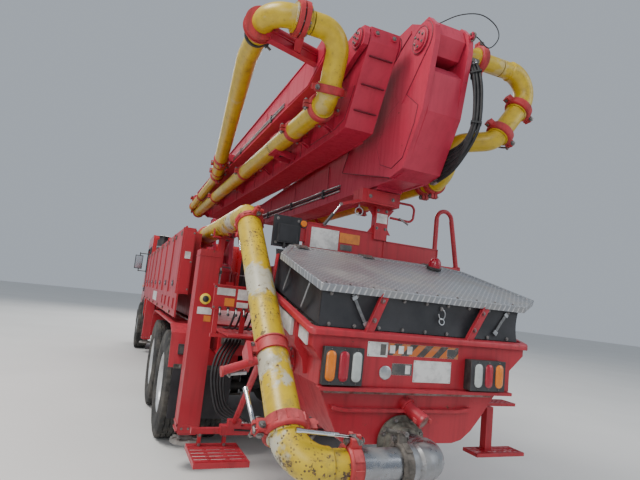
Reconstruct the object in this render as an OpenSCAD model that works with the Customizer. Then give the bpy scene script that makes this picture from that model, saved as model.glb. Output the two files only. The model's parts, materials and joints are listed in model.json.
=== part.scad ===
// Concrete pump truck with a four-section folding boom laid rearward over its hopper.
// Millimetres. +X is the truck's left side, +Y is its rear, +Z is up, the ground is Z = 0.
// Inside the modules Y = 0 is the plane of the tail lamps; place() moves that to the row frame.

/* [Overall] */
// Distance from the tail-lamp plane to the middle of the whole length
mid_y = 5307.5; // [5200:0.5:5400]
// Half of the truck's width over the tyres
half_w = 1250; // [1200:5:1275]

/* [Wheels] */
// Tyre radius
tyre_r = 525; // [480:5:560]
// Tyre width
tyre_w = 280; // [240:5:300]
// Front axle position along the truck
front_axle_y = -9700; // [-9900:10:-9600]
// Front tandem axle position
axle1_y = -4100; // [-4150:10:-4050]
// Rear tandem axle position
axle2_y = -2730; // [-2800:10:-2700]

/* [Cab] */
// Half width of the cab
cab_hw = 1150; // [1100:5:1180]
// Cab roof height
cab_top = 2610; // [2500:5:2620]

/* [Boom] */
// Height of the first section's pivot
piv_a_z = 2900; // [2880:5:2920]
// Outer diameter of the delivery pipe on the boom
boom_pipe_d = 133; // [125:1:140]
// Outer diameter of the delivery pipe on the deck
deck_pipe_d = 165; // [150:1:175]

/* [Hopper] */
// Height of the hopper's rim
rim_z = 1360; // [1300:5:1400]
// Height of the lid's rear edge
lid_rear_z = 1600; // [1560:5:1640]

/* [Hidden] */

red = "#c4202b"; yellow = "#e3c52f"; black = "#1c1c1e"; grey = "#8b8f93"; alu = "#c9cbcd";

// Pivots of the boom: [y, z]
turret_y = -8000;
piv_a = [-8300, piv_a_z];
piv_b = [-320, 3450];
piv_c = [-7400, 3350];
piv_d = [-520, 3430];
// Lateral places of the sections: [low x, high x]
sec_ab = [-300, -50];
sec_c = [110, 350];
sec_d = [420, 590];

// Hopper outline seen from above, half of it: [x, y] from the front edge round to the rear
hop_out = [[950, -960], [950, -420], [760, 0]];

module place() { translate([0, mid_y, 0]) children(); }
// Box from its low corner a to its high corner b
module bx(a, b) { translate(a) cube(b - a); }
// Cylinder along X
module cx(x0, x1, y, z, r, fn = 48) { translate([x0, y, z]) rotate([0, 90, 0]) cylinder(r = r, h = x1 - x0, $fn = fn); }
// Cylinder along Y
module cy(y0, y1, x, z, r, fn = 48) { translate([x, y0, z]) rotate([-90, 0, 0]) cylinder(r = r, h = y1 - y0, $fn = fn); }
// Cylinder along Z
module cz(z0, z1, x, y, r, fn = 48) { translate([x, y, z0]) cylinder(r = r, h = z1 - z0, $fn = fn); }
// Side profile [y, z] drawn out along X from x0 to x1
module prof(x0, x1, pts) { translate([x0, 0, 0]) rotate([90, 0, 90]) linear_extrude(height = x1 - x0) polygon(pts); }
module both() { children(); mirror([1, 0, 0]) children(); }

function vlen(v) = norm(v);
function vu(v) = v / norm(v);
// Turn of the pipe at corner i, in degrees
function ta(p, i) = let (u = vu(p[i] - p[i-1]), v = vu(p[i+1] - p[i])) acos(max(-1, min(1, u * v)));
// Elbow radius at corner i: R, or more where the turn is slight
function er(p, i, R) = max(is_list(R) ? R[i] : R, 50 / tan(ta(p, i) / 2));
// Tangent length of the elbow at corner i
function tl(p, i, R) = (i <= 0 || i >= len(p) - 1) ? 0 : er(p, i, R) * tan(ta(p, i) / 2);
// Bar from point a to point b
module bar(a, b, r, fn = 32) {
  d = b - a; L = norm(d); u = d / L;
  h = abs(u[2]) < 0.9 ? [0, 0, 1] : [0, 1, 0];
  x = vu(cross(h, u)); y = cross(u, x);
  multmatrix([[x[0], y[0], u[0], a[0]], [x[1], y[1], u[1], a[1]], [x[2], y[2], u[2], a[2]], [0, 0, 0, 1]])
    cylinder(r = r, h = L, $fn = fn);
}
// Round pipe along the corner points p, outer radius r, elbow radius R, the elbows' own outer radius e
module pipe(p, r, R, e = 0) {
  k = e > 0 ? e : r;
  for (i = [0 : len(p) - 2]) {
    u = vu(p[i+1] - p[i]);
    t0 = tl(p, i, R); t1 = tl(p, i + 1, R);
    bar(p[i] + u * (t0 > 0 ? t0 + 1 : 0), p[i+1] - u * (t1 > 0 ? t1 + 1 : 0), r);
    // weld collars over the elbows' ends
    if (t0 > 0) bar(p[i] + u * (t0 - 14), p[i] + u * (t0 + 14), k + 8);
    if (t1 > 0) bar(p[i+1] - u * (t1 + 14), p[i+1] - u * (t1 - 14), k + 8);
  }
  for (i = [1 : len(p) - 2]) {
    u = vu(p[i] - p[i-1]); v = vu(p[i+1] - p[i]);
    a = ta(p, i);
    Q = er(p, i, R);
    c = p[i] + vu(v - u) * Q / cos(a / 2);
    s = vu(p[i] - u * Q * tan(a / 2) - c);
    n = cross(s, u);
    multmatrix([[s[0], u[0], n[0], c[0]], [s[1], u[1], n[1], c[1]], [s[2], u[2], n[2], c[2]], [0, 0, 0, 1]])
      rotate_extrude(angle = a, $fn = 64) translate([Q, 0]) circle(r = k, $fn = 32);
  }
}
// Coupling clamp: a short wider ring round point c along direction d
module clamp(c, d, r, w = 70) { u = vu(d); bar(c - u * w / 2, c + u * w / 2, r); }

// ---------------------------------------------------------------- chassis
module frame_rails() color(black) {
  both() difference() {
    bx([350, -10750, 700], [430, -926, 965]);
    bx([340, -10760, 712], [418, -900, 953]);
  }
  // cross members: [y]
  for (y = [-10600, -8900, -7200, -5400, -4780, -2100, -1000]) bx([-418.5, y - 45, 740], [418.5, y + 45, 925]);
}

module deck_structure() color(red) {
  // sub-frame box on the rails
  both() bx([330, -8550, 965], [450, -2050, 1180]);
  both() bx([330, -1550, 965], [450, -990, 1180]);
  // deck plates between the side bodies
  bx([-985, -8450, 1180], [985, -2050, 1192]);
  bx([-985, -1560, 1180], [985, -990, 1192]);
  for (y = [-6900, -5100]) bx([-985, y - 50, 1100], [985, y + 50, 1181]);
  bx([-615, -3450, 1100], [615, -3350, 1181]);
  // pedestal that carries the slewing ring
  difference() {
    union() {
      bx([-480, -8480, 1100], [480, -7520, 1500]);
      cz(1499, 1960, 0, turret_y, 470);
    }
    cz(1090, 1970, 0, turret_y, 200);
  }
  // stiffeners round the pedestal
  for (a = [45 : 90 : 315]) translate([0, turret_y, 0]) rotate([0, 0, a]) bx([440, -12, 1190], [660, 12, 1700]);
}

module rear_axles() color(black) {
  for (y = [axle1_y, axle2_y]) {
    cx(-560, 560, y, tyre_r, 75);
    translate([60, y, tyre_r]) sphere(r = 190, $fn = 48);
    cy(y - 10, y + 260, 60, tyre_r, 90);
  }
  // walking-beam springs: [y of the front end, y of the rear end]
  both() {
    prof(432, 512, [[axle1_y - 90, 590], [axle1_y + 90, 590], [-3415 - 60, 560], [-3415 + 60, 560], [axle2_y - 90, 590], [axle2_y + 90, 590],
      [axle2_y + 90, 690], [-3415 + 150, 760], [-3415 - 150, 760], [axle1_y - 90, 690]]);
    bx([431, -3565, 755], [500, -3265, 960]);
  }
  // driveline forward to the gearbox
  bar([60, axle1_y, tyre_r + 10], [0, -8400, 640], 55);
  bar([60, axle1_y + 250, tyre_r], [60, axle2_y - 120, tyre_r], 45);
}

module front_axle() color(black) {
  bx([-815, front_axle_y - 45, 400], [815, front_axle_y + 45, 500]);
  both() cz(400, 560, 828, front_axle_y, 48);
  both() {
    // leaf springs
    for (i = [0 : 3]) bx([350, front_axle_y - 700 + 110 * i, 560 + 18 * i - 60], [430, front_axle_y + 700 - 110 * i, 577 + 18 * i - 60]);
    bx([350, front_axle_y - 720, 500], [430, front_axle_y - 660, 699]);
    bx([350, front_axle_y + 660, 500], [430, front_axle_y + 720, 699]);
  }
}
// Knuckle with its spindle; s is 1 on the left, -1 on the right
module knuckle(s) color(black) scale([1, 1, 1]) mirror([s < 0 ? 1 : 0, 0, 0]) {
  bx([885, front_axle_y - 55, 350], [922, front_axle_y + 55, 640]);
  bx([783, front_axle_y - 40, 566], [886, front_axle_y + 40, 610]);
  bx([783, front_axle_y - 40, 350], [886, front_axle_y + 40, 394]);
  cx(921, 1090, front_axle_y, tyre_r, 40);
  bx([890, front_axle_y + 54, 480], [915, front_axle_y + 190, 505]);
}
// Tyre section turned about the axle: half width w, bead radius 286
module tyre_solid(w) rotate_extrude($fn = 96) polygon([[300, -w + 20], [360, -w], [tyre_r - 60, -w], [tyre_r - 8, -w + 28], [tyre_r, -w + 60],
  [tyre_r, w - 60], [tyre_r - 8, w - 28], [tyre_r - 60, w], [360, w], [300, w - 20], [286, w - 20], [286, -w + 20]]);
module front_wheel(s) mirror([s < 0 ? 1 : 0, 0, 0]) translate([1090, front_axle_y, tyre_r]) rotate([0, 90, 0]) {
  color(black) tyre_solid(tyre_w / 2);
  color(alu) rotate_extrude($fn = 96) polygon([[45, -20], [45, 100], [85, 100], [85, 30], [170, 30], [230, 90], [270, 110], [286.5, 110], [286.5, -110], [262, -110], [262, 40], [230, 60], [180, 4], [110, -6], [110, -60], [45, -60]]);
}
module dual_wheel(s, y) mirror([s < 0 ? 1 : 0, 0, 0]) translate([0, y, tyre_r]) rotate([0, 90, 0]) {
  color(black) for (x = [half_w - tyre_w / 2, half_w - tyre_w / 2 - 330]) translate([0, 0, x]) tyre_solid(tyre_w / 2);
  color(alu) rotate_extrude($fn = 96) polygon([[82, 565], [190, 565], [190, 900], [262, 900], [262, 680], [286.5, 660], [286.5, 1218], [268, 1218], [262, 990], [190, 930], [130, 935], [125, 1120], [82, 1120]]);
}

// ---------------------------------------------------------------- cab
cab_side = [[-10990, 1000], [-10990, 1500], [-10880, cab_top - 180], [-10760, cab_top], [-9200, cab_top], [-9150, cab_top - 60], [-9150, 1000]];
cab_in = [[-10950, 1040], [-10950, 1500], [-10845, cab_top - 190], [-10740, cab_top - 40], [-9215, cab_top - 40], [-9190, cab_top - 70], [-9190, 1040]];
door_prof = [[-10800, 1080], [-10800, 1700], [-10745, 2420], [-9720, 2420], [-9720, 1250], [-9850, 1080]];
door_hole = [[-10812, 1068], [-10812, 1702], [-10756, 2432], [-9708, 2432], [-9708, 1246], [-9846, 1068]];
door_win = [[-10720, 1760], [-10680, 2350], [-9790, 2350], [-9790, 1760]];
module cab_shell() color(red) difference() {
  union() {
    prof(-cab_hw, cab_hw, cab_side);
    // skirts ahead of and behind the front wheels
    both() bx([700, -10990, 640], [cab_hw, -10330, 1001]);
    both() bx([1000, -9170, 640], [cab_hw, -9150 + 40, 1001]);
  }
  prof(-cab_hw + 40, cab_hw - 40, cab_in);
  both() prof(cab_hw - 41, cab_hw + 1, door_hole);
  // wheel arches
  both() cx(690, cab_hw + 1, front_axle_y, tyre_r, 640, 64);
  // hollow of the front skirts
  both() bx([699, -10950, 600], [cab_hw - 40, -10300, 960]);
  // windscreen, rear window, quarter windows behind the doors
  rotate([0, 0, 0]) bx([-1000, -11100, 1620], [1000, -10800, 2380]);
  bx([-600, -9200, 1750], [600, -9140, 2350]);
  both() bx([cab_hw - 41, -9640, 1760], [cab_hw + 1, -9260, 2350]);
  // grille opening
  bx([-700, -11000, 1060], [700, -10940, 1440]);
}
module cab_door(s) color(red) mirror([s < 0 ? 1 : 0, 0, 0]) difference() {
  prof(cab_hw - 40, cab_hw, door_prof);
  prof(cab_hw - 41, cab_hw + 1, door_win);
}
module cab_windows() color([0.3, 0.35, 0.38, 0.5]) {
  prof(-1000, 1000, [[-10967, 1620], [-10959, 1618], [-10873, 2380], [-10881, 2382]]);
  bx([-600, -9175, 1750], [600, -9169, 2350]);
  both() bx([cab_hw - 26, -9640, 1760], [cab_hw - 20, -9260, 2350]);
}
module cab_interior() color(black) {
  both() {
    // seats: cushion, back, head part
    bx([330, -10100, 1300], [830, -9620, 1440]);
    bx([330, -9640, 1441], [830, -9500, 2020]);
    bx([420, -10050, 1050], [740, -9650, 1301]);
  }
  // dash
  prof(-1080, 1080, [[-10940, 1300], [-10940, 1590], [-10640, 1570], [-10560, 1450], [-10640, 1300]]);
  // engine cover
  bx([-300, -10520, 1041], [300, -9300, 1420]);
  // steering wheel and column
  translate([560, -10420, 1640]) rotate([-25, 0, 0]) {
    rotate_extrude($fn = 48) translate([210, 0]) circle(r = 16, $fn = 16);
    bx([-208, -12, -8], [208, 12, 8]);
    translate([0, 0, -120]) cylinder(r = 24, h = 130, $fn = 24);
  }
}
module engine_block() color(grey) bx([-280, -10450, 720], [280, -9250, 980]);
module front_grille() color(black) {
  difference() { bx([-695, -10985, 1065], [695, -10955, 1435]); bx([-650, -10990, 1100], [650, -10950, 1400]); }
  for (i = [0 : 4]) bx([-655, -10980, 1135 + 57 * i], [655, -10962, 1155 + 57 * i]);
}
module front_bumper() color(grey) {
  difference() { bx([-1200, -11050, 480], [1200, -10995, 800]); both() bx([750, -11060, 600], [1000, -11012, 720]); }
  both() bx([355, -10996, 650], [425, -10751, 790]);
}
module mirrors() color(black) both() {
  // arms: [z of the arm]
  for (z = [1800, 2250]) bar([cab_hw - 2, -10830, z], [1330, -10900, z], 12);
  bar([1330, -10900, 1780], [1330, -10900, 2280], 12);
  bx([1250, -10960, 1850], [1440, -10880, 2200]);
}

// ---------------------------------------------------------------- body
module fender_profile(y) {
  translate([0, y, tyre_r]) rotate([0, 90, 0]) rotate_extrude(angle = 1) square(1);
}
module rear_fenders() color(red) both() difference() {
  prof(620, half_w, [[-4790, 780], [-4700, 1080], [-4500, 1150], [-2330, 1150], [-2130, 1080], [-2060, 780], [-2072, 778], [-2142, 1072], [-2336, 1140], [-4494, 1140], [-4692, 1072], [-4778, 778]]);
}
module fuel_tank() color(alu) {
  both() { cy(-6900, -5500, 800, 700, 290, 64); for (y = [-6700, -5700]) bx([431, y - 30, 740], [560, y + 30, 900]); }
}
module air_cleaner() color("#3a3d42") {
  cz(1700, 2480, 960, -8760, 130);
  cz(2479, 2560, 960, -8760, 90);
  bar([960, -8760, 1720], [700, -8800, 1330], 60);
  bx([600, -8840, 1260], [760, -8720, 1360]);
  // exhaust stack on the other side
  cz(1420, 2500, -960, -8760, 110);
  bar([-960, -8760, 1700], [-1080, -8415, 1700], 30);
  cz(2499, 2600, -960, -8760, 60);
}
module side_body(s) color(red) mirror([s < 0 ? 1 : 0, 0, 0]) {
  bx([1000, -8400, 1430], [1225, -2800, 2090]);
  bx([1120, -2801, 1430], [1225, -2400, 2090]);
  bx([1000, -8400, 1192.5], [1012, -2400, 1431]);
  // ribs: step 790 mm
  for (i = [0 : 7]) bx([1224, -8380 + 845 * i, 1430], [1240, -8340 + 845 * i, 2090]);
  // skirt with square holes below
  difference() {
    bx([1209, -8400, 1200], [1225, -2400, 1431]);
    for (i = [0 : 3]) bx([1200, -4000 + 440 * i, 1275], [1230, -3890 + 440 * i, 1375]);
  }
}
module outrigger_housings() color(red) {
  // housings across the truck: [middle y]
  for (y = [-8800, -1800]) difference() {
    bx([-920, y - 195, 970], [920, y + 195, 1175]);
    for (d = [-75, 75]) bx([-930, y + d - 65, 990], [930, y + d + 65, 1155]);
  }
  // rear frame bar with the legs' guards
  both() bx([560, -1420, 430], [600, -1120, 495]);
  both() bx([452, -1300, 494], [492, -1200, 969.5]);
  bx([-900, -1290, 430], [900, -1210, 495]);
}
// Beam and its jack tube; s is the side, y the housing's middle, d the beam's offset, zt the tube's top
module o_beam(s, y, d, zt, xl) color(red) mirror([s < 0 ? 1 : 0, 0, 0]) {
  bx([-830, y + d - 60, 995], [xl - 89, y + d + 60, 1150]);
  difference() {
    bx([xl - 90, y - 105, 310], [xl + 90, y + 105, zt]);
    bx([xl - 78, y - 93, 300], [xl + 78, y + 93, zt - 12]);
  }
}
module j_leg(s, y, zt, xl) mirror([s < 0 ? 1 : 0, 0, 0]) {
  color(red) bx([xl - 72, y - 87, 290], [xl + 72, y + 87, zt - 200]);
  color(grey) { cz(238, 291, xl, y, 45); cz(215, 240, xl, y, 120); }
}

// ---------------------------------------------------------------- turret and boom
module turret() color(red) {
  cz(1965, 2060, 0, turret_y, 440);
  // side plates of the pivot fork: [low x, high x]
  for (x = [[-365, -312], [-38, 15]]) difference() {
    prof(x[0], x[1], [[-8420, 2059], [-7640, 2059], [-7640, 2200], [-8060, 2900], [-8160, 3060], [-8440, 3060], [-8520, 2900], [-8480, 2300]]);
    cx(x[0] - 1, x[1] + 1, piv_a[0], piv_a[1], 75.5);
  }
  bx([-313, -8480, 2059], [-37, -8400, 2250]);
  // base lugs of the lift cylinder
  for (x = [[-312.5, -245], [-105, -37.5]]) prof(x[0], x[1], [[-8300, 2059], [-8000, 2059], [-8080, 2270], [-8220, 2270]]);
  cx(-255, -95, -8150, 2200, 40);
  // pivot pin of the boom
  cx(-370, 20, piv_a[0], piv_a[1], 75);
  // delivery pipe up the side of the turret
  color(yellow) pipe([[-300, -8190, 2125], [-450, -8190, 2125], [-450, -8300, 2500], [-450, -8300, 2900], [-640, -8300, 2900]], boom_pipe_d / 2, 90);
}
// Outline of section 1, [y, z]
a_out = [[-8480, 2798], [-8490, 3000], [-8300, 3080], [-7000, 3020], [-4400, 2830], [-1700, 2950], [-1150, 2960], [-900, 3060], [-640, 3180],
  [-480, 3270], [-300, 3275], [-205, 3180], [-235, 2900], [-440, 2520], [-600, 2475], [-2600, 2475], [-4300, 2530], [-4850, 2740], [-7680, 2740], [-7800, 2798]];
module boom_section_1() color(red) {
  difference() {
    prof(sec_ab[0], sec_ab[1], a_out);
    cx(-310, -40, piv_a[0], piv_a[1], 75.5);
  }
  // knuckle ears: [low x, high x]
  for (x = [[-340, -299], [-51, -10]]) difference() {
    prof(x[0], x[1], [[-1500, 2700], [-1350, 2960], [-620, 3500], [-470, 3580], [-250, 3600], [-160, 3500], [-150, 3380], [-240, 2900], [-440, 2520], [-620, 2480]]);
    cx(x[0] - 1, x[1] + 1, piv_b[0], piv_b[1], 55.5);
  }
  cx(-350, 0, piv_b[0], piv_b[1], 55);
  // eye lugs of the lift cylinder
  for (x = [[-290, -245], [-105, -60]]) prof(x[0], x[1], [[-7260, 2745], [-7230, 2590], [-7070, 2590], [-7000, 2745]]);
  // base lugs of the second cylinder
  for (x = [[-290, -250], [-100, -60]]) prof(x[0], x[1], [[-3500, 2850], [-3430, 3140], [-3370, 3140], [-3300, 2870]]);
  cx(-255, -95, -3400, 3080, 30);
  // rest shoe
  bx([-290, -1080, 2448], [-60, -880, 2476]);
}
b_out = [[-340, 3600], [-560, 3720], [-900, 3700], [-1500, 3610], [-7300, 3500], [-7520, 3440], [-7560, 3350], [-7520, 3260], [-7300, 3200],
  [-1500, 3190], [-760, 3240], [-480, 3360], [-400, 3330], [-250, 3330], [-180, 3450], [-220, 3560]];
module boom_section_2() color(red) {
  difference() {
    prof(-290, -60, b_out);
    cx(-300, -50, piv_b[0], piv_b[1], 55.5);
  }
  // cross tube that carries section 3
  cx(-295, 360, piv_c[0], piv_c[1], 70);
  for (x = [[-275, -229], [-121, -75]]) prof(x[0], x[1], [[-3900, 3540], [-3830, 3760], [-3770, 3760], [-3700, 3550]]);
  cx(-235, -115, -3800, 3710, 28);
}
c_out = [[-7560, 3350], [-7500, 3480], [-7380, 3520], [-7200, 3420], [-1700, 3230], [-1200, 3260], [-900, 3420], [-760, 3530], [-540, 3540], [-430, 3500],
  [-440, 3400], [-730, 2830], [-900, 2810], [-3000, 2800], [-6900, 2880], [-7400, 3180]];
module boom_section_3() color(red) {
  difference() {
    prof(sec_c[0], sec_c[1], c_out);
    cx(100, 370, piv_c[0], piv_c[1], 70.5);
  }
  cx(349, 410, piv_d[0], piv_d[1], 55);
  for (x = [[135, 181], [279, 325]]) prof(x[0], x[1], [[-3600, 3250], [-3530, 3420], [-3470, 3420], [-3400, 3250]]);
  cx(175, 285, -3500, 3385, 25);
  // brackets that hold the pipe: [y]
  for (y = [-6800, -5400, -4000, -2700, -1500, -980]) bx([349, y - 20, 2900], [450, y + 20, 3000]);
}
d_out = [[-705, 3300], [-690, 3420], [-730, 3500], [-1000, 3450], [-7000, 3330], [-7060, 3260], [-7000, 3190], [-1000, 3190]];
module boom_section_4() color(red) {
  prof(sec_d[0], sec_d[1], d_out);
  // hinge ear between section 3 and its pipe
  difference() {
    prof(362, 402, [[-1100, 3220], [-1100, 3430], [-700, 3510], [-560, 3525], [-440, 3500], [-415, 3430], [-440, 3360], [-560, 3335], [-800, 3250]]);
    cx(361, 403, piv_d[0], piv_d[1], 55.5);
  }
  bx([401, -1050, 3250], [421, -770, 3400]);
  // bar to the outer elbow
  bar([560, -870, 3420], [1010, -720, 3415], 26);
  // arms that hold the pipe outside: [y, x of the pipe there, z of the pipe there]
  for (a = [[-3750, 751, 3218], [-4450, 666, 3155]]) bar([580, a[0], 3230], [a[1], a[0], a[2] + 60], 28);
  for (a = [[-5900, 3135], [-6800, 3092]]) bx([575, a[0] - 20, a[1]], [660, a[0] + 20, 3250]);
}
// Centre lines of the boom's pipes
p1 = [[-650, -8300, 2900], [-860, -8300, 2900], [-860, -7700, 2900], [-500, -7000, 2880], [-500, -4900, 2860], [-500, -4200, 2565], [-500, -620, 2565], [-520, -560, 2850], [-760, -360, 2870], [-1150, -320, 3450], [-739, -320, 3450]];
p2 = [[-731, -320, 3450], [-440, -320, 3450], [-440, -7400, 3350], [-305, -7400, 3350]];
p3 = [[366, -7400, 3350], [525, -7400, 3350], [525, -7050, 2970], [525, -720, 2970], [540, -520, 3430], [771, -520, 3430]];
p4 = [[779, -520, 3430], [1085, -520, 3430], [1050, -1300, 3440], [660, -4500, 3150], [660, -6950, 3030]];
module boom_pipe_1() color(yellow) { pipe(p1, boom_pipe_d / 2, [0, 130, 130, 130, 130, 130, 130, 130, 130, 165, 0]);
  for (y = [-6600, -3800, -2400, -1200]) bx([-440, y - 20, 2560 + (y < -5000 ? 300 : 0)], [-301, y + 20, 2620 + (y < -5000 ? 300 : 0)]); }
module boom_pipe_2() color(yellow) { pipe(p2, boom_pipe_d / 2, 74);
  for (y = [-6600, -5000, -3400, -1800]) bx([-380, y - 20, 3380], [-291, y + 20, 3430]); }
module boom_pipe_3() color(yellow) pipe(p3, boom_pipe_d / 2, [0, 105, 105, 130, 165, 0], 82);
module boom_pipe_4() color(yellow) pipe(p4, 60, [0, 165, 130, 130, 0], 84);

// Cylinders of the boom: [base x, y, z], [eye y, z], barrel radius, rod radius, barrel length
cyl = [
  [[-175, -8150, 2200], [-7150, 2640], 62, 38, 900],
  [[-175, -3400, 3080], [-1950, 3084], 55, 34, 1050],
  [[-175, -3800, 3710], [-6400, 3640], 48, 28, 2100],
  [[230, -3500, 3385], [-2300, 3378], 44, 26, 800]
];
// Unit direction of cylinder i from its base to its eye
function cd(i) = vu([0, cyl[i][1][0] - cyl[i][0][1], cyl[i][1][1] - cyl[i][0][2]]);
function cl(i) = norm([0, cyl[i][1][0] - cyl[i][0][1], cyl[i][1][1] - cyl[i][0][2]]);
pin_r = [40.5, 30.5, 28.5, 25.5];
module lift_barrel(i) color(red) difference() {
  union() {
    bar(cyl[i][0] + cd(i) * (pin_r[i] + 18), cyl[i][0] + cd(i) * cyl[i][4], cyl[i][2]);
    cx(cyl[i][0][0] - 30, cyl[i][0][0] + 30, cyl[i][0][1], cyl[i][0][2], pin_r[i] + 22);
  }
  cx(cyl[i][0][0] - 40, cyl[i][0][0] + 40, cyl[i][0][1], cyl[i][0][2], pin_r[i]);
  bar(cyl[i][0] + cd(i) * (pin_r[i] + 60), cyl[i][0] + cd(i) * (cyl[i][4] + 10), cyl[i][3] + 1);
}
module lift_rod(i) color(alu) difference() {
  union() {
    bar(cyl[i][0] + cd(i) * (pin_r[i] + 80), cyl[i][0] + cd(i) * (cl(i) - pin_r[i] - 2), cyl[i][3]);
    cx(cyl[i][0][0] - 31, cyl[i][0][0] + 31, cyl[i][1][0], cyl[i][1][1], pin_r[i] + 16);
  }
  cx(cyl[i][0][0] - 40, cyl[i][0][0] + 40, cyl[i][1][0], cyl[i][1][1], pin_r[i] - 6);
}

// ---------------------------------------------------------------- deck pipe and hopper
dp = [[60, -150, 760], [60, 205, 760], [70, 205, 720], [950, 205, 720], [905, -1240, 2080], [905, -7000, 2080], [905, -7700, 1700], [440, -7900, 1600]];
module deck_pipe() {
  color(yellow) pipe([[563, 320, 720], [900, 320, 720], [890, -1240, 2120], [890, -6900, 2120], [890, -7500, 1750], [510, -7763, 1666]], deck_pipe_d / 2, 180);
  color(grey) pipe([[90, -49.5, 720], [90, 320, 720], [557, 320, 720]], deck_pipe_d / 2, 130);
  color(red) {
    for (y = [-2200, -3300, -5000, -6600]) bx([855, y - 20, 1192.5], [925, y + 20, 2060]);
    clamp([560, 320, 720], [1, 0, 0], 115);
    // stay from the rear bar to the riser's clamp
    bar([800, -1228, 520], [902, -205, 1168], 24);
  }
}
// Plan of the hopper, w in from its outer wall
function hop(w) = [[760 - w, -925 + w], [735 - w, -w], [-800 + w, -w], [-830 + w, -925 + w]];
// Section of the bin across the truck, [x, z], w in from its outer wall
function hos(w) = [[-690 + w, 1030], [672 - w, 1030], [672 - w, 1175], [790 - w, 1320], [790 - w, 1800], [-850 + w, 1800], [-850 + w, 1320], [-690 + w, 1175]];
module bin(w) intersection() {
  translate([0, 0, 1040 - w]) linear_extrude(height = 750) polygon(hop(w));
  translate([0, 50, 0]) rotate([90, 0, 0]) linear_extrude(height = 1100) polygon(hos(w));
}
rim_a = 14; // rise of the rim towards the front, degrees
// Space above a plane that passes height z at Y = 0 and rises forward by angle a
module above(z, a) translate([0, 0, z]) rotate([-a, 0, 0]) bx([-1400, -3000, 0], [1400, 900, 1500]);
module hopper() color(red) {
  // upper bin with walls 10 mm thick
  difference() {
    bin(0);
    bin(10);
    above(rim_z, rim_a);
  }
  // rim flange that follows the slope
  intersection() {
    difference() {
      translate([0, 0, 1300]) linear_extrude(height = 500) polygon(hop(-32));
      translate([0, 0, 1290]) linear_extrude(height = 600) polygon(hop(9));
      above(rim_z + 1, rim_a);
    }
    above(rim_z - 34, rim_a);
  }
  // lower trough with round bottom: section [x, z]
  difference() {
    translate([0, -50, 0]) rotate([90, 0, 0]) linear_extrude(height = 870) polygon([[-688, 1052], [-650, 1045], [-300, 705], [430, 705], [640, 1045], [670, 1052]]);
    translate([0, -62, 0]) rotate([90, 0, 0]) linear_extrude(height = 846) polygon([[-676, 1070], [-643, 1056], [-295, 717], [425, 717], [633, 1056], [658, 1070]]);
  }
  bx([-688, -924, 1030], [670, -908, 1062]);
  bx([-688, -60, 1030], [670, -2, 1050]);
  // stiffener rib across the trough and the ledge under the lamps
  bx([-500, -52, 905], [560, -14, 925]);
  bx([-680, -20, 1030], [680, 42, 1046]);
  // bearing housings of the agitator on both sides
  cx(655, 730, -480, 1110, 80);
  cx(-750, -675, -480, 1110, 80);
  // cleanout stub under the ledge
  bar([75, -75, 945], [5, 72, 862], 56);
}
module splash_guard() color(black) difference() {
  translate([0, 0, rim_z - 40]) linear_extrude(height = 800) polygon([[732, -895], [690, -16], [-752, -16], [-800, -895]]);
  translate([0, 0, rim_z - 60]) linear_extrude(height = 900) polygon([[720, -883], [678, -28], [-740, -28], [-788, -883]]);
  above(lid_rear_z - 16, 18);
  rotate([0, 0, 0]) difference() { bx([-1400, -3000, 600], [1400, 900, 2200]); above(rim_z + 3, rim_a); }
}
// Plate on the lid's slope: y is the distance from its rear edge
module lid_plane() translate([0, 22, lid_rear_z]) rotate([-18, 0, 0]) children();
module hopper_lid() {
  color(alu) lid_plane() {
    translate([0, 0, -6]) linear_extrude(height = 10) polygon([[-780, 0], [720, 0], [790, -630], [640, -940], [-740, -940], [-900, -860], [-1060, -210]]);
    bx([-780, -10, -45], [720, 0, -5]);
    // hinge barrels on the front edge
    for (x = [-600, 0, 600]) bx([x - 40, -970, -8], [x + 40, -939, 4]);
  }
  color(red) lid_plane() translate([-560, -800, 3]) { cylinder(r = 55, h = 20, $fn = 48); translate([0, 0, 19]) cylinder(r1 = 50, r2 = 30, h = 55, $fn = 48); }
}
module tail_lamp_boxes() color(black) { bx([425, 0.5, 1052], [668, 42, 1258]); bx([-588, 0.5, 1052], [-318, 70, 1236]); }
module boom_rest() color(red) {
  // beam over the hopper's front and its legs down to the deck
  bx([-780, -1070, 1905], [-239, -1010, 2055]);
  bx([-240, -1070, 1850], [470, -1010, 2110]);
  for (x = [-700, 400]) bx([x - 45, -1079, 1192.5], [x + 45, -1001, 1881]);
  // post and head
  bx([-245, -1060, 2054], [-125, -990, 2330]);
  bx([-290, -1070, 2329], [60, -900, 2442]);
  // handrail
  bar([-772, -1045, 1950], [-772, -1045, 2337], 21);
  bar([-1020, -1045, 1900], [-932, -1045, 2337], 21);
  translate([-852, -1045, 2335]) rotate([90, 0, 0]) rotate_extrude(angle = 180, $fn = 64) translate([80, 0]) circle(r = 19, $fn = 24);
  bx([-1045, -1068, 1860], [-779, -1020, 1920]);
}
module steps() color(red) {
  // left step below the rear frame bar: two straps and a tread
  for (x = [855, 1045]) bx([x - 12, -1290, 330], [x + 12, -1250, 430]);
  bx([740, -1330, 300], [1130, -900, 340]);
  bx([900.5, -1290, 429], [1112, -1250, 470]);
  // right steps on a post: [low z, tread reach]
  bx([-985, -505, 525], [-925, -445, 842]);
  bx([-1245, -540, 500], [-800, -380, 526]);
  bx([-1245, -640, 840], [-790, -490, 864]);
  bx([-830, -640, 863], [-790, -600, 1100]);
  bx([-831, -640, 1060], [-691, -600, 1100]);
}

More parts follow.
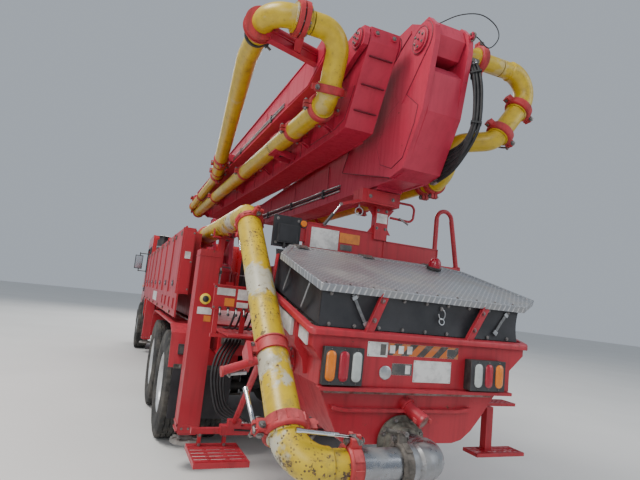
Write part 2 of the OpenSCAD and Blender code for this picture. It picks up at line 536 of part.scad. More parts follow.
place() frame_rails();
place() deck_structure();
place() front_axle();
place() knuckle(1);  // steering_knuckle_left
place() knuckle(-1);  // steering_knuckle_right
place() front_wheel(1);  // front_wheel_left
place() front_wheel(-1);  // front_wheel_right
place() rear_axles();
place() dual_wheel(1, axle1_y);  // rear_wheels_1_left
place() dual_wheel(-1, axle1_y);  // rear_wheels_1_right
place() dual_wheel(1, axle2_y);  // rear_wheels_2_left
place() dual_wheel(-1, axle2_y);  // rear_wheels_2_right
place() cab_shell();
place() cab_door(1);  // cab_door_left
place() cab_door(-1);  // cab_door_right
place() cab_windows();
place() cab_interior();
place() engine_block();
place() front_grille();
place() front_bumper();
place() mirrors();
place() rear_fenders();
place() fuel_tank();
place() air_cleaner();
place() side_body(1);  // side_body_left
place() side_body(-1);  // side_body_right
place() outrigger_housings();
place() o_beam(1, -8800, -75, 1400, 1040);  // outrigger_beam_front_left
place() o_beam(-1, -8800, 75, 1400, 1040);  // outrigger_beam_front_right
place() o_beam(1, -1800, -75, 1840, 1062);  // outrigger_beam_rear_left
place() o_beam(-1, -1800, 75, 1840, 1062);  // outrigger_beam_rear_right
place() j_leg(1, -8800, 1400, 1040);  // jack_leg_front_left
place() j_leg(-1, -8800, 1400, 1040);  // jack_leg_front_right
place() j_leg(1, -1800, 1400, 1062);  // jack_leg_rear_left
place() j_leg(-1, -1800, 1400, 1062);  // jack_leg_rear_right
place() turret();
place() boom_section_1();
place() boom_section_2();
place() boom_section_3();
place() boom_section_4();
place() boom_pipe_1();
place() boom_pipe_2();
place() boom_pipe_3();
place() boom_pipe_4();
place() lift_barrel(0);  // lift_barrel_1
place() lift_rod(0);  // lift_rod_1
place() lift_barrel(1);  // lift_barrel_2
place() lift_rod(1);  // lift_rod_2
place() lift_barrel(2);  // lift_barrel_3
place() lift_rod(2);  // lift_rod_3
place() lift_barrel(3);  // lift_barrel_4
place() lift_rod(3);  // lift_rod_4
place() deck_pipe();
place() hopper();
place() splash_guard();
place() hopper_lid();
place() tail_lamp_boxes();
place() boom_rest();
place() steps();
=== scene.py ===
import bpy
import bmesh
import json
import math
import random
from mathutils import Matrix, Vector, Euler

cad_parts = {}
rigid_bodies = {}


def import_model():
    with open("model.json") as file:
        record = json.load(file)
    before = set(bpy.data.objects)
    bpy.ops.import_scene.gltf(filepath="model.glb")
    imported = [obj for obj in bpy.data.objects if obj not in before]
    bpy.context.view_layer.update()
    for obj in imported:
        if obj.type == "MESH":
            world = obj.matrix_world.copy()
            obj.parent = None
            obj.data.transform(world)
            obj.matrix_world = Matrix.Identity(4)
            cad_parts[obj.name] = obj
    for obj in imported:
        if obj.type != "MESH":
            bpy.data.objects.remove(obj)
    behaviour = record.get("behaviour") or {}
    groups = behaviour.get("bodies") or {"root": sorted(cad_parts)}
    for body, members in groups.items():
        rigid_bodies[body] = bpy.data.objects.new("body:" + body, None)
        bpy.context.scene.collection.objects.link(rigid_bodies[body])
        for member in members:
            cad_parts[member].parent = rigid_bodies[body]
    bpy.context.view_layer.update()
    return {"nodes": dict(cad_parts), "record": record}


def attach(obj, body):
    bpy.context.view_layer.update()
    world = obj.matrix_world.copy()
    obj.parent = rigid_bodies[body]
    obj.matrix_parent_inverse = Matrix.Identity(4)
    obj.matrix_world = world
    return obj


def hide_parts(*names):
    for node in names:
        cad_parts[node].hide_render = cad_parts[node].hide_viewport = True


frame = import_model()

NODES = frame["nodes"]
DY = 5.3075                      # the tail-lamp plane in the row frame
random.seed(7)


def V(x, y, z):
    """A point given from the tail-lamp plane, put in the row frame."""
    return Vector((x, y + DY, z))


# ------------------------------------------------------------------ materials
class Graph:
    def __init__(self, name):
        self.m = bpy.data.materials.new(name)
        self.m.use_nodes = True
        self.t = self.m.node_tree
        self.b = self.t.nodes["Principled BSDF"]
        self.coord = self.t.nodes.new("ShaderNodeTexCoord")
        self.vec = self.coord.outputs["Object"]

    def node(self, kind, **k):
        n = self.t.nodes.new(kind)
        for a, v in k.items():
            setattr(n, a, v)
        return n

    def link(self, a, b):
        self.t.links.new(a, b)

    def put(self, socket, value):
        if hasattr(value, "is_output") or isinstance(value, bpy.types.NodeSocket):
            self.link(value, socket)
        else:
            if isinstance(value, (tuple, list)) and len(value) == 3 and socket.type == "RGBA":
                value = (*value, 1.0)
            socket.default_value = value

    def noise(self, scale, detail=4, rough=0.55, vec=None, stretch=None, out="Fac"):
        n = self.node("ShaderNodeTexNoise")
        n.inputs["Scale"].default_value = scale
        n.inputs["Detail"].default_value = detail
        n.inputs["Roughness"].default_value = rough
        v = vec or self.vec
        if stretch:
            mp = self.node("ShaderNodeMapping")
            mp.inputs["Scale"].default_value = stretch
            self.link(v, mp.inputs["Vector"])
            v = mp.outputs["Vector"]
        self.link(v, n.inputs["Vector"])
        return n.outputs[out]

    def voronoi(self, scale, feature="F1", vec=None, out="Distance", randomness=1.0):
        n = self.node("ShaderNodeTexVoronoi")
        n.feature = feature
        n.inputs["Scale"].default_value = scale
        n.inputs["Randomness"].default_value = randomness
        self.link(vec or self.vec, n.inputs["Vector"])
        return n.outputs[out]

    def ramp(self, fac, stops, interp="LINEAR"):
        n = self.node("ShaderNodeValToRGB")
        n.color_ramp.interpolation = interp
        e = n.color_ramp.elements
        while len(e) < len(stops):
            e.new(0.5)
        for i, (p, c) in enumerate(stops):
            e[i].position = p
            if isinstance(c, (int, float)):
                c = (c, c, c)
            e[i].color = (*c, 1.0)
        self.link(fac, n.inputs["Fac"])
        return n.outputs["Color"]

    def mix(self, fac, a, b, mode="MIX"):
        n = self.node("ShaderNodeMix", data_type="RGBA", blend_type=mode)
        n.clamp_factor = True
        self.put(n.inputs[0], fac)
        self.put(n.inputs[6], a)
        self.put(n.inputs[7], b)
        return n.outputs[2]

    def math(self, op, a, b=0.0, c=None, clamp=False):
        n = self.node("ShaderNodeMath", operation=op)
        n.use_clamp = clamp
        self.put(n.inputs[0], a)
        self.put(n.inputs[1], b)
        if c is not None:
            self.put(n.inputs[2], c)
        return n.outputs[0]

    def sep(self, vec=None):
        n = self.node("ShaderNodeSeparateXYZ")
        self.link(vec or self.vec, n.inputs[0])
        return n.outputs

    def normal(self):
        g = self.node("ShaderNodeNewGeometry")
        return g.outputs["Normal"]

    def bump(self, height, strength=0.3, dist=0.002, base=None):
        n = self.node("ShaderNodeBump")
        n.inputs["Strength"].default_value = strength
        n.inputs["Distance"].default_value = dist
        self.link(height, n.inputs["Height"])
        if base is not None:
            self.link(base, n.inputs["Normal"])
        return n.outputs["Normal"]

    def done(self, color=None, rough=None, metal=None, normal=None, **k):
        b = self.b
        if color is not None:
            self.put(b.inputs["Base Color"], color)
        if rough is not None:
            self.put(b.inputs["Roughness"], rough)
        if metal is not None:
            self.put(b.inputs["Metallic"], metal)
        if normal is not None:
            self.link(normal, b.inputs["Normal"])
        for a, v in k.items():
            self.put(b.inputs[a.replace("_", " ")], v)
        return self.m


def up_mask(g, lo=0.25, hi=0.95):
    """1 where a face looks up, 0 elsewhere."""
    z = g.sep(g.normal())[2]
    n = g.node("ShaderNodeMapRange")
    n.inputs["From Min"].default_value = lo
    n.inputs["From Max"].default_value = hi
    g.link(z, n.inputs["Value"])
    return n.outputs["Result"]


def paint(name, base, faded, dark, dirt=0.35, chips=0.0, rough=0.34, fade=0.5, coat=0.25):
    """Weathered machine paint: sun-faded tops, grime, fine scratches and chips down to primer and rust."""
    g = Graph(name)
    big = g.noise(0.9, 5, 0.6)
    mid = g.noise(7.0, 6, 0.62)
    fine = g.noise(60.0, 4, 0.6)
    streak = g.noise(9.0, 5, 0.6, stretch=(2.2, 2.2, 0.16))
    up = up_mask(g)
    f = g.math("MULTIPLY", g.ramp(big, [(0.38, 0.15), (0.66, 1.0)]), g.math("MULTIPLY_ADD", up, 0.8, 0.2))
    f = g.math("MULTIPLY", f, fade, clamp=True)
    col = g.mix(f, base, faded)
    d = g.math("MULTIPLY", g.ramp(streak, [(0.46, 0.0), (0.74, 1.0)]), dirt)
    col = g.mix(d, col, dark)
    d2 = g.math("MULTIPLY", g.ramp(mid, [(0.52, 0.0), (0.72, 1.0)]), dirt * 0.8)
    col = g.mix(d2, col, tuple(0.5 * a + 0.5 * b for a, b in zip(dark, base)))
    r = g.math("MULTIPLY_ADD", fine, 0.16, rough - 0.06)
    r = g.math("ADD", r, g.math("MULTIPLY", d, 0.6))
    h = g.math("MULTIPLY_ADD", fine, 0.25, mid)
    if chips > 0:
        c1 = g.noise(22.0, 7, 0.72)
        c2 = g.noise(3.2, 3, 0.5)
        c = g.math("MULTIPLY", g.ramp(c1, [(0.66 - 0.05 * chips, 0.0), (0.685 - 0.05 * chips, 1.0)]), g.ramp(c2, [(0.44, 0.0), (0.56, 1.0)]))
        rust = g.ramp(fine, [(0.35, (0.05, 0.022, 0.014)), (0.65, (0.16, 0.075, 0.045))])
        col = g.mix(c, col, rust)
        r = g.math("ADD", r, g.math("MULTIPLY", c, 0.35), clamp=True)
        h = g.math("SUBTRACT", h, g.math("MULTIPLY", c, 0.8))
    return g.done(color=col, rough=r, metal=0.0, normal=g.bump(h, 0.18, 0.0015), Coat_Weight=coat, Coat_Roughness=0.18)


M = {}
M["red"] = paint("red_paint_weathered", (0.375, 0.009, 0.020), (0.54, 0.085, 0.115), (0.065, 0.012, 0.012), dirt=0.38, chips=0.55, fade=0.50, rough=0.40, coat=0.12)
M["red_boom"] = paint("red_boom_paint", (0.42, 0.011, 0.040), (0.56, 0.115, 0.180), (0.13, 0.012, 0.020), dirt=0.26, chips=0.18, fade=0.6, rough=0.46, coat=0.06)
M["red_cab"] = paint("red_cab_paint", (0.46, 0.008, 0.014), (0.62, 0.08, 0.10), (0.10, 0.02, 0.02), dirt=0.15, chips=0.0, fade=0.3, coat=0.5, rough=0.25)


def pipe_yellow(name, wear=1.0):
    """Delivery pipe paint: strong yellow, rubbed chalky patches, dark chips and rusty runs."""
    g = Graph(name)
    big = g.noise(2.3, 5, 0.62)
    mid = g.noise(13.0, 6, 0.7)
    fine = g.noise(75.0, 4, 0.65)
    spots = g.voronoi(42.0)
    spots2 = g.voronoi(17.0)
    gate = g.ramp(g.noise(4.1, 4, 0.6), [(0.46, 0.0), (0.60, 1.0)])
    # the low elbow is chipped all over, and the riser is rubbed chalky at hand height
    z = g.sep(g.vec)[2]
    low = g.math("MULTIPLY_ADD", z, -3.4, 3.4, clamp=True)
    rub = g.math("SUBTRACT", 1.0, g.math("MULTIPLY", g.math("ABSOLUTE", g.math("SUBTRACT", z, 1.13)), 6.5), clamp=True)
    rub2 = g.math("SUBTRACT", 1.0, g.math("MULTIPLY", g.math("ABSOLUTE", g.math("SUBTRACT", z, 1.56)), 4.5), clamp=True)
    gate = g.math("MAXIMUM", gate, low)
    spots = g.math("SUBTRACT", spots, g.math("MULTIPLY", low, 0.055))
    spots2 = g.math("SUBTRACT", spots2, g.math("MULTIPLY", low, 0.070))
    big = g.math("ADD", big, g.math("MULTIPLY_ADD", rub, 0.185, g.math("MULTIPLY", rub2, 0.085)))
    col = g.mix(g.ramp(mid, [(0.36, 0.0), (0.70, 1.0)]), (0.55, 0.385, 0.010), (0.42, 0.28, 0.010))
    col = g.mix(g.math("MULTIPLY", g.ramp(big, [(0.585, 0.0), (0.62, 1.0)]), 0.80 * wear), col, (0.42, 0.43, 0.39))
    grime = g.math("MULTIPLY", g.ramp(g.noise(6.3, 7, 0.72), [(0.53, 0.0), (0.66, 1.0)]), 0.75 * wear)
    col = g.mix(grime, col, (0.20, 0.15, 0.055))
    c = g.math("MULTIPLY", g.ramp(mid, [(0.590, 0.0), (0.606, 1.0)]), gate)
    s = g.math("MULTIPLY", g.ramp(spots, [(0.17, 1.0), (0.24, 0.0)]), gate)
    s2 = g.math("MULTIPLY", g.ramp(spots2, [(0.13, 1.0), (0.17, 0.0)]), g.ramp(fine, [(0.45, 0.0), (0.5, 1.0)]))
    c = g.math("MAXIMUM", g.math("MAXIMUM", c, s), s2)
    c = g.math("MULTIPLY", c, wear, clamp=True)
    col = g.mix(c, col, g.ramp(fine, [(0.4, (0.035, 0.025, 0.018)), (0.62, (0.13, 0.075, 0.04))]))
    r = g.math("MULTIPLY_ADD", fine, 0.2, 0.30)
    r = g.math("ADD", r, g.math("MULTIPLY", g.math("MAXIMUM", c, grime), 0.35), clamp=True)
    h = g.math("SUBTRACT", g.math("MULTIPLY", fine, 0.2), g.math("MULTIPLY", c, 0.9))
    return g.done(color=col, rough=r, metal=0.0, normal=g.bump(h, 0.35, 0.002), Coat_Weight=0.15, Coat_Roughness=0.25)


M["yellow"] = pipe_yellow("yellow_pipe_worn", 1.0)
M["yellow_low"] = pipe_yellow("yellow_pipe_low", 1.0)
M["yellow_boom"] = pipe_yellow("yellow_boom_pipe", 0.32)
M["red_clamp"] = paint("red_clamp_cast", (0.40, 0.012, 0.018), (0.56, 0.16, 0.16), (0.09, 0.035, 0.03), dirt=0.7, chips=1.0, fade=0.7, rough=0.52, coat=0.0)


def simple(name, lo, hi, rough, metal=0.0, scale=14.0, bump=0.12, bscale=90.0, dist=0.001, rvar=0.15, **k):
    g = Graph(name)
    n = g.noise(scale, 6, 0.6)
    f = g.noise(bscale, 4, 0.6)
    col = g.ramp(n, [(0.34, lo), (0.68, hi)])
    return g.done(color=col, rough=g.math("MULTIPLY_ADD", f, rvar, rough - rvar / 2), metal=metal, normal=g.bump(f, bump, dist), **k)


M["black"] = simple("black_chassis_paint", (0.012, 0.012, 0.013), (0.055, 0.05, 0.046), 0.5)
M["rubber"] = simple("black_rubber_sheet", (0.010, 0.011, 0.014), (0.034, 0.035, 0.040), 0.52, scale=3.0, bump=0.3, bscale=28.0, dist=0.003)
M["hose"] = simple("hydraulic_hose_rubber", (0.008, 0.0085, 0.010), (0.022, 0.022, 0.024), 0.62, scale=20.0)
M["plastic"] = simple("dark_plastic", (0.02, 0.02, 0.022), (0.045, 0.045, 0.048), 0.45, scale=10.0)
M["steel"] = simple("zinc_steel", (0.32, 0.33, 0.34), (0.55, 0.56, 0.57), 0.34, metal=0.9, scale=18.0)
M["cast"] = simple("cast_steel_dirty", (0.05, 0.045, 0.04), (0.17, 0.15, 0.13), 0.7, metal=0.2, scale=22.0, bump=0.5, bscale=40.0, dist=0.003)
M["seat"] = simple("seat_cloth", (0.035, 0.035, 0.04), (0.06, 0.06, 0.065), 0.9, scale=40.0, bump=0.4, bscale=300.0)


def tyre_mat():
    g = Graph("tyre_rubber_dusty")
    n = g.noise(6.0, 6, 0.65)
    f = g.noise(110.0, 4, 0.6)
    col = g.mix(g.ramp(n, [(0.42, 0.0), (0.72, 1.0)]), (0.018, 0.018, 0.018), (0.095, 0.085, 0.072))
    return g.done(color=col, rough=g.math("MULTIPLY_ADD", f, 0.12, 0.74), metal=0.0, normal=g.bump(f, 0.2, 0.001))


M["tyre"] = tyre_mat()


def steel_pipe(name, dirty=0.6):
    """Bare steel delivery pipe and elbow: bright, with cement film and brown stains."""
    g = Graph(name)
    a = g.noise(5.0, 6, 0.65)
    b = g.noise(26.0, 6, 0.7)
    f = g.noise(120.0, 3, 0.6)
    film = g.math("MULTIPLY", g.ramp(a, [(0.42, 0.0), (0.62, 1.0)]), dirty)
    col = g.mix(film, (0.31, 0.32, 0.345), (0.20, 0.195, 0.185))
    st = g.math("MULTIPLY", g.ramp(b, [(0.58, 0.0), (0.70, 1.0)]), dirty)
    col = g.mix(st, col, (0.09, 0.068, 0.050))
    metal = g.math("SUBTRACT", 0.95, g.math("MULTIPLY", g.math("MAXIMUM", film, st), 0.75), clamp=True)
    r = g.math("MULTIPLY_ADD", g.math("MAXIMUM", film, st), 0.5, 0.22, clamp=True)
    return g.done(color=col, rough=r, metal=metal, normal=g.bump(g.math("MULTIPLY_ADD", f, 0.3, b), 0.2, 0.001))


M["chrome_pipe"] = steel_pipe("bright_outlet_steel", 0.75)
M["mortar_steel"] = simple("mortar_crusted_steel", (0.050, 0.046, 0.038), (0.26, 0.245, 0.20), 0.8, metal=0.1, scale=16.0, bump=0.8, bscale=45.0, dist=0.004)
M["rod"] = simple("chromed_rod", (0.60, 0.61, 0.63), (0.72, 0.73, 0.75), 0.14, metal=1.0, scale=30.0, bump=0.02, rvar=0.06)
M["alu"] = simple("mill_aluminium", (0.50, 0.51, 0.53), (0.68, 0.69, 0.71), 0.32, metal=0.85, scale=12.0)


def tread_plate_with_painted_shade():
    """Five-bar style tread plate: short raised bars, set crosswise by turns, on dull aluminium whose colours are set
    darker overall as painted shade.
    """
    g = Graph("tread_plate_aluminium_painted_shade")
    x, y, _ = g.sep()[:3]
    P = 0.040                                   # pitch of the pattern in metres

    def bars(ox, oy, turn):
        c, s = math.cos(turn), math.sin(turn)
        gx = g.math("FRACT", g.math("MULTIPLY_ADD", x, 1.0 / P, ox))
        gy = g.math("FRACT", g.math("MULTIPLY_ADD", y, 1.0 / P, oy))
        dx = g.math("SUBTRACT", gx, 0.5)
        dy = g.math("SUBTRACT", gy, 0.5)
        u = g.math("ADD", g.math("MULTIPLY", dx, c), g.math("MULTIPLY", dy, s))
        v = g.math("SUBTRACT", g.math("MULTIPLY", dy, c), g.math("MULTIPLY", dx, s))
        e = g.math("ADD", g.math("POWER", g.math("MULTIPLY", u, 2.7), 2.0), g.math("POWER", g.math("MULTIPLY", v, 8.5), 2.0))
        return g.ramp(e, [(0.55, 1.0), (1.0, 0.0)])

    h = g.math("MAXIMUM", bars(0.0, 0.0, math.radians(45)), bars(0.5, 0.5, math.radians(-45)))
    a = g.noise(3.5, 6, 0.6)
    f = g.noise(60.0, 4, 0.6)
    stain = g.ramp(a, [(0.44, 0.0), (0.66, 1.0)])
    # bar and plate colours are both set darker than the metal's own: painted shade, because the lid lies in shade
    col = g.mix(h, (0.25, 0.263, 0.285), (0.48, 0.49, 0.51))
    col = g.mix(g.math("MULTIPLY", stain, 0.55), col, (0.34, 0.32, 0.29))
    r = g.math("MULTIPLY_ADD", stain, 0.25, 0.36)
    return g.done(color=col, rough=r, metal=0.55, normal=g.bump(g.math("MULTIPLY_ADD", f, 0.12, h), 0.55, 0.0022))


M["tread"] = tread_plate_with_painted_shade()


def glass_mat():
    g = Graph("cab_glass_tinted")
    m = g.done(color=(0.20, 0.25, 0.27), rough=0.04, metal=0.0, IOR=1.5)
    g.b.inputs["Alpha"].default_value = 0.42
    n = g.noise(3.0, 3, 0.5)
    g.link(g.ramp(n, [(0.3, 0.03), (0.8, 0.10)]), g.b.inputs["Roughness"])
    return m


M["glass"] = glass_mat()


def lens(name, col, strength=0.0):
    g = Graph(name)
    ribs = g.node("ShaderNodeTexWave", wave_type="BANDS", bands_direction="Z")
    ribs.inputs["Scale"].default_value = 38.0
    g.link(g.vec, ribs.inputs["Vector"])
    n = g.noise(30.0, 4, 0.6)
    c = g.mix(g.ramp(n, [(0.3, 0.0), (0.8, 0.5)]), col, tuple(v * 0.6 for v in col))
    return g.done(color=c, rough=0.16, metal=0.0, normal=g.bump(ribs.outputs["Fac"], 0.35, 0.0015), Coat_Weight=0.35, Coat_Roughness=0.08)


M["amber"] = lens("lamp_lens_amber", (0.74, 0.19, 0.003))
M["red_lens"] = lens("lamp_lens_red", (0.36, 0.004, 0.022))
M["white_lens"] = lens("lamp_lens_clear", (0.46, 0.50, 0.485))


def label_mat(name, a, b, scale):
    """A blank plate with soft generic bands of print-like greys, no lettering."""
    g = Graph(name)
    n = g.noise(scale, 5, 0.7)
    c = g.mix(g.ramp(n, [(0.42, 0.0), (0.62, 1.0)]), a, b)
    return g.done(color=c, rough=0.42, metal=0.0, normal=g.bump(g.noise(50.0, 3, 0.5), 0.05, 0.0005))


M["label"] = label_mat("blank_label_plate", (0.66, 0.66, 0.64), (0.42, 0.42, 0.41), 9.0)
def stripes_mat():
    """Warning band: slanted dark and orange bars, no lettering."""
    g = Graph("warning_band_orange")
    x, y, z = g.sep()[:3]
    s = g.math("FRACT", g.math("MULTIPLY", g.math("ADD", x, z), 9.0))
    n = g.noise(30.0, 5, 0.6)
    c = g.mix(g.ramp(s, [(0.47, 0.0), (0.53, 1.0)]), (0.055, 0.045, 0.04), (0.50, 0.13, 0.02))
    return g.done(color=g.mix(g.ramp(n, [(0.45, 0.0), (0.75, 0.5)]), c, (0.25, 0.22, 0.2)), rough=0.45, metal=0.0)


M["label_stripes"] = stripes_mat()
M["label_dark"] = label_mat("blank_label_dark", (0.06, 0.06, 0.06), (0.12, 0.11, 0.10), 12.0)
M["label_orange"] = label_mat("blank_label_orange", (0.62, 0.20, 0.03), (0.42, 0.14, 0.03), 10.0)
M["bolt"] = simple("bolt_head_steel", (0.10, 0.09, 0.085), (0.30, 0.28, 0.27), 0.45, metal=0.7, scale=60.0)
M["knob"] = simple("yellow_knob_plastic", (0.72, 0.50, 0.03), (0.80, 0.60, 0.06), 0.4, scale=30.0)
M["pad"] = simple("jack_pad_steel", (0.16, 0.15, 0.14), (0.36, 0.34, 0.32), 0.6, metal=0.5, scale=10.0, bump=0.3)

SLOT = {
    "red_paint": "red", "yellow_paint": "yellow", "black_metal": "black", "tyre": "tyre", "glass": "glass", "dark_trim": "plastic",
    "cast_metal": "cast", "alu_plate": "alu", "chrome": "rod", "rubber": "rubber",
}
record = frame["record"]
slot_of = {s["node"]: s["material_slot"] for s in record["subparts"]}


def set_mat(o, m):
    o.data.materials.clear()
    o.data.materials.append(m)


def smooth(o, angle=30.0):
    """Smooth shading with creases over the angle; the mesh's vertices stay where they are."""
    me = o.data
    me.shade_smooth()
    try:
        me.set_sharp_from_angle(angle=math.radians(angle))
    except Exception:
        pass


for name, o in NODES.items():
    set_mat(o, M[SLOT[slot_of[name]]])
for n in ("boom_section_1", "boom_section_2", "boom_section_3", "boom_section_4", "turret"):
    set_mat(NODES[n], M["red_boom"])
for n in ("cab_shell", "cab_door_left", "cab_door_right"):
    set_mat(NODES[n], M["red_cab"])
set_mat(NODES["hopper_lid"], M["tread"])

# ------------------------------------------------------------------ mesh building
def axis_frame(d, hint=None):
    """Three unit vectors with the third along d."""
    w = Vector(d).normalized()
    h = Vector(hint) if hint is not None else (Vector((0, 0, 1)) if abs(w.z) < 0.9 else Vector((1, 0, 0)))
    u = h.cross(w)
    if u.length < 1e-6:
        u = Vector((1, 0, 0)).cross(w)
    u.normalize()
    return u, w.cross(u), w


class Build:
    """Collects faces of several materials and makes one object of them."""

    def __init__(self):
        self.v, self.f, self.k, self.mats = [], [], [], []

    def mi(self, m):
        if m not in self.mats:
            self.mats.append(m)
        return self.mats.index(m)

    def add(self, verts, faces, mat):
        n = len(self.v)
        self.v.extend(Vector(p) for p in verts)
        i = self.mi(mat)
        for f in faces:
            self.f.append([n + a for a in f])
            self.k.append(i)

    def hexa(self, c, mat):
        """Eight corners: bottom ring of four, then top ring of four."""
        self.add(c, [(3, 2, 1, 0), (4, 5, 6, 7), (0, 1, 5, 4), (1, 2, 6, 5), (2, 3, 7, 6), (3, 0, 4, 7)], mat)

    def box(self, lo, hi, mat):
        (a, b, c), (d, e, f) = lo, hi
        self.hexa([V(a, b, c), V(d, b, c), V(d, e, c), V(a, e, c), V(a, b, f), V(d, b, f), V(d, e, f), V(a, e, f)], mat)

    def obox(self, c, u, v, w, mat):
        """Box about the centre c with half-axes u, v, w."""
        c, u, v, w = Vector(c), Vector(u), Vector(v), Vector(w)
        s = [(-1, -1, -1), (1, -1, -1), (1, 1, -1), (-1, 1, -1), (-1, -1, 1), (1, -1, 1), (1, 1, 1), (-1, 1, 1)]
        self.hexa([c + u * a + v * b + w * d for a, b, d in s], mat)

    def strip(self, p, q, w, t, mat, up=(0, 0, 1)):
        """Flat bar from p to q, w wide and t thick; its thickness lies along up."""
        p, q = Vector(p), Vector(q)
        d = q - p
        n = Vector(up)
        n = (n - d.normalized() * n.dot(d.normalized())).normalized()
        s = d.cross(n).normalized()
        self.obox((p + q) / 2, d / 2, s * w / 2, n * t / 2, mat)

    def prism(self, poly, a, b, mat, axis="x"):
        """Polygon [(y, z)] from x = a to b; with axis y it is [(x, z)], with axis z [(x, y)]."""
        def at(p, t):
            if axis == "x":
                return V(t, p[0], p[1])
            if axis == "y":
                return V(p[0], t, p[1])
            return V(p[0], p[1], t)
        n = len(poly)
        vs = [at(p, a) for p in poly] + [at(p, b) for p in poly]
        fs = [tuple(range(n))[::-1], tuple(range(n, 2 * n))]
        fs += [(i, (i + 1) % n, n + (i + 1) % n, n + i) for i in range(n)]
        self.add(vs, fs, mat)

    def lathe(self, p, d, prof, mat, n=32, hint=None, closed=False, a0=0.0, a1=2 * math.pi):
        """Profile [(radius, distance along d)] turned about the axis through p."""
        u, v, w = axis_frame(d, hint)
        p = Vector(p)
        full = abs(a1 - a0 - 2 * math.pi) < 1e-6
        m = n if full else n + 1
        vs, fs = [], []
        for i in range(m):
            a = a0 + (a1 - a0) * i / n
            e = u * math.cos(a) + v * math.sin(a)
            for r, t in prof:
                vs.append(p + e * r + w * t)
        k = len(prof)
        for i in range(n):
            j = (i + 1) % m
            for c in range(k if closed else k - 1):
                e = (c + 1) % k
                fs.append((i * k + c, j * k + c, j * k + e, i * k + e))
        if not closed:
            if prof[0][0] > 1e-5 and full:
                fs.append(tuple(i * k for i in range(m))[::-1])
            if prof[-1][0] > 1e-5 and full:
                fs.append(tuple(i * k + k - 1 for i in range(m)))
        elif not full:
            fs.append(tuple(range(k))[::-1])
            fs.append(tuple((m - 1) * k + c for c in range(k)))
        self.add(vs, fs, mat)

    def cyl(self, p, q, r, mat, n=20, r2=None):
        p, q = Vector(p), Vector(q)
        self.lathe(p, q - p, [(r, 0.0), (r if r2 is None else r2, (q - p).length)], mat, n)

    def ring(self, p, d, ri, ro, h, mat, n=32):
        """Flat ring centred on p with its height h along d."""
        self.lathe(p, d, [(ri, -h / 2), (ro, -h / 2), (ro, h / 2), (ri, h / 2)], mat, n, closed=True)

    def sweep(self, path, r, mat, n=12, cap=True, hint=None):
        """Round tube along points; r is one radius or one for each point."""
        path = [Vector(p) for p in path]
        k = len(path)
        rr = [r] * k if isinstance(r, (int, float)) else list(r)
        dirs = []
        for i in range(k):
            a = path[max(0, i - 1)]
            b = path[min(k - 1, i + 1)]
            d = b - a
            dirs.append(d.normalized() if d.length > 1e-9 else (dirs[-1] if dirs else Vector((0, 0, 1))))
        u, v, w = axis_frame(dirs[0], hint)
        vs, fs = [], []
        for i in range(k):
            d = dirs[i]
            u = (u - d * u.dot(d)).normalized()
            v = d.cross(u)
            for j in range(n):
                a = 2 * math.pi * j / n
                vs.append(path[i] + (u * math.cos(a) + v * math.sin(a)) * rr[i])
        for i in range(k - 1):
            for j in range(n):
                e = (j + 1) % n
                fs.append((i * n + j, i * n + e, (i + 1) * n + e, (i + 1) * n + j))
        if cap:
            fs.append(tuple(range(n))[::-1])
            fs.append(tuple((k - 1) * n + j for j in range(n)))
        self.add(vs, fs, mat)

    def bolt(self, p, d, r, h, mat="bolt", washer=True):
        """Hexagon head standing on p along d."""
        p = Vector(p)
        w = Vector(d).normalized()
        if washer:
            self.cyl(p, p + w * h * 0.2, r * 1.35, mat, 14)
        self.lathe(p, w, [(r, 0.0), (r, h * 0.85), (r * 0.86, h)], mat, 6)

    def make(self, name, body, slot, bevel=0.0, angle=35.0, segments=1, smooth_angle=40.0):
        me = bpy.data.meshes.new(name)
        me.from_pydata([tuple(p) for p in self.v], [], self.f)
        for m in self.mats:
            me.materials.append(M[m])
        for p, i in zip(me.polygons, self.k):
            p.material_index = i
        bm = bmesh.new()
        bm.from_mesh(me)
        bmesh.ops.remove_doubles(bm, verts=bm.verts, dist=1e-6)
        bmesh.ops.recalc_face_normals(bm, faces=bm.faces)
        if bevel > 0:
            es = [e for e in bm.edges if len(e.link_faces) == 2 and e.calc_face_angle(0) > math.radians(angle)
                  and min(f.calc_area() for f in e.link_faces) > bevel * bevel * 6 and e.calc_length() > bevel * 3]
            bmesh.ops.bevel(bm, geom=es, offset=bevel, segments=segments, profile=0.5, affect="EDGES", clamp_overlap=True, loop_slide=True)
        bm.to_mesh(me)
        bm.free()
        me.shade_smooth()
        try:
            me.set_sharp_from_angle(angle=math.radians(smooth_angle))
        except Exception:
            pass
        o = bpy.data.objects.new(name, me)
        bpy.context.scene.collection.objects.link(o)
        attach(o, body)
        return o


def corner_path(pts, R, step=math.radians(7.5)):
    """Corner points to [(point, along an elbow?)] with arcs of radius R; also the elbows' (start, direction), (end, direction), angle."""
    P = [Vector(p) for p in pts]
    RR = list(R) if isinstance(R, (list, tuple)) else [R] * len(P)
    out, elbows = [(P[0], False)], []
    for i in range(1, len(P) - 1):
        a = (P[i] - P[i - 1]).normalized()
        b = (P[i + 1] - P[i]).normalized()
        th = a.angle(b)
        if th < math.radians(1.0):
            out.append((P[i], False))
            continue
        rad = RR[i] if RR[i] * math.tan(th / 2) > 0.05 else 0.05 / math.tan(th / 2)
        t = rad * math.tan(th / 2)
        s, e = P[i] - a * t, P[i] + b * t
        axis = a.cross(b).normalized()
        c = s + axis.cross(a) * rad
        n = max(2, int(th / step))
        for k in range(n + 1):
            q = Matrix.Rotation(th * k / n, 3, axis) @ (s - c) + c
            out.append((q, True))
        elbows.append((s, a, e, b, th))
    out.append((P[-1], False))
    return out, elbows


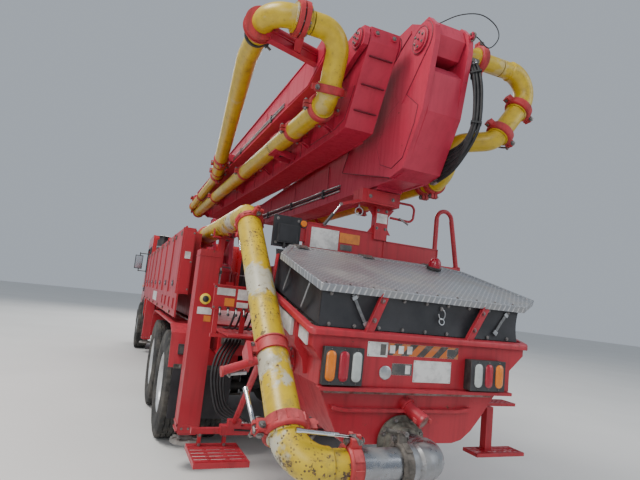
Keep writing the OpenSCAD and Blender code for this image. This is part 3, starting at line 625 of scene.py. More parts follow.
def clamp_ring(b, p, d, r, w=0.062, out=0.028, side=None, lever=False, mat="red_clamp"):
    """Cast two-half pipe clamp about a pipe of radius r: ring, bolt lugs on one side, hinge lug on the other."""
    p = Vector(p)
    u, v, ax = axis_frame(d, side)
    if side is not None:
        s = Vector(side)
        u = (s - ax * s.dot(ax)).normalized()
        v = ax.cross(u)
    ro = r + out
    h = w / 2
    prof = [(r + 0.002, -h), (ro - 0.010, -h), (ro - 0.002, -h + 0.006), (ro, -h + 0.014), (ro, h - 0.014), (ro - 0.002, h - 0.006), (ro - 0.010, h), (r + 0.002, h)]
    for k in (0, 1):
        g = 0.035
        b.lathe(p, ax, prof, mat, 20, hint=v, closed=True, a0=g + k * math.pi, a1=(k + 1) * math.pi - g)
    # lugs where the halves meet, on the side u
    for q, kind in ((u, "bolt"), (-u, "pin")):
        for e in (-1, 1):
            c = p + q * (ro + 0.012) + v * e * 0.016
            b.obox(c, q * 0.020, v * 0.0125, ax * (h * 0.72), mat)
        c = p + q * (ro + 0.016)
        if kind == "bolt":
            b.cyl(c - v * 0.045, c + v * 0.05, 0.0085, "bolt", 10)
            b.bolt(c + v * 0.029, v, 0.015, 0.013)
            b.bolt(c - v * 0.029, -v, 0.015, 0.013)
        else:
            b.cyl(c - ax * (h + 0.004), c + ax * (h + 0.004), 0.011, "bolt", 12)
    if lever:
        # over-centre lever that lies along the ring
        c0 = p + u * (ro + 0.028) + v * 0.03
        pts = [c0]
        for k in range(9):
            a = math.radians(14 + 11 * k)
            pts.append(p + (u * math.cos(a) + v * math.sin(a)) * (ro + 0.024 + 0.0022 * k))
        for e in (-1, 1):
            b.sweep([q + ax * e * 0.019 for q in pts], 0.0075, "bolt", 8)
        b.cyl(pts[-1] - ax * 0.026, pts[-1] + ax * 0.026, 0.010, "bolt", 10)
        b.cyl(c0 - ax * 0.03, c0 + ax * 0.03, 0.012, "bolt", 10)


def delivery(name, body, pts, r, R, er, slot="yellow_paint", mat="yellow", seams=(), n=40, clamps=True, joints=(), side=None, skip=(), cw=0.062, fat=(), lever=()):
    """Delivery pipe along corner points: straights of radius r, bends of radius R with the outer radius er, clamps at each bend's ends."""
    P = [V(*p) for p in pts]
    path, elbows = corner_path(P, R)
    b = Build()
    pp, rr = [], []
    # straights that are as thick as an elbow: path places between two bends
    thick = set()
    for sgm in fat:
        for i, (q, bend) in enumerate(path[:-1]):
            m = (q + path[i + 1][0]) / 2
            d = P[sgm + 1] - P[sgm]
            f = (m - P[sgm]).dot(d) / d.length_squared
            if 0 <= f <= 1 and (P[sgm] + d * f - m).length < 0.004 and not (bend and path[i + 1][1] and (q - path[i + 1][0]).length < 0.03):
                thick.add(i)
    for i, (q, bend) in enumerate(path):
        prev_b = path[i - 1][1] if i else False
        next_b = path[i + 1][1] if i < len(path) - 1 else False
        if (i in thick) or (i - 1 in thick):
            pp.append(q); rr.append(er)
        elif bend and not prev_b:
            pp += [q + (path[i - 1][0] - q).normalized() * 0.012, q]; rr += [r, er]
        elif bend and not next_b:
            pp += [q, q + (path[i + 1][0] - q).normalized() * 0.012]; rr += [er, r]
        elif bend:
            pp.append(q); rr.append(er)
        else:
            pp.append(q); rr.append(r)
    b.sweep(pp, rr, mat, n)
    b.make(name, body, slot, smooth_angle=32)
    c = Build()
    k = 0
    for i, (s, a, e, d, th) in enumerate(elbows):
        if th < math.radians(22):
            continue
        for q, t in ((s - a * 0.014, a), (e + d * 0.014, d)):
            if clamps and k not in skip:
                for o in (-1, 1):
                    c.ring(q + t * o * (cw / 2 + 0.006), t, r - 0.01, max(er, r) + 0.009, 0.010, mat, 32)
                clamp_ring(c, q, t, max(er, r) + 0.004, cw, 0.026, side=side, lever=k in lever)
            k += 1
    for f, i in joints:
        # clamp on the straight between corners i and i + 1, at share f
        q = P[i].lerp(P[i + 1], f)
        t = (P[i + 1] - P[i]).normalized()
        for o in (-1, 1):
            c.ring(q + t * o * (cw / 2 + 0.004), t, r - 0.01, r + 0.010, 0.009, mat, 32)
        clamp_ring(c, q, t, r + 0.004, cw, 0.026, side=side)
    if c.v:
        c.make(name + "_clamps", body, "red_paint", bevel=0.0)
    return P, elbows


# ------------------------------------------------------------------ floor, light, camera
def stage_floor():
    bm = bmesh.new()
    bmesh.ops.create_grid(bm, x_segments=8, y_segments=8, size=60)
    me = bpy.data.meshes.new("studio_floor")
    bm.to_mesh(me)
    bm.free()
    o = bpy.data.objects.new("studio_floor", me)
    bpy.context.scene.collection.objects.link(o)
    g = Graph("pale_floor")
    n = g.noise(0.6, 4, 0.5)
    g.done(color=g.ramp(n, [(0.3, (0.66, 0.655, 0.64)), (0.7, (0.70, 0.695, 0.68))]), rough=0.9, metal=0.0)
    set_mat(o, g.m)
    o.location.z = -0.001


stage_floor()
world = bpy.data.worlds.new("studio_world")
bpy.context.scene.world = world
world.use_nodes = True
world.node_tree.nodes["Background"].inputs["Color"].default_value = (0.74, 0.82, 0.92, 1)
world.node_tree.nodes["Background"].inputs["Strength"].default_value = 0.55


def area(name, loc, target, size, power, color=(1, 1, 1)):
    d = bpy.data.lights.new(name, "AREA")
    d.shape = "RECTANGLE"
    d.size, d.size_y = size
    d.energy = power
    d.color = color
    o = bpy.data.objects.new(name, d)
    bpy.context.scene.collection.objects.link(o)
    o.location = loc
    o.rotation_mode = "QUATERNION"
    o.rotation_quaternion = (Vector(target) - Vector(loc)).to_track_quat("-Z", "Y")


area("key_light", (8.5, 5.0, 13.0), (0, 1.0, 1.0), (6, 6), 2150, (1.0, 0.97, 0.92))
area("fill_light", (-10.0, 11.0, 7.0), (0, 2.0, 1.5), (8, 8), 420, (0.92, 0.96, 1.0))
area("rear_light", (6.0, 14.0, 6.0), (0, 3.0, 1.5), (6, 6), 480, (1.0, 0.98, 0.96))
area("front_light", (-1.5, -15.0, 10.0), (0, -3.0, 1.5), (9, 6), 1200, (1.0, 0.98, 0.95))


def camera():
    f, slope, vp = 483.0, 0.105, (118.0, 280.0)
    d1 = Vector(((vp[0] - 320) / f, (vp[1] - 240) / f, 1.0))
    a = -(1 + d1[1] * (d1[1] - slope * d1[0])) / (d1[0] + d1[1] * slope)
    d2 = Vector((a, d1[1] + slope * (a - d1[0]), 1.0))
    d1.normalize(); d2.normalize()
    Y, X = -d1, -d2
    Z = X.cross(Y)
    # rows of R are the truck's axes in camera coordinates (x right, y down, z forward)
    R = Matrix((X, Y, Z))
    c = bpy.data.cameras.new("photo_camera")
    c.sensor_width = 36.0
    c.lens = f / 640.0 * 36.0
    o = bpy.data.objects.new("photo_camera", c)
    bpy.context.scene.collection.objects.link(o)
    W = Matrix.Identity(4)
    for i in range(3):
        W[i][0] = R[i][0]
        W[i][1] = -R[i][1]
        W[i][2] = -R[i][2]
    W.translation = V(1.77, 2.52, 1.5)
    o.matrix_world = W
    c.clip_start, c.clip_end = 0.05, 300
    bpy.context.scene.camera = o


camera()

# ------------------------------------------------------------------ delivery pipes
RB = 0.0665                      # outer radius of the boom's pipe
RD = 0.0825                      # outer radius of the deck's pipe
P1 = [(-0.65, -8.3, 2.9), (-0.86, -8.3, 2.9), (-0.86, -7.7, 2.9), (-0.5, -7.0, 2.88), (-0.5, -4.9, 2.86), (-0.5, -4.2, 2.565), (-0.5, -0.62, 2.565),
      (-0.52, -0.56, 2.85), (-0.76, -0.36, 2.87), (-1.15, -0.32, 3.45), (-0.739, -0.32, 3.45)]
P2 = [(-0.731, -0.32, 3.45), (-0.44, -0.32, 3.45), (-0.44, -7.4, 3.35), (-0.305, -7.4, 3.35)]
P3 = [(0.366, -7.4, 3.35), (0.525, -7.4, 3.35), (0.525, -7.05, 2.97), (0.525, -0.72, 2.97), (0.54, -0.52, 3.43), (0.771, -0.52, 3.43)]
P4 = [(0.779, -0.52, 3.43), (1.085, -0.52, 3.43), (1.05, -1.3, 3.44), (0.66, -4.5, 3.15), (0.66, -6.95, 3.03)]


def skip_all(n, keep):
    return tuple(k for k in range(n) if k not in keep)


delivery("boom_pipe_first", "section_1", P1, RB, [0, .13, .13, .13, .13, .13, .13, .13, .13, .17, 0], 0.076, joints=((0.30, 5), (0.62, 5), (0.93, 5), (0.06, 3)),
         side=(0, 0, -1), skip=skip_all(30, (0, 3, 6, 9, 10, 15, 16)), lever=(15,), mat="yellow_boom")
delivery("boom_pipe_second", "section_2", P2, RB, 0.074, 0.076, joints=((0.33, 1), (0.66, 1)), side=(0, 0, 1), skip=(1,), mat="yellow_boom")
delivery("boom_pipe_third", "section_3", P3, RB, [0, .105, .105, .13, .165, 0], 0.083, joints=((0.60, 2), (0.30, 2), (0.885, 2)), side=(1, 0.3, 0),
         skip=skip_all(12, (0, 1, 2, 3, 4, 5)), fat=(3, 4), mat="yellow_boom")
delivery("boom_pipe_fourth", "section_4", P4, 0.0585, [0, .165, .13, .13, 0], 0.084, joints=((0.83, 2), (0.93, 2)), side=(-1, 0, 0), skip=(0, 1), fat=(0,), mat="yellow_boom")
for n, w in enumerate(("first", "second", "third", "fourth"), 1):
    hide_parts("boom_pipe_%d" % n)

# the big swivel joint at the fourth section's pipe, with its black seal ring
b = Build()
for d, ri, ro, h, mat in ((0.035, 0.05, 0.108, 0.016, "yellow"), (0.060, 0.05, 0.128, 0.034, "red_clamp"), (0.083, 0.05, 0.112, 0.012, "rubber"), (0.104, 0.05, 0.128, 0.030, "red_clamp"), (0.128, 0.05, 0.104, 0.012, "yellow")):
    b.ring(V(0.779 + d, -0.52, 3.43), (1, 0, 0), ri, ro, h, mat, 40)
for k in range(8):
    a = 2 * math.pi * k / 8 + 0.2
    q = V(0.838, -0.52 + 0.116 * math.cos(a), 3.43 + 0.116 * math.sin(a))
    b.bolt(q - Vector((0.017, 0, 0)), (-1, 0, 0), 0.009, 0.012)
    b.cyl(q, q + Vector((0.05, 0, 0)), 0.006, "bolt", 8)
b.make("swivel_joint_fourth", "section_4", "red_paint")

# ------------------------------------------------------------------ deck pipe and outlet
PD = [(0.563, 0.32, 0.72), (0.90, 0.32, 0.72), (0.89, -1.24, 2.12), (0.89, -6.9, 2.12), (0.89, -7.5, 1.75), (0.51, -7.763, 1.666)]
PG = [(0.09, -0.0495, 0.72), (0.09, 0.32, 0.72), (0.557, 0.32, 0.72)]
# shares of the riser (segment 1) at which its clamps sit
delivery("deck_delivery_pipe", "chassis", PD, RD, 0.180, 0.093, joints=((0.11, 3), (0.34, 3), (0.345, 2), (0.62, 2), (0.90, 2)),
         side=(1, 0.2, 0), skip=(0, 2, 3, 5, 6, 7), cw=0.066, lever=())
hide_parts("deck_pipe")
delivery("outlet_pipe", "chassis", PG, 0.082, 0.130, 0.094, slot="cast_metal", mat="chrome_pipe", side=(0, 0, 1), clamps=False)
P = [V(*p) for p in PD]
riser = (P[2] - P[1]).normalized()
Lr = (P[2] - P[1]).length
out = riser.cross(Vector((1, 0, 0))).normalized()      # across the riser, towards the rear and up
if out.y < 0:
    out = -out
b = Build()
# wide bracket ring on the riser with its arm to the red tube
def on_riser(f):
    return P[1].lerp(P[2], f)
c0 = on_riser(0.335)
b.ring(c0, riser, RD + 0.001, RD + 0.016, 0.085, "red_clamp", 48)
for s in (-1, 1):
    b.ring(c0 + riser * s * 0.040, riser, RD + 0.001, RD + 0.022, 0.010, "red_clamp", 48)
side = Vector((1, 0, 0))
for s in (-1, 1):
    b.obox(c0 + side * 0.118 + out * s * 0.016, side * 0.024, out * 0.011, riser * 0.036, "red_clamp")
    b.bolt(c0 + side * 0.120 + out * (0.027 if s > 0 else -0.027) + riser * 0.015, out * s, 0.011, 0.012)
b.obox(c0 + side * 0.15 - riser * 0.05, side * 0.012, out * 0.05, riser * 0.07, "red")
q0 = c0 + side * 0.155 - riser * 0.10
q1 = q0 + Vector((0.14, 0.02, -0.045))
b.cyl(q0 - Vector((0.05, 0.0, -0.016)), q1, 0.024, "red", 20)
b.cyl(q1 - Vector((0.008, 0, 0)), q1 + Vector((0.006, 0.0, -0.002)), 0.029, "red_clamp", 20)
b.cyl(q0 + Vector((0, 0, -0.05)), q0 + Vector((0.09, 0, -0.06)), 0.011, "steel", 12)
b.bolt(q0 + Vector((0.09, 0, -0.06)), (1, 0, 0), 0.016, 0.014)
# stay from the frame bar to the riser's clamp
b.cyl(V(0.80, -1.228, 0.52), on_riser(0.36) + side * 0.02 - out * 0.09, 0.021, "red", 20)
b.obox(on_riser(0.36) + side * 0.02 - out * 0.095, side * 0.03, out * 0.02, riser * 0.04, "red")
b.obox(V(0.80, -1.235, 0.51), Vector((0.05, 0, 0)), Vector((0, 0.03, 0)), Vector((0, 0, 0.03)), "red")
for y in (-1.42, -1.60, -1.86, -2.06):
    b.ring(V(0.89, y, 2.12), (0, 1, 0), RD + 0.001, RD + 0.007, 0.020, "red_clamp", 40)
    b.obox(V(0.89, y, 2.12 - RD - 0.014), Vector((0.016, 0, 0)), Vector((0, 0.010, 0)), Vector((0, 0, 0.010)), "red_clamp")
b.make("riser_bracket", "chassis", "red_paint", bevel=0.0)
# hinged over-centre clamps at the lower bend, with levers
def big_clamp(name, p, ax, side, r=0.097, w=0.072, mat="red_clamp", lever_mat="rod", lever_len=0.26, lever_dir=None):
    b = Build()
    p, ax, side = Vector(p), Vector(ax).normalized(), Vector(side)
    side = (side - ax * side.dot(ax)).normalized()
    v = ax.cross(side)
    h = w / 2
    prof = [(r, -h), (r + 0.014, -h), (r + 0.022, -h + 0.010), (r + 0.022, h - 0.010), (r + 0.014, h), (r, h)]
    for k in (0, 1):
        b.lathe(p, ax, prof, mat, 24, hint=v, closed=True, a0=0.05 + k * math.pi, a1=(k + 1) * math.pi - 0.05)
    # raised blocks on the ring
    for a in (40, 90, 140, 220, 270, 320):
        e = side * math.cos(math.radians(a)) + v * math.sin(math.radians(a))
        f = ax.cross(e)
        b.obox(p + e * (r + 0.018), e * 0.008, f * 0.030, ax * (h - 0.012), mat)
    for q in (side, -side):
        for e in (-1, 1):
            b.obox(p + q * (r + 0.036) + v * e * 0.020, q * 0.024, v * 0.016, ax * (h - 0.008), mat)
            b.obox(p + q * (r + 0.060) + v * e * 0.014 + ax * e * 0.014, q * 0.016, v * 0.012, ax * 0.010, mat)
        b.cyl(p + q * (r + 0.040) - ax * (h + 0.010), p + q * (r + 0.040) + ax * (h + 0.010), 0.013, "bolt", 16)
        for e in (-1, 1):
            b.bolt(p + q * (r + 0.040) + ax * e * (h + 0.008), ax * e, 0.015, 0.010)
    # lever: two cheeks, eye bolt and handle
    ld = Vector(lever_dir) if lever_dir is not None else -v
    ld = ld.normalized()
    q = p + side * (r + 0.062)
    b.cyl(q - ax * 0.030, q + ax * 0.030, 0.012, "bolt", 16)
    for e in (-1, 1):
        b.strip(q + ax * e * 0.018, q + ax * e * 0.018 + ld * lever_len * 0.45, 0.026, 0.008, lever_mat, up=ax)
    b.cyl(q + ld * lever_len * 0.30, q + ld * lever_len, 0.011, lever_mat, 14)
    b.cyl(q + ld * lever_len * 0.96, q + ld * lever_len * 1.04, 0.014, lever_mat, 14)
    b.cyl(q + v * 0.02, q - v * 0.07, 0.008, "bolt", 12)
    b.lathe(q - v * 0.070, v, [(0.014, 0.0), (0.014, 0.012)], "bolt", 6)
    b.make(name, "chassis", "red_paint", bevel=0.0)
path, elb = corner_path(P, 0.180)
s0, a0, e0, d0, _ = elb[0]
big_clamp("riser_lower_clamp", e0 + d0 * 0.03, d0, (1, 0, 0), lever_dir=d0 + Vector((0.10, 0, 0)), lever_len=0.22)
big_clamp("outlet_clamp_yellow", V(0.60, 0.32, 0.72), (1, 0, 0), (0, 0.15, 1), r=0.0850, lever_dir=(1.0, 0.0, 0.10), lever_len=0.30)
s1, a1, e1, d1, _ = elb[1]
big_clamp("riser_top_clamp", s1 - a1 * 0.045, a1, (0.2, -1, 0), r=0.088, w=0.055, lever_dir=-a1 + Vector((0, -0.1, 0)), lever_len=0.16)
# pale flange that meets the hopper's outlet, elbow collars and the dark clamp
b = Build()
b.lathe(V(0.09, -0.046, 0.72), (0, 1, 0), [(0.07, 0.0), (0.150, 0.0), (0.158, 0.008), (0.158, 0.020), (0.128, 0.028), (0.122, 0.044), (0.104, 0.052), (0.098, 0.075), (0.09, 0.075)], "mortar_steel", 48)
for k in range(8):
    a = 2 * math.pi * (k + 0.5) / 8
    b.bolt(V(0.09 + 0.140 * math.cos(a), -0.022, 0.72 + 0.140 * math.sin(a)), (0, 1, 0), 0.013, 0.014)
for x, ro, w in ((0.275, 0.104, 0.030),):
    b.ring(V(x, 0.32, 0.72), (1, 0, 0), 0.075, ro, w, "chrome_pipe", 48)
b.make("outlet_flange", "chassis", "cast_metal", bevel=0.0)
big_clamp("outlet_clamp_dark", V(0.312, 0.32, 0.72), (1, 0, 0), (0, -0.2, 1), r=0.0850, w=0.060, mat="cast", lever_mat="cast", lever_dir=(0.8, 0.1, 0.2), lever_len=0.10)
# the deck run's saddles on posts
b = Build()
for y in (-2.2, -3.3, -5.0, -6.6):
    b.box((0.862, y - 0.03, 1.19), (0.918, y + 0.03, 2.02), "red")
    b.box((0.80, y - 0.045, 2.005), (0.98, y + 0.045, 2.022), "red")
    b.ring(V(0.89, y, 2.12), (0, 1, 0), RD + 0.001, RD + 0.010, 0.05, "red_clamp", 32)
    for s in (-1, 1):
        b.box((0.89 + s * 0.084 - 0.006, y - 0.02, 2.02), (0.89 + s * 0.084 + 0.006, y + 0.02, 2.12), "red_clamp")
        b.bolt(V(0.89 + s * 0.104, y, 2.022), (0, 0, 1), 0.011, 0.012)
b.make("deck_pipe_saddles", "chassis", "red_paint", bevel=0.0)

# ------------------------------------------------------------------ boom details
def spline(pts, n=6):
    """Smooth path through the points."""
    P = [Vector(p) for p in pts]
    P = [P[0] * 2 - P[1]] + P + [P[-1] * 2 - P[-2]]
    out = []
    for i in range(1, len(P) - 2):
        a, c, d, e = P[i - 1], P[i], P[i + 1], P[i + 2]
        for k in range(n):
            t = k / n
            out.append(0.5 * ((2 * c) + (d - a) * t + (2 * a - 5 * c + 4 * d - e) * t * t + (3 * c - a - 3 * d + e) * t ** 3))
    out.append(P[-2])
    return out


def VV(pts):
    return [V(*p) for p in pts]


# Weld bead along the points; its dark colour is partly the weld's own and partly painted shade along the plate's edge.
def weld(b, pts, r=0.005, mat="weld"):
    b.sweep(VV(pts), r, mat, 6)


def pin_boss(b, x, y, z, s, r, mat="red_boom", flat=1.0):
    """Boss ring, cover plate and locking bolts of a hinge pin whose face looks to side s of X."""
    e = Vector((s, 0, 0))
    p = V(x, y, z)
    b.lathe(p, e, [(q * r, h * flat) for q, h in ((1.75, 0.0), (1.75, 0.008), (1.70, 0.010), (1.32, 0.010), (1.30, 0.014), (1.30, 0.020), (1.22, 0.023))] + [(0.0001, 0.023 * flat)], mat, 48)
    for k in range(6):
        a = 2 * math.pi * k / 6 + 0.4
        b.bolt(p + e * 0.022 * flat + Vector((0, math.cos(a), math.sin(a))) * r * 0.95, e, 0.009, 0.008 * flat)
    b.cyl(p + e * 0.022 * flat, p + e * 0.034 * flat, 0.007, "bolt", 10)
    # weld bead round the boss, dark enough to paint the shade line at the boss's edge
    ring = [p + e * 0.009 + Vector((0, math.cos(t), math.sin(t))) * r * 1.77 for t in [2 * math.pi * i / 40 for i in range(41)]]
    b.sweep(ring, 0.0035, "weld", 5, cap=False)


def teardrop(y, z, r, tail, n=18, w=0.5):
    """Outline [(y, z)] of a round plate about (y, z) drawn out to the point tail."""
    c, t = Vector((y, z)), Vector(tail)
    d = (t - c).normalized()
    a0 = math.atan2(d.y, d.x)
    pts = []
    for k in range(n + 1):
        a = a0 + math.radians(75) + (2 * math.pi - math.radians(150)) * k / n
        pts.append((c.x + r * math.cos(a), c.y + r * math.sin(a)))
    s = Vector((-d.y, d.x)) * r * w
    pts += [tuple(t - s), tuple(t + s)]
    return pts


def edge_strip(b, poly, x0, x1, t, mat, closed=False, lo=0, hi=None):
    """Flange strips along an outline's edges, t thick, from x0 to x1."""
    hi = len(poly) - (0 if closed else 1) if hi is None else hi
    for i in range(lo, hi):
        p, q = poly[i], poly[(i + 1) % len(poly)]
        a, c = V((x0 + x1) / 2, p[0], p[1]), V((x0 + x1) / 2, q[0], q[1])
        d = (c - a)
        n = Vector((0, -d.z, d.y)).normalized()
        b.obox((a + c) / 2, d / 2, n * t / 2, Vector(((x1 - x0) / 2, 0, 0)), mat)


# Weld bead colour: darker than the weld alone, so that the beads along the plates' edges also paint the shade line that
# falls there.
M["weld"] = simple("weld_bead_red", (0.07, 0.006, 0.014), (0.20, 0.014, 0.030), 0.55, scale=80.0, bump=0.7, bscale=260.0)
A_OUT = [(-8.48, 2.798), (-8.49, 3.0), (-8.3, 3.08), (-7.0, 3.02), (-4.4, 2.83), (-1.7, 2.95), (-1.15, 2.96), (-0.9, 3.06), (-0.64, 3.18),
         (-0.48, 3.27), (-0.3, 3.275), (-0.205, 3.18), (-0.235, 2.9), (-0.44, 2.52), (-0.6, 2.475), (-2.6, 2.475), (-4.3, 2.53), (-4.85, 2.74), (-7.68, 2.74), (-7.8, 2.798)]
EAR = [(-1.5, 2.7), (-1.35, 2.96), (-0.62, 3.5), (-0.47, 3.58), (-0.25, 3.6), (-0.16, 3.5), (-0.15, 3.38), (-0.24, 2.9), (-0.44, 2.52), (-0.62, 2.48)]
B_OUT = [(-0.34, 3.6), (-0.56, 3.72), (-0.9, 3.7), (-1.5, 3.61), (-7.3, 3.5), (-7.52, 3.44), (-7.56, 3.35), (-7.52, 3.26), (-7.3, 3.2),
         (-1.5, 3.19), (-0.76, 3.24), (-0.48, 3.36), (-0.4, 3.33), (-0.25, 3.33), (-0.18, 3.45), (-0.22, 3.56)]
C_OUT = [(-7.56, 3.35), (-7.5, 3.48), (-7.38, 3.52), (-7.2, 3.42), (-1.7, 3.23), (-1.2, 3.26), (-0.9, 3.42), (-0.76, 3.53), (-0.54, 3.54), (-0.43, 3.5),
         (-0.44, 3.4), (-0.73, 2.83), (-0.9, 2.81), (-3.0, 2.8), (-6.9, 2.88), (-7.4, 3.18)]
D_OUT = [(-0.705, 3.3), (-0.69, 3.42), (-0.73, 3.5), (-1.0, 3.45), (-7.0, 3.33), (-7.06, 3.26), (-7.0, 3.19), (-1.0, 3.19)]


def section_one():
    b = Build()
    R = "red_boom"
    for x, s in ((-0.010, 1), (-0.340, -1)):
        e = 0.006 * s
        # round reinforcement about the knuckle pin, a long teardrop below it and a doubler on the web
        b.prism(teardrop(-0.32, 3.45, 0.135, (-0.60, 3.10), w=0.75), x, x + e, R)
        b.prism([(-0.30, 2.95), (-0.33, 2.83), (-0.45, 2.60), (-0.60, 2.55), (-0.78, 2.62), (-0.86, 2.78), (-0.70, 3.02), (-0.48, 3.10)], x, x + e * 0.7, R)
        pin_boss(b, x + e, -0.32, 3.45, s, 0.055, R, flat=1.0 if s > 0 else 0.4)
        xx = x + e * 0.2
        # weld beads round the ear and the plates: their dark colour also paints the shade lines along the plates' edges
        weld(b, [(xx, y, z) for y, z in [EAR[i] for i in (9, 0, 1, 2, 3)]])
        t = teardrop(-0.32, 3.45, 0.137, (-0.60, 3.10), w=0.75)
        weld(b, [(xx, y, z) for y, z in t + t[:1]], 0.0035)
        t = [(-0.30, 2.95), (-0.33, 2.83), (-0.45, 2.60), (-0.60, 2.55), (-0.78, 2.62), (-0.86, 2.78), (-0.70, 3.02), (-0.48, 3.10), (-0.30, 2.95)]
        weld(b, [(xx, y, z) for y, z in t], 0.0035)
    # webs: seam lines, whose darkened weld colour also paints shade along them, stiffening ribs, lower boss rings
    for x, s in ((-0.050, 1), (-0.300, -1)):
        for y in (-1.9, -2.9, -3.9, -5.6, -6.6):
            zt = 2.92 if y > -2.5 else (2.86 if y > -5 else 2.96)
            weld(b, [(x + 0.001 * s, y, 2.50 if y > -4.4 else 2.76), (x + 0.001 * s, y - 0.04, zt - 0.04)], 0.003)
        b.prism([(-8.40, 2.80), (-8.44, 2.99), (-8.28, 3.05), (-7.75, 3.02), (-7.75, 2.78), (-7.86, 2.80)], x, x + s * 0.006, R)
        pin_boss(b, (0.015 if s > 0 else -0.365), -8.3, 2.9, s, 0.075, R)
        # top and bottom flanges that stand a little out of the web
        edge_strip(b, A_OUT, min(x - 0.010 * s, x + 0.012 * s), max(x - 0.010 * s, x + 0.012 * s), 0.012, R, lo=2, hi=6)
        edge_strip(b, A_OUT, min(x - 0.010 * s, x + 0.012 * s), max(x - 0.010 * s, x + 0.012 * s), 0.012, R, lo=14, hi=17)
    # wide rear face: lifting eye on its lug
    q = V(-0.322, -0.150, 3.500)
    b.obox(q, Vector((0.014, 0, 0)), Vector((0, 0.020, 0)), Vector((0, 0, 0.022)), R)
    bow = [q + Vector((0.0, 0.012 + 0.026 * math.sin(t), -0.012 - 0.030 * math.cos(t))) for t in [math.radians(-150 + 25 * k) for k in range(13)]]
    b.sweep(bow, 0.0055, "cast", 8)
    b.cyl(q + Vector((-0.024, 0.006, 0.006)), q + Vector((0.024, 0.006, 0.006)), 0.008, "cast", 10)
    # rest shoe: rubber on steel
    b.box((-0.285, -1.075, 2.449), (-0.065, -0.885, 2.456), "rubber")
    b.make("section_1_details", "section_1", "red_paint", smooth_angle=40)

    # hose bundle behind the knuckle: nine hoses tied together, which part again low down and run forward along the web
    c = Build()
    mid = VV([(-0.378, -0.205, 3.325), (-0.385, -0.160, 3.230), (-0.388, -0.130, 3.100), (-0.388, -0.118, 2.960), (-0.384, -0.122, 2.850), (-0.376, -0.150, 2.760), (-0.368, -0.215, 2.680), (-0.362, -0.330, 2.620), (-0.358, -0.520, 2.585)])
    across = Vector((0.786, -0.618, 0.0))
    for k in range(9):
        i0, j0 = k % 3 - 1, k // 3 - 1
        pts = []
        for i, p in enumerate(mid):
            t = (mid[min(i + 1, 8)] - mid[max(i - 1, 0)]).normalized()
            u = (across - t * across.dot(t)).normalized()
            w = t.cross(u)
            j = Vector((random.uniform(-1, 1), random.uniform(-1, 1), random.uniform(-1, 1))) * (0.0025 if 0 < i < 8 else 0.0)
            q = p + u * i0 * 0.0225 + w * j0 * 0.0215 + j
            if i >= 7:
                q = Vector((-0.3585 - 0.004 * (k % 2), p.y, p.z + (k - 4) * (0.021 if i == 7 else 0.0245)))
            elif i == 6:
                q = q.lerp(Vector((-0.360, p.y, p.z + (k - 4) * 0.018)), 0.45)
            q.x = min(q.x, -0.3575)
            pts.append(q)
        c.sweep(spline(pts, 7), 0.0108, "hose", 10)
        d = (pts[0] - pts[1]).normalized()
        c.cyl(pts[0] - d * 0.030, pts[0] + d * 0.012, 0.0125, "steel", 12)
        d = (pts[-1] - pts[-2]).normalized()
        c.cyl(pts[-1] - d * 0.03, pts[-1] + d * 0.01, 0.0118, "steel", 12)
    # block on the ear that the fittings screw into, and the bulkhead at the far end
    c.obox(V(-0.380, -0.212, 3.342), Vector((0.036, 0, 0)), Vector((0, 0.042, 0)), Vector((0, 0, 0.014)), "cast")
    c.box((-0.374, -0.560, 2.478), (-0.3405, -0.535, 2.692), "cast")
    for i, g in ((1, 0.0365), (4, 0.0365)):
        t = (mid[i + 1] - mid[i - 1]).normalized()
        u = (across - t * across.dot(t)).normalized()
        w = t.cross(u)
        for e in (-1, 1):
            c.obox(mid[i] + u * e * g, u * 0.0016, w * (g + 0.001), t * 0.007, "hose")
            c.obox(mid[i] + w * e * g, w * 0.0016, u * (g + 0.001), t * 0.007, "hose")
    c.make("section_1_hose_bundle", "section_1", "rubber", smooth_angle=60)

    # lines along the web: two steel tubes in clips
    d = Build()
    for x in (-0.040,):
        for dz in (0.0, 0.028, 0.056):
            pts = [(x, -7.2, 2.80 + dz), (x, -4.9, 2.78 + dz), (x, -4.3, 2.60 + dz), (x, -1.6, 2.55 + dz)]
            d.sweep(VV(pts), 0.0085, "steel" if dz != 0.028 else "hose", 8)
        for y, z in ((-6.8, 2.795), (-5.6, 2.786), (-4.0, 2.595), (-3.0, 2.575), (-2.0, 2.556)):
            d.box((x - 0.012, y - 0.02, z - 0.016), (x + 0.014, y + 0.02, z + 0.074), "plastic")
    d.make("section_1_lines", "section_1", "cast_metal", smooth_angle=50)


section_one()


LOOSE_CABLE = []


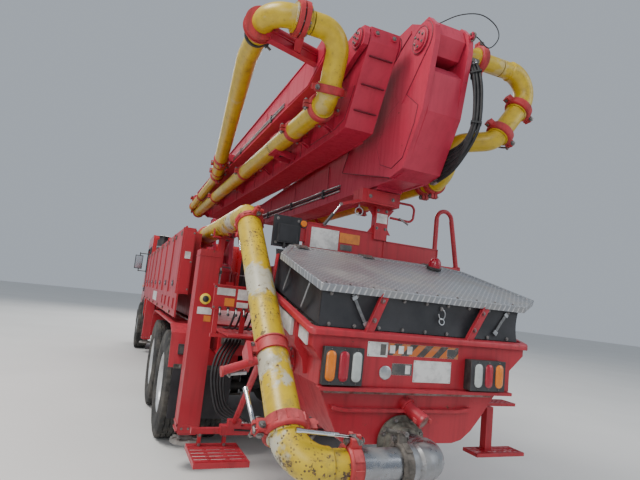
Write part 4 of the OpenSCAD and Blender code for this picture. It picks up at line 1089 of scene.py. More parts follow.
def section_two():
    b = Build()
    R = "red_boom"
    for x, s in ((-0.060, 1), (-0.290, -1)):
        b.prism(teardrop(-7.4, 3.35, 0.115, (-7.0, 3.35), w=1.0), x, x + s * 0.006, R)
        edge_strip(b, B_OUT, min(x - 0.01 * s, x + 0.010 * s), max(x - 0.01 * s, x + 0.010 * s), 0.010, R, lo=2, hi=4)
        edge_strip(b, B_OUT, min(x - 0.01 * s, x + 0.010 * s), max(x - 0.01 * s, x + 0.010 * s), 0.010, R, lo=8, hi=10)
        for y in (-1.5, -2.6, -3.6, -4.6, -5.6, -6.6):
            weld(b, [(x + 0.001 * s, y, 3.21), (x + 0.001 * s, y - 0.03, 3.50)], 0.003)
        b.prism([(-0.56, 3.66), (-0.90, 3.64), (-1.48, 3.56), (-1.48, 3.24), (-0.78, 3.29), (-0.58, 3.40)], x, x + s * 0.005, R)
    pin_boss(b, -0.295, -7.4, 3.35, -1, 0.070, R)
    b.cyl(V(-0.058, -7.4, 3.35), V(-0.040, -7.4, 3.35), 0.100, R, 40)
    for i in range(3):
        b.bolt(V(-0.175 + 0.05 * (i - 1), -0.60, 3.716), (0, 0, 1), 0.010, 0.010)
    # valve block and short hoses on the top near the knuckle
    b.box((-0.255, -1.22, 3.655), (-0.095, -1.05, 3.73), "cast")
    for i in range(4):
        x = -0.235 + 0.04 * i
        b.sweep(spline([V(x, -1.05, 3.69), V(x, -0.95, 3.735), V(x - 0.01, -0.80, 3.735), V(x, -0.68, 3.715)], 6), 0.010, "hose", 8)
    # thin loose cable at the top right
    pts = VV([(-0.200, -0.45, 3.70), (-0.30, -0.30, 3.735), (-0.42, -0.20, 3.728), (-0.53, -0.16, 3.66), (-0.56, -0.15, 3.56), (-0.49, -0.17, 3.47), (-0.40, -0.22, 3.56), (-0.30, -0.33, 3.585)])
    LOOSE_CABLE.extend(spline(pts, 8))
    b.make("section_2_details", "section_2", "red_paint", smooth_angle=40)


section_two()


def section_three():
    b = Build()
    R = "red_boom"
    for x, s in ((0.350, 1), (0.110, -1)):
        b.prism(teardrop(-7.4, 3.35, 0.115, (-7.0, 3.22), w=1.0), x, x + s * 0.006, R)
        edge_strip(b, C_OUT, min(x - 0.01 * s, x + 0.012 * s), max(x - 0.01 * s, x + 0.012 * s), 0.010, R, lo=3, hi=5)
        edge_strip(b, C_OUT, min(x - 0.01 * s, x + 0.012 * s), max(x - 0.01 * s, x + 0.012 * s), 0.010, R, lo=12, hi=14)
        for y in (-1.7, -2.6, -3.4, -4.4, -5.4, -6.4):
            weld(b, [(x + 0.001 * s, y, 2.83), (x + 0.001 * s, y - 0.03, 3.24)], 0.003)
        pl = [(-0.50, 3.40), (-0.72, 2.96), (-0.92, 2.88), (-1.45, 2.88), (-1.45, 3.20), (-1.22, 3.22), (-0.93, 3.37), (-0.78, 3.48), (-0.55, 3.49)]
        if s > 0:
            pl = [(-0.62, 3.12), (-0.76, 2.90), (-0.92, 2.87), (-1.45, 2.88), (-1.45, 3.15), (-1.10, 3.18)]
        b.prism(pl, x, x + s * 0.006, R)
        weld(b, [(x + 0.001 * s, y, z) for y, z in pl + pl[:1]], 0.0035)
    pin_boss(b, 0.104, -0.52, 3.43, -1, 0.055, R)
    pin_boss(b, 0.364, -7.4, 3.35, 1, 0.070, R)
    # end face between the webs: ribs in the darkened weld colour, which also paints the shade along them, and pins
    for z, y in ((3.30, -0.475), (3.12, -0.565), (2.95, -0.655)):
        b.box((0.135, y - 0.006, z - 0.004), (0.325, y + 0.012, z + 0.004), "weld")
    for x, z, y in ((0.16, 3.46, -0.435), (0.30, 3.46, -0.435)):
        b.cyl(V(x, y - 0.01, z), V(x, y + 0.012, z), 0.024, R, 24)
        b.bolt(V(x, y + 0.012, z), (0, 1, 0), 0.012, 0.009)
    # brackets that hold the pipe: forked plates with a strap
    for y in (-6.8, -5.4, -4.0, -2.7, -1.5, -0.98):
        for d in (-0.028, 0.028):
            b.prism([(0.350, 2.86), (0.350, 3.04), (0.430, 3.03), (0.452, 2.98), (0.452, 2.955), (0.430, 2.905)], y + d - 0.005, y + d + 0.005, R, axis="y")
        b.ring(V(0.525, y, 2.97), (0, 1, 0), 0.067, 0.076, 0.045, "red_clamp" if y < -2 else "rubber", 32)
        for s in (-1, 1):
            b.box((0.44, y - 0.022, 2.97 + s * 0.074 - 0.008), (0.50, y + 0.022, 2.97 + s * 0.074 + 0.008), "red_clamp")
            b.bolt(V(0.465, y, 2.97 + s * 0.082), (0, 0, s), 0.010, 0.010)
    # Y-shaped stay from the web to the pipe, with the black strap
    for y in (-1.86, -2.02):
        b.strip(V(0.352, y, 3.19), V(0.530, y, 3.052), 0.085, 0.016, R, up=(0, 1, 0))
        b.strip(V(0.352, y, 2.86), V(0.520, y, 2.888), 0.060, 0.016, R, up=(0, 1, 0))
    for y0, y1 in ((-2.05, -1.83),):
        b.box((0.475, y0, 3.043), (0.575, y1, 3.058), R)
        b.box((0.475, y0, 2.882), (0.575, y1, 2.897), R)
    b.ring(V(0.525, -1.895, 2.97), (0, 1, 0), 0.067, 0.080, 0.150, R, 40)
    b.ring(V(0.525, -2.000, 2.97), (0, 1, 0), 0.067, 0.083, 0.045, "rubber", 40)
    b.strip(V(0.352, -2.000, 2.93), V(0.480, -2.000, 2.905), 0.05, 0.030, "rubber", up=(0, 1, 0))
    b.make("section_3_details", "section_3", "red_paint", smooth_angle=40)
    # hose bunch on the end, looping to the fourth section's root
    c = Build()
    for k in range(5):
        o = 0.020 * k
        pts = [V(0.16 + o, -1.05, 3.36 + 0.01 * k), V(0.165 + o, -0.98, 3.50), V(0.175 + o, -0.86, 3.575 + 0.004 * k), V(0.19 + o, -0.70, 3.572), V(0.20 + o * 0.8, -0.60, 3.552)]
        c.sweep(spline(pts, 7), 0.0095, "hose", 10)
    c.box((0.150, -1.085, 3.30), (0.280, -1.035, 3.365), "cast")
    for dz in (0.0, 0.026, 0.052):
        c.sweep(VV([(0.362, -6.9, 3.05 + dz), (0.362, -1.55, 3.05 + dz)]), 0.008, "steel" if dz else "hose", 8)
    for y in (-6.2, -4.9, -3.7, -2.4):
        c.box((0.351, y - 0.02, 3.035), (0.374, y + 0.02, 3.118), "plastic")
    c.make("section_3_hoses", "section_3", "rubber", smooth_angle=50)


section_three()


def section_four():
    b = Build()
    R = "red_boom"
    # bar from the fourth section's root to the swivel clamp, with its V strut
    p, q = V(0.585, -0.868, 3.350), V(1.020, -0.716, 3.350)
    d = (q - p)
    n = d.normalized().cross(Vector((0, 0, 1)))
    b.obox((p + q) / 2, d / 2, n * 0.024, Vector((0, 0, 0.031)), R)
    for s in (-1, 1):
        b.obox((p + q) / 2 + Vector((0, 0, 0.031 * s)), d / 2, n * 0.034, Vector((0, 0, 0.004)), R)
    m = p.lerp(q, 0.44)
    for e in (-0.022, 0.022):
        b.strip(m + Vector((0, 0, e)), V(0.840, -0.545, 3.330 + e), 0.056, 0.008, R, up=(0, 0, 1))
    b.strip(m, V(0.840, -0.545, 3.330), 0.030, 0.044, R, up=(0, 0, 1))
    b.strip(q - d * 0.04, V(1.078, -0.735, 3.385), 0.065, 0.030, R, up=(0, 0, 1))
    b.ring(V(1.0835, -0.745, 3.4305), (-0.045, -1, 0.012), 0.060, 0.118, 0.060, "red_clamp", 44)
    for s in (-1, 1):
        b.ring(V(1.0835, -0.745 + 0.030 * s, 3.4305), (-0.045, -1, 0.012), 0.060, 0.126, 0.012, "red_clamp", 44)
    b.ring(V(1.0755, -0.905, 3.4325), (-0.045, -1, 0.012), 0.060, 0.0915, 0.024, "rubber", 40)
    b.obox(V(1.000, -0.905, 3.385), Vector((0.020, 0, 0.012)), Vector((0, 0.012, 0)), Vector((-0.010, 0, 0.016)), "rubber")
    b.cyl(V(0.985, -0.905, 3.372), V(0.955, -0.905, 3.350), 0.010, "cast", 10)
    b.bolt(V(1.012, -0.845, 3.405), (-1, 0, -0.3), 0.012, 0.030)
    # root plates with the hinge pin
    for x, s in ((0.590, 1),):
        b.prism([(-0.70, 3.33), (-0.70, 3.42), (-0.74, 3.49), (-1.0, 3.44), (-1.5, 3.42), (-1.5, 3.21), (-1.0, 3.20)], x, x + 0.006, R)
        weld(b, [(x + 0.001, -1.5, 3.21), (x + 0.001, -1.5, 3.42)], 0.003)
    pin_boss(b, 0.404, -0.52, 3.43, 1, 0.042, R)
    edge_strip(b, D_OUT, 0.412, 0.602, 0.010, R, lo=3, hi=4)
    for y in (-2.2, -3.1, -4.1, -5.1, -6.1):
        for x, s in ((0.590, 1), (0.420, -1)):
            weld(b, [(x + 0.001 * s, y, 3.20), (x + 0.001 * s, y - 0.02, 3.37)], 0.003)
    # arms that hold the pipe, flat plates in pairs, and saddles
    for y, xp, zp in ((-3.75, 0.751, 3.218), (-4.45, 0.666, 3.155)):
        for dy in (-0.026, 0.026):
            b.strip(V(0.588, y + dy, 3.250), V(xp - 0.055, y + dy, zp + 0.035), 0.090, 0.014, R, up=(0, 1, 0))
        clamp_ring(b, V(xp, y, zp), (0.12, -1, -0.0906), 0.0600, 0.090, 0.034, side=(0.2, 0, 1))
        b.box((xp - 0.098, y - 0.03, zp + 0.012), (xp - 0.060, y + 0.03, zp + 0.055), "red_clamp")
        b.bolt(V(xp - 0.079, y, zp + 0.055), (0, 0, 1), 0.011, 0.012)
    for y, z in ((-5.9, 3.07), (-6.8, 3.04)):
        b.ring(V(0.66, y, z), (0, 1, 0), 0.0595, 0.070, 0.05, "red_clamp", 32)
    # tip of the boom: end plate, blank marker plates
    b.box((0.425, -7.064, 3.205), (0.585, -7.056, 3.315), R)
    b.box((0.5905, -6.60, 3.235), (0.5925, -6.10, 3.300), "label")
    b.make("section_4_details", "section_4", "red_paint", smooth_angle=40)
    c = Build()
    # end hose clip at the boom's tip
    for dz in (0.0, 0.024):
        c.sweep(VV([(0.598, -6.6, 3.215 + dz), (0.598, -1.6, 3.235 + dz)]), 0.007, "steel", 8)
    for y in (-2.0, -3.3, -4.9, -6.2):
        c.box((0.5905, y - 0.018, 3.206), (0.608, y + 0.018, 3.275), "plastic")
    c.make("section_4_lines", "section_4", "cast_metal", smooth_angle=50)


section_four()


def cylinders():
    """Caps, glands, ports and eye rings of the four boom cylinders, on their barrels and rods."""
    rows = [((-0.175, -8.15, 2.2), (-7.15, 2.64), 0.062, 0.038, 0.90, 0.0405), ((-0.175, -3.4, 3.08), (-1.95, 3.084), 0.055, 0.034, 1.05, 0.0305),
            ((-0.175, -3.8, 3.71), (-6.4, 3.64), 0.048, 0.028, 2.10, 0.0285), ((0.23, -3.5, 3.385), (-2.3, 3.378), 0.044, 0.026, 0.80, 0.0255)]
    for i, (p, e, R, r, L, pr) in enumerate(rows, 1):
        a = V(*p)
        z = V(p[0], e[0], e[1])
        d = (z - a).normalized()
        b = Build()
        b.ring(a + d * (L - 0.035), d, R - 0.004, R + 0.0035, 0.066, "red_boom", 40)
        b.ring(a + d * (L + 0.001), d, r + 0.002, R - 0.004, 0.010, "cast", 40)
        b.ring(a + d * (pr + 0.045), d, R - 0.004, R + 0.0035, 0.045, "red_boom", 40)
        up = Vector((1, 0, 0)).cross(d)
        if up.z < 0:
            up = -up
        if i == 3:
            up = Vector((1, 0, 0))
        for f in (pr + 0.075, L - 0.085):
            q = a + d * f + up * (R - 0.004)
            b.obox(q + up * 0.010, d * 0.020, up.cross(d) * 0.018, up * 0.012, "red_boom")
            b.cyl(q + up * 0.02, q + up * 0.036, 0.010, "steel", 12)
        b.sweep([a + d * (pr + 0.075) + up * (R + 0.022), a + d * (pr + 0.14) + up * (R + 0.018), a + d * (L - 0.14) + up * (R + 0.018), a + d * (L - 0.085) + up * (R + 0.022)], 0.0075, "steel", 10)
        b.make("lift_barrel_%d_details" % i, "barrel_%d" % i, "red_paint", smooth_angle=40)
        c = Build()
        for s in (-1, 1):
            c.ring(z + Vector((s * 0.0315, 0, 0)), (1, 0, 0), pr - 0.004, pr + 0.012, 0.003, "cast", 36)
        c.ring(z - d * (pr + 0.030), d, r - 0.002, r + 0.008, 0.022, "cast", 32)
        c.make("lift_rod_%d_details" % i, "rod_%d" % i, "chrome", smooth_angle=40)
        NODES["lift_rod_%d" % i].data.materials.clear()
        NODES["lift_rod_%d" % i].data.materials.append(M["rod"])


cylinders()

# ------------------------------------------------------------------ wheels
def tyre(b, c, s, drive=True):
    """Truck tyre about the X axis at the centre c; s, the side its outer face looks to, is not used."""
    R = 0.525
    half = [(0.100, 0.2865), (0.108, 0.290), (0.121, 0.300), (0.131, 0.322), (0.1365, 0.352), (0.1385, 0.3525), (0.140, 0.366), (0.1400, 0.410),
            (0.1385, 0.446), (0.136, 0.4465), (0.1335, 0.470), (0.1285, 0.494), (0.125, 0.503), (0.121, 0.5155), (0.116, 0.5205)]
    tread = [(0.112, 0.5215), (0.080, 0.5240), (0.078, 0.5100), (0.068, 0.5100), (0.066, 0.5245), (0.032, 0.5250), (0.030, 0.5105), (0.020, 0.5105), (0.018, 0.5250), (0.0, 0.5250)]
    prof = [(-x, r) for x, r in half + tread] + [(x, r) for x, r in (half + tread)[::-1][1:]]
    n = 168
    vs, fs = [], []
    k = len(prof)
    c = Vector(c)
    for i in range(n):
        ph = i % 6
        for j, (x, r) in enumerate(prof):
            a = 2 * math.pi * i / n
            ax = abs(x)
            if ax > 0.079 and 0.49 < r < 0.5245 and ax < 0.130 and ph in (0, 1):
                r -= 0.011 if ax > 0.1 else 0.009
            if drive and 0.031 < ax < 0.067 and r > 0.52 and ph in (3, 4):
                r -= 0.008
            if 0.017 < ax < 0.034 or 0.064 < ax < 0.082:
                x += 0.0035 * (1 if (i // 3) % 2 else -1)
            vs.append(c + Vector((x, math.cos(a) * r, math.sin(a) * r)))
    for i in range(n):
        e = (i + 1) % n
        for j in range(k - 1):
            fs.append((i * k + j, e * k + j, e * k + j + 1, i * k + j + 1))
    b.add(vs, fs, "tyre")


def disc(b, c, s, x0, mat="wheel_disc", nuts=10, dish=1):
    """Steel rim and disc; x0 is the disc's place along X from the centre towards side s."""
    c = Vector(c)
    ax = Vector((s, 0, 0))
    rim = [(0.2855, -0.112), (0.293, -0.118), (0.293, -0.110), (0.280, -0.102), (0.266, -0.070), (0.262, -0.02), (0.262, 0.03), (0.268, 0.085),
           (0.280, 0.102), (0.293, 0.108), (0.296, 0.116), (0.286, 0.119), (0.272, 0.108), (0.258, 0.092), (0.252, 0.03), (0.252, -0.03), (0.256, -0.08), (0.272, -0.112)]
    b.lathe(c, ax, rim, mat, 64, closed=True)
    d = c + ax * x0
    # outer ring of the disc, then spokes between the hand holes, then the hub plate
    b.lathe(d, ax, [(0.236, -0.030 * dish), (0.256, -0.045 * dish), (0.256, -0.036 * dish), (0.236, -0.020 * dish)], mat, 64, closed=True)
    n = 10
    for i in range(n):
        a0 = 2 * math.pi * (i + 0.20) / n
        a1 = 2 * math.pi * (i + 0.80) / n
        b.lathe(d, ax, [(0.186, -0.008), (0.215, -0.016 * dish), (0.238, -0.031 * dish), (0.238, -0.021 * dish), (0.215, -0.004 * dish), (0.186, 0.003)], mat, 5, hint=(0, 0, 1), closed=True, a0=a0 - 0.0, a1=a1)
    b.lathe(d, ax, [(0.100, -0.012), (0.188, -0.010), (0.188, 0.004), (0.176, 0.008), (0.140, 0.006), (0.100, 0.008)], mat, 48, closed=True)
    b.lathe(d, ax, [(0.118, -0.02), (0.118, 0.045), (0.110, 0.055), (0.080, 0.060), (0.078, 0.085), (0.060, 0.092), (0.0001, 0.094)], "hub_dark", 40)
    for i in range(nuts):
        a = 2 * math.pi * (i + 0.5) / nuts
        q = d + Vector((0, math.cos(a), math.sin(a))) * 0.1475
        b.cyl(q + ax * 0.006, q + ax * 0.012, 0.019, "bolt", 14)
        b.lathe(q + ax * 0.012, ax, [(0.0155, 0.0), (0.0155, 0.020), (0.013, 0.023)], "bolt", 6)
        b.cyl(q + ax * 0.03, q + ax * 0.043, 0.0085, "bolt", 10)
    # valve stem
    q = d + Vector((0, 0.0, 0.222))
    b.cyl(q - ax * 0.02, q + ax * 0.03, 0.004, "steel", 8)


M["wheel_disc"] = simple("silver_wheel_paint", (0.36, 0.37, 0.38), (0.56, 0.57, 0.58), 0.38, metal=0.35, scale=7.0)
M["hub_dark"] = simple("hub_dark_grease", (0.05, 0.045, 0.04), (0.16, 0.14, 0.12), 0.5, metal=0.3, scale=16.0)
for side, s in (("left", 1), ("right", -1)):
    b = Build()
    c = V(s * 1.09, -9.7, 0.525)
    tyre(b, c, s, drive=False)
    disc(b, c, s, 0.030, dish=1)
    b.lathe(c, (s, 0, 0), [(0.10, -0.11), (0.17, -0.105), (0.19, -0.06), (0.20, 0.0), (0.10, 0.01)], "cast", 40, closed=True)
    o = b.make("front_wheel_%s_detailed" % side, "front_wheel_%s" % side, "tyre", smooth_angle=38)
    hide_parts("front_wheel_%s" % side)
    for i, y in ((1, -4.1), (2, -2.73)):
        b = Build()
        ctr = V(0, y, 0.525)
        for x in (1.11, 0.78):
            tyre(b, ctr + Vector((s * x, 0, 0)), s)
        c = ctr + Vector((s * 1.11, 0, 0))
        disc(b, c, s, -0.115, nuts=10, dish=-1)
        c2 = ctr + Vector((s * 0.78, 0, 0))
        rim = [(0.2855, -0.112), (0.293, -0.118), (0.280, -0.102), (0.262, -0.02), (0.262, 0.03), (0.280, 0.102), (0.293, 0.108), (0.286, 0.119), (0.252, 0.03), (0.252, -0.03)]
        b.lathe(c2, (s, 0, 0), rim, "wheel_disc", 64, closed=True)
        b.lathe(c2, (s, 0, 0), [(0.19, 0.06), (0.255, 0.04), (0.255, 0.05), (0.19, 0.13)], "wheel_disc", 48, closed=True)
        # hub and brake drum inside
        b.lathe(ctr, (s, 0, 0), [(0.085, 0.58), (0.205, 0.58), (0.205, 0.80), (0.185, 0.90), (0.125, 0.93), (0.125, 1.04), (0.085, 1.06)], "hub_dark", 48, closed=True)
        o = b.make("rear_wheels_%d_%s_detailed" % (i, side), "rear_wheels_%d_%s" % (i, side), "tyre", smooth_angle=38)
        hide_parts("rear_wheels_%d_%s" % (i, side))

# ------------------------------------------------------------------ hopper, guard, lid, lamps
SL = math.radians(18)
LY, LZ = 0.022, 1.600


def lidp(x, s, h=0.0):
    """Point on the lid: s from its rear edge up the slope, h above its plate."""
    return V(x, LY - s * math.cos(SL) + h * math.sin(SL), LZ + s * math.sin(SL) + h * math.cos(SL))


LID = [(-0.780, 0.0), (0.720, 0.0), (0.790, 0.630), (0.640, 0.940), (-0.740, 0.940), (-0.900, 0.860), (-1.060, 0.210)]


def inset(poly, d):
    """Polygon moved in by d; the polygon turns anticlockwise or clockwise."""
    n = len(poly)
    area = sum(poly[i][0] * poly[(i + 1) % n][1] - poly[(i + 1) % n][0] * poly[i][1] for i in range(n))
    sg = 1 if area > 0 else -1
    out = []
    for i in range(n):
        p, q, r = Vector(poly[i - 1]), Vector(poly[i]), Vector(poly[(i + 1) % n])
        a, c = (q - p).normalized(), (r - q).normalized()
        na, nc = Vector((-a.y, a.x)) * sg, Vector((-c.y, c.x)) * sg
        m = (na + nc)
        m = m / max(0.3, m.dot(na)) if m.length > 1e-6 else na
        out.append(tuple(q + m * d))
    return out


def lid_piece():
    b = Build()
    n = len(LID)
    IN = inset(LID, 0.034)
    IN2 = inset(LID, 0.046)
    rings = [[lidp(x, s, -0.040) for x, s in LID], [lidp(x, s, 0.000) for x, s in LID], [lidp(x, s, 0.004) for x, s in inset(LID, 0.004)],
             [lidp(x, s, 0.004) for x, s in IN], [lidp(x, s, -0.003) for x, s in IN2]]
    vs = [p for r in rings for p in r]
    fs = []
    for k in range(len(rings) - 1):
        for i in range(n):
            j = (i + 1) % n
            fs.append((k * n + i, k * n + j, (k + 1) * n + j, (k + 1) * n + i))
    fs.append(tuple((len(rings) - 1) * n + i for i in range(n)))
    # underside
    low = [lidp(x, s, -0.040) for x, s in inset(LID, 0.005)]
    low2 = [lidp(x, s, -0.008) for x, s in inset(LID, 0.006)]
    base = len(vs)
    vs += low + low2
    for i in range(n):
        j = (i + 1) % n
        fs.append((i, j, base + j, base + i))
        fs.append((base + i, base + j, base + n + j, base + n + i))
    fs.append(tuple(base + n + i for i in range(n))[::-1])
    b.add(vs, fs, "tread")
    # ribs below and hinge barrels on the front edge
    for x in (-0.45, 0.0, 0.40):
        b.hexa([lidp(x - 0.02, 0.06, -0.034), lidp(x + 0.02, 0.06, -0.034), lidp(x + 0.02, 0.90, -0.034), lidp(x - 0.02, 0.90, -0.034),
                lidp(x - 0.02, 0.06, -0.006), lidp(x + 0.02, 0.06, -0.006), lidp(x + 0.02, 0.90, -0.006), lidp(x - 0.02, 0.90, -0.006)], "alu")
    for x in (-0.60, 0.0, 0.55):
        b.cyl(lidp(x - 0.055, 0.950, -0.004), lidp(x + 0.055, 0.950, -0.004), 0.013, "bolt", 14)
        b.hexa([lidp(x - 0.045, 0.86, 0.004), lidp(x + 0.045, 0.86, 0.004), lidp(x + 0.045, 0.95, 0.004), lidp(x - 0.045, 0.95, 0.004),
                lidp(x - 0.045, 0.86, 0.010), lidp(x + 0.045, 0.86, 0.010), lidp(x + 0.045, 0.95, 0.010), lidp(x - 0.045, 0.95, 0.010)], "bolt")
        for e in (-0.028, 0.028):
            b.bolt(lidp(x + e, 0.895, 0.010), lidp(0, 0, 1) - lidp(0, 0, 0), 0.009, 0.008)
    # small bolts along the lip
    for x in [-0.68 + 0.152 * i for i in range(10)]:
        b.bolt(lidp(x, 0.018, 0.004), lidp(0, 0, 1) - lidp(0, 0, 0), 0.0065, 0.006)
    o = b.make("hopper_lid_tread", "lid", "alu_plate", smooth_angle=30)
    # round red lamp with its base
    c = Build()
    p, up = lidp(-0.56, 0.80, 0.004), (lidp(0, 0, 1) - lidp(0, 0, 0)).normalized()
    c.lathe(p, up, [(0.058, 0.0), (0.058, 0.014), (0.052, 0.020)], "black", 32)
    c.lathe(p + up * 0.018, up, [(0.050, 0.0), (0.050, 0.020), (0.044, 0.045), (0.030, 0.066), (0.012, 0.076), (0.0001, 0.078)], "red_lens", 36)
    c.make("hopper_lid_lamp", "lid", "red_paint")
    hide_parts("hopper_lid")


lid_piece()

RZ, RA = 1.360, math.radians(14)


def rimz(y, h=0.0):
    return RZ - y * math.tan(RA) + h


def hopper_piece():
    b = Build()
    # bin walls as thick sheets between plan corners
    plan = [(0.760, -0.925), (0.735, 0.0), (-0.800, 0.0), (-0.830, -0.925)]
    ins = inset(plan, 0.010)
    n = 4

    def waist(x, z, w=0.0):
        """The side walls slope in below the rim, down to the waist over the trough."""
        if x > 0:
            return min(x, 0.672 - w + max(0.0, z - 1.175) * 0.118 / 0.145)
        return max(x, -0.690 + w - max(0.0, z - 1.175) * 0.160 / 0.145)

    def knee(x):
        return 1.175 + (x - 0.672) * 0.145 / 0.118 if x > 0 else 1.175 + (-x - 0.690) * 0.145 / 0.160
    # walls are cut into columns so that the sloping rim stays flat
    vs, fs = [], []
    for (x, y), (u, v) in zip(plan, ins):
        kz = knee(x)
        vs += [V(waist(x, 1.04), y, 1.040), V(waist(x, 1.175), y, 1.175), V(x, y, kz), V(x, y, rimz(y, -0.004)),
               V(u, v, rimz(v, -0.004)), V(u, v, kz), V(waist(x, 1.175, 0.010), v, 1.175), V(waist(x, 1.04, 0.010), v, 1.040)]
    for i in range(n):
        j = (i + 1) % n
        for a in range(8):
            e = (a + 1) % 8
            fs.append((i * 8 + a, j * 8 + a, j * 8 + e, i * 8 + e))
    b.add(vs, fs, "red")
    # rim flange: a rolled channel that stands out all round, rounded corners
    out, inn = inset(plan, -0.032), inset(plan, 0.009)
    corners = []
    for poly, r in ((out, 0.055), (inn, 0.020)):
        pts = []
        for i in range(n):
            p, q, w = Vector(poly[i - 1]), Vector(poly[i]), Vector(poly[(i + 1) % n])
            a, c = (p - q).normalized(), (w - q).normalized()
            for k in range(7):
                t = k / 6
                m = (q + a * r) * (1 - t) ** 2 + q * 2 * t * (1 - t) + (q + c * r) * t ** 2
                pts.append((m.x, m.y))
        corners.append(pts)
    k = len(corners[0])
    O, I = corners
    rings = [[V(x, y, rimz(y, -0.036)) for x, y in inset(O, 0.006)], [V(x, y, rimz(y, -0.036)) for x, y in O], [V(x, y, rimz(y, -0.006)) for x, y in O],
             [V(x, y, rimz(y, 0.0)) for x, y in inset(O, 0.006)], [V(x, y, rimz(y, 0.0)) for x, y in I], [V(x, y, rimz(y, -0.034)) for x, y in I], ]
    vs, fs = [p for r in rings for p in r], []
    for a in range(len(rings)):
        e = (a + 1) % len(rings)
        if a == len(rings) - 1:
            continue
        for i in range(k):
            j = (i + 1) % k
            fs.append((a * k + i, a * k + j, e * k + j, e * k + i))
    b.add(vs, fs, "red")
    # trough: outer shell
    sec = [(-0.688, 1.052), (-0.655, 1.045)] + [(-0.655 + 0.355 * t, 1.045 - 0.340 * math.sin(t * math.pi / 2) ** 1.15) for t in (0.2, 0.4, 0.6, 0.8)] + [(-0.300, 0.705), (0.430, 0.705)]
    sec += [(0.655 - 0.225 * t, 1.045 - 0.340 * math.sin(t * math.pi / 2) ** 1.15) for t in (0.8, 0.6, 0.4, 0.2)] + [(0.655, 1.045), (0.670, 1.052)]
    sec = [p for i, p in enumerate(sec) if i == 0 or (Vector(p) - Vector(sec[i - 1])).length > 1e-4]
    b.prism(sec, -0.050, -0.920, "red", axis="y")
    b.make("hopper_bin", "chassis", "red_paint", bevel=0.004, smooth_angle=38)
    # inside of the bin and the trough: sloped liner plates, dark with concrete film
    c = Build()
    top = inset(plan, 0.012)
    bot = [(0.52, -0.80), (0.52, -0.12), (-0.40, -0.12), (-0.40, -0.80)]
    vs = [V(x, y, rimz(y, -0.030)) for x, y in top] + [V(x, y, knee(x) + 0.010) for x, y in inset(plan, 0.013)]
    vs += [V(waist(x, 1.175, 0.014), y, 1.175) for x, y in inset(plan, 0.013)] + [V(waist(x, 1.06, 0.014), y, 1.060) for x, y in inset(plan, 0.013)]
    vs += [V(x, y, 0.860) for x, y in bot] + [V(x, y, 0.740) for x, y in inset(bot, 0.10)]
    fs = []
    for r in range(5):
        for i in range(4):
            j = (i + 1) % 4
            fs.append((r * 4 + i, r * 4 + j, (r + 1) * 4 + j, (r + 1) * 4 + i))
    fs.append((20, 21, 22, 23))
    c.add(vs, fs, "mortar")
    # agitator shaft with paddles
    c.cyl(V(-0.68, -0.48, 1.11), V(0.66, -0.48, 1.11), 0.032, "mortar", 18)
    for x, a in ((-0.55, 0.3), (-0.30, 1.9), (-0.05, 3.4), (0.20, 5.0), (0.45, 0.9)):
        d = Vector((0, math.cos(a), math.sin(a)))
        p = V(x, -0.48, 1.11)
        c.strip(p, p + d * 0.20, 0.03, 0.012, "mortar", up=(1, 0, 0))
        c.obox(p + d * 0.21, Vector((0.06, 0, 0)) + d.cross(Vector((1, 0, 0))) * 0.03, d * 0.045, Vector((0, 0.008, 0.008)), "mortar")
    # grate bars over the bin
    for i in range(15):
        x = -0.70 + 0.097 * i
        c.strip(V(x, -0.06, rimz(-0.06, -0.035)), V(x, -0.86, rimz(-0.86, -0.035)), 0.010, 0.035, "mortar")
    for y in (-0.20, -0.45, -0.70):
        c.cyl(V(-0.77, y, rimz(y, -0.04)), V(0.71, y, rimz(y, -0.04)), 0.008, "mortar", 8)
    c.make("hopper_inside", "chassis", "red_paint", smooth_angle=30)
    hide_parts("hopper")


def mortar_mat():
    g = Graph("dried_mortar_film")
    a = g.noise(4.0, 7, 0.7)
    f = g.noise(55.0, 5, 0.7)
    col = g.mix(g.ramp(a, [(0.44, 0.0), (0.60, 1.0)]), (0.20, 0.06, 0.05), (0.36, 0.35, 0.33))
    col = g.mix(g.ramp(f, [(0.50, 0.0), (0.60, 0.6)]), col, (0.27, 0.25, 0.23))
    return g.done(color=col, rough=0.88, metal=0.0, normal=g.bump(g.math("MULTIPLY_ADD", f, 0.5, a), 0.6, 0.006))


M["mortar"] = mortar_mat()
hopper_piece()


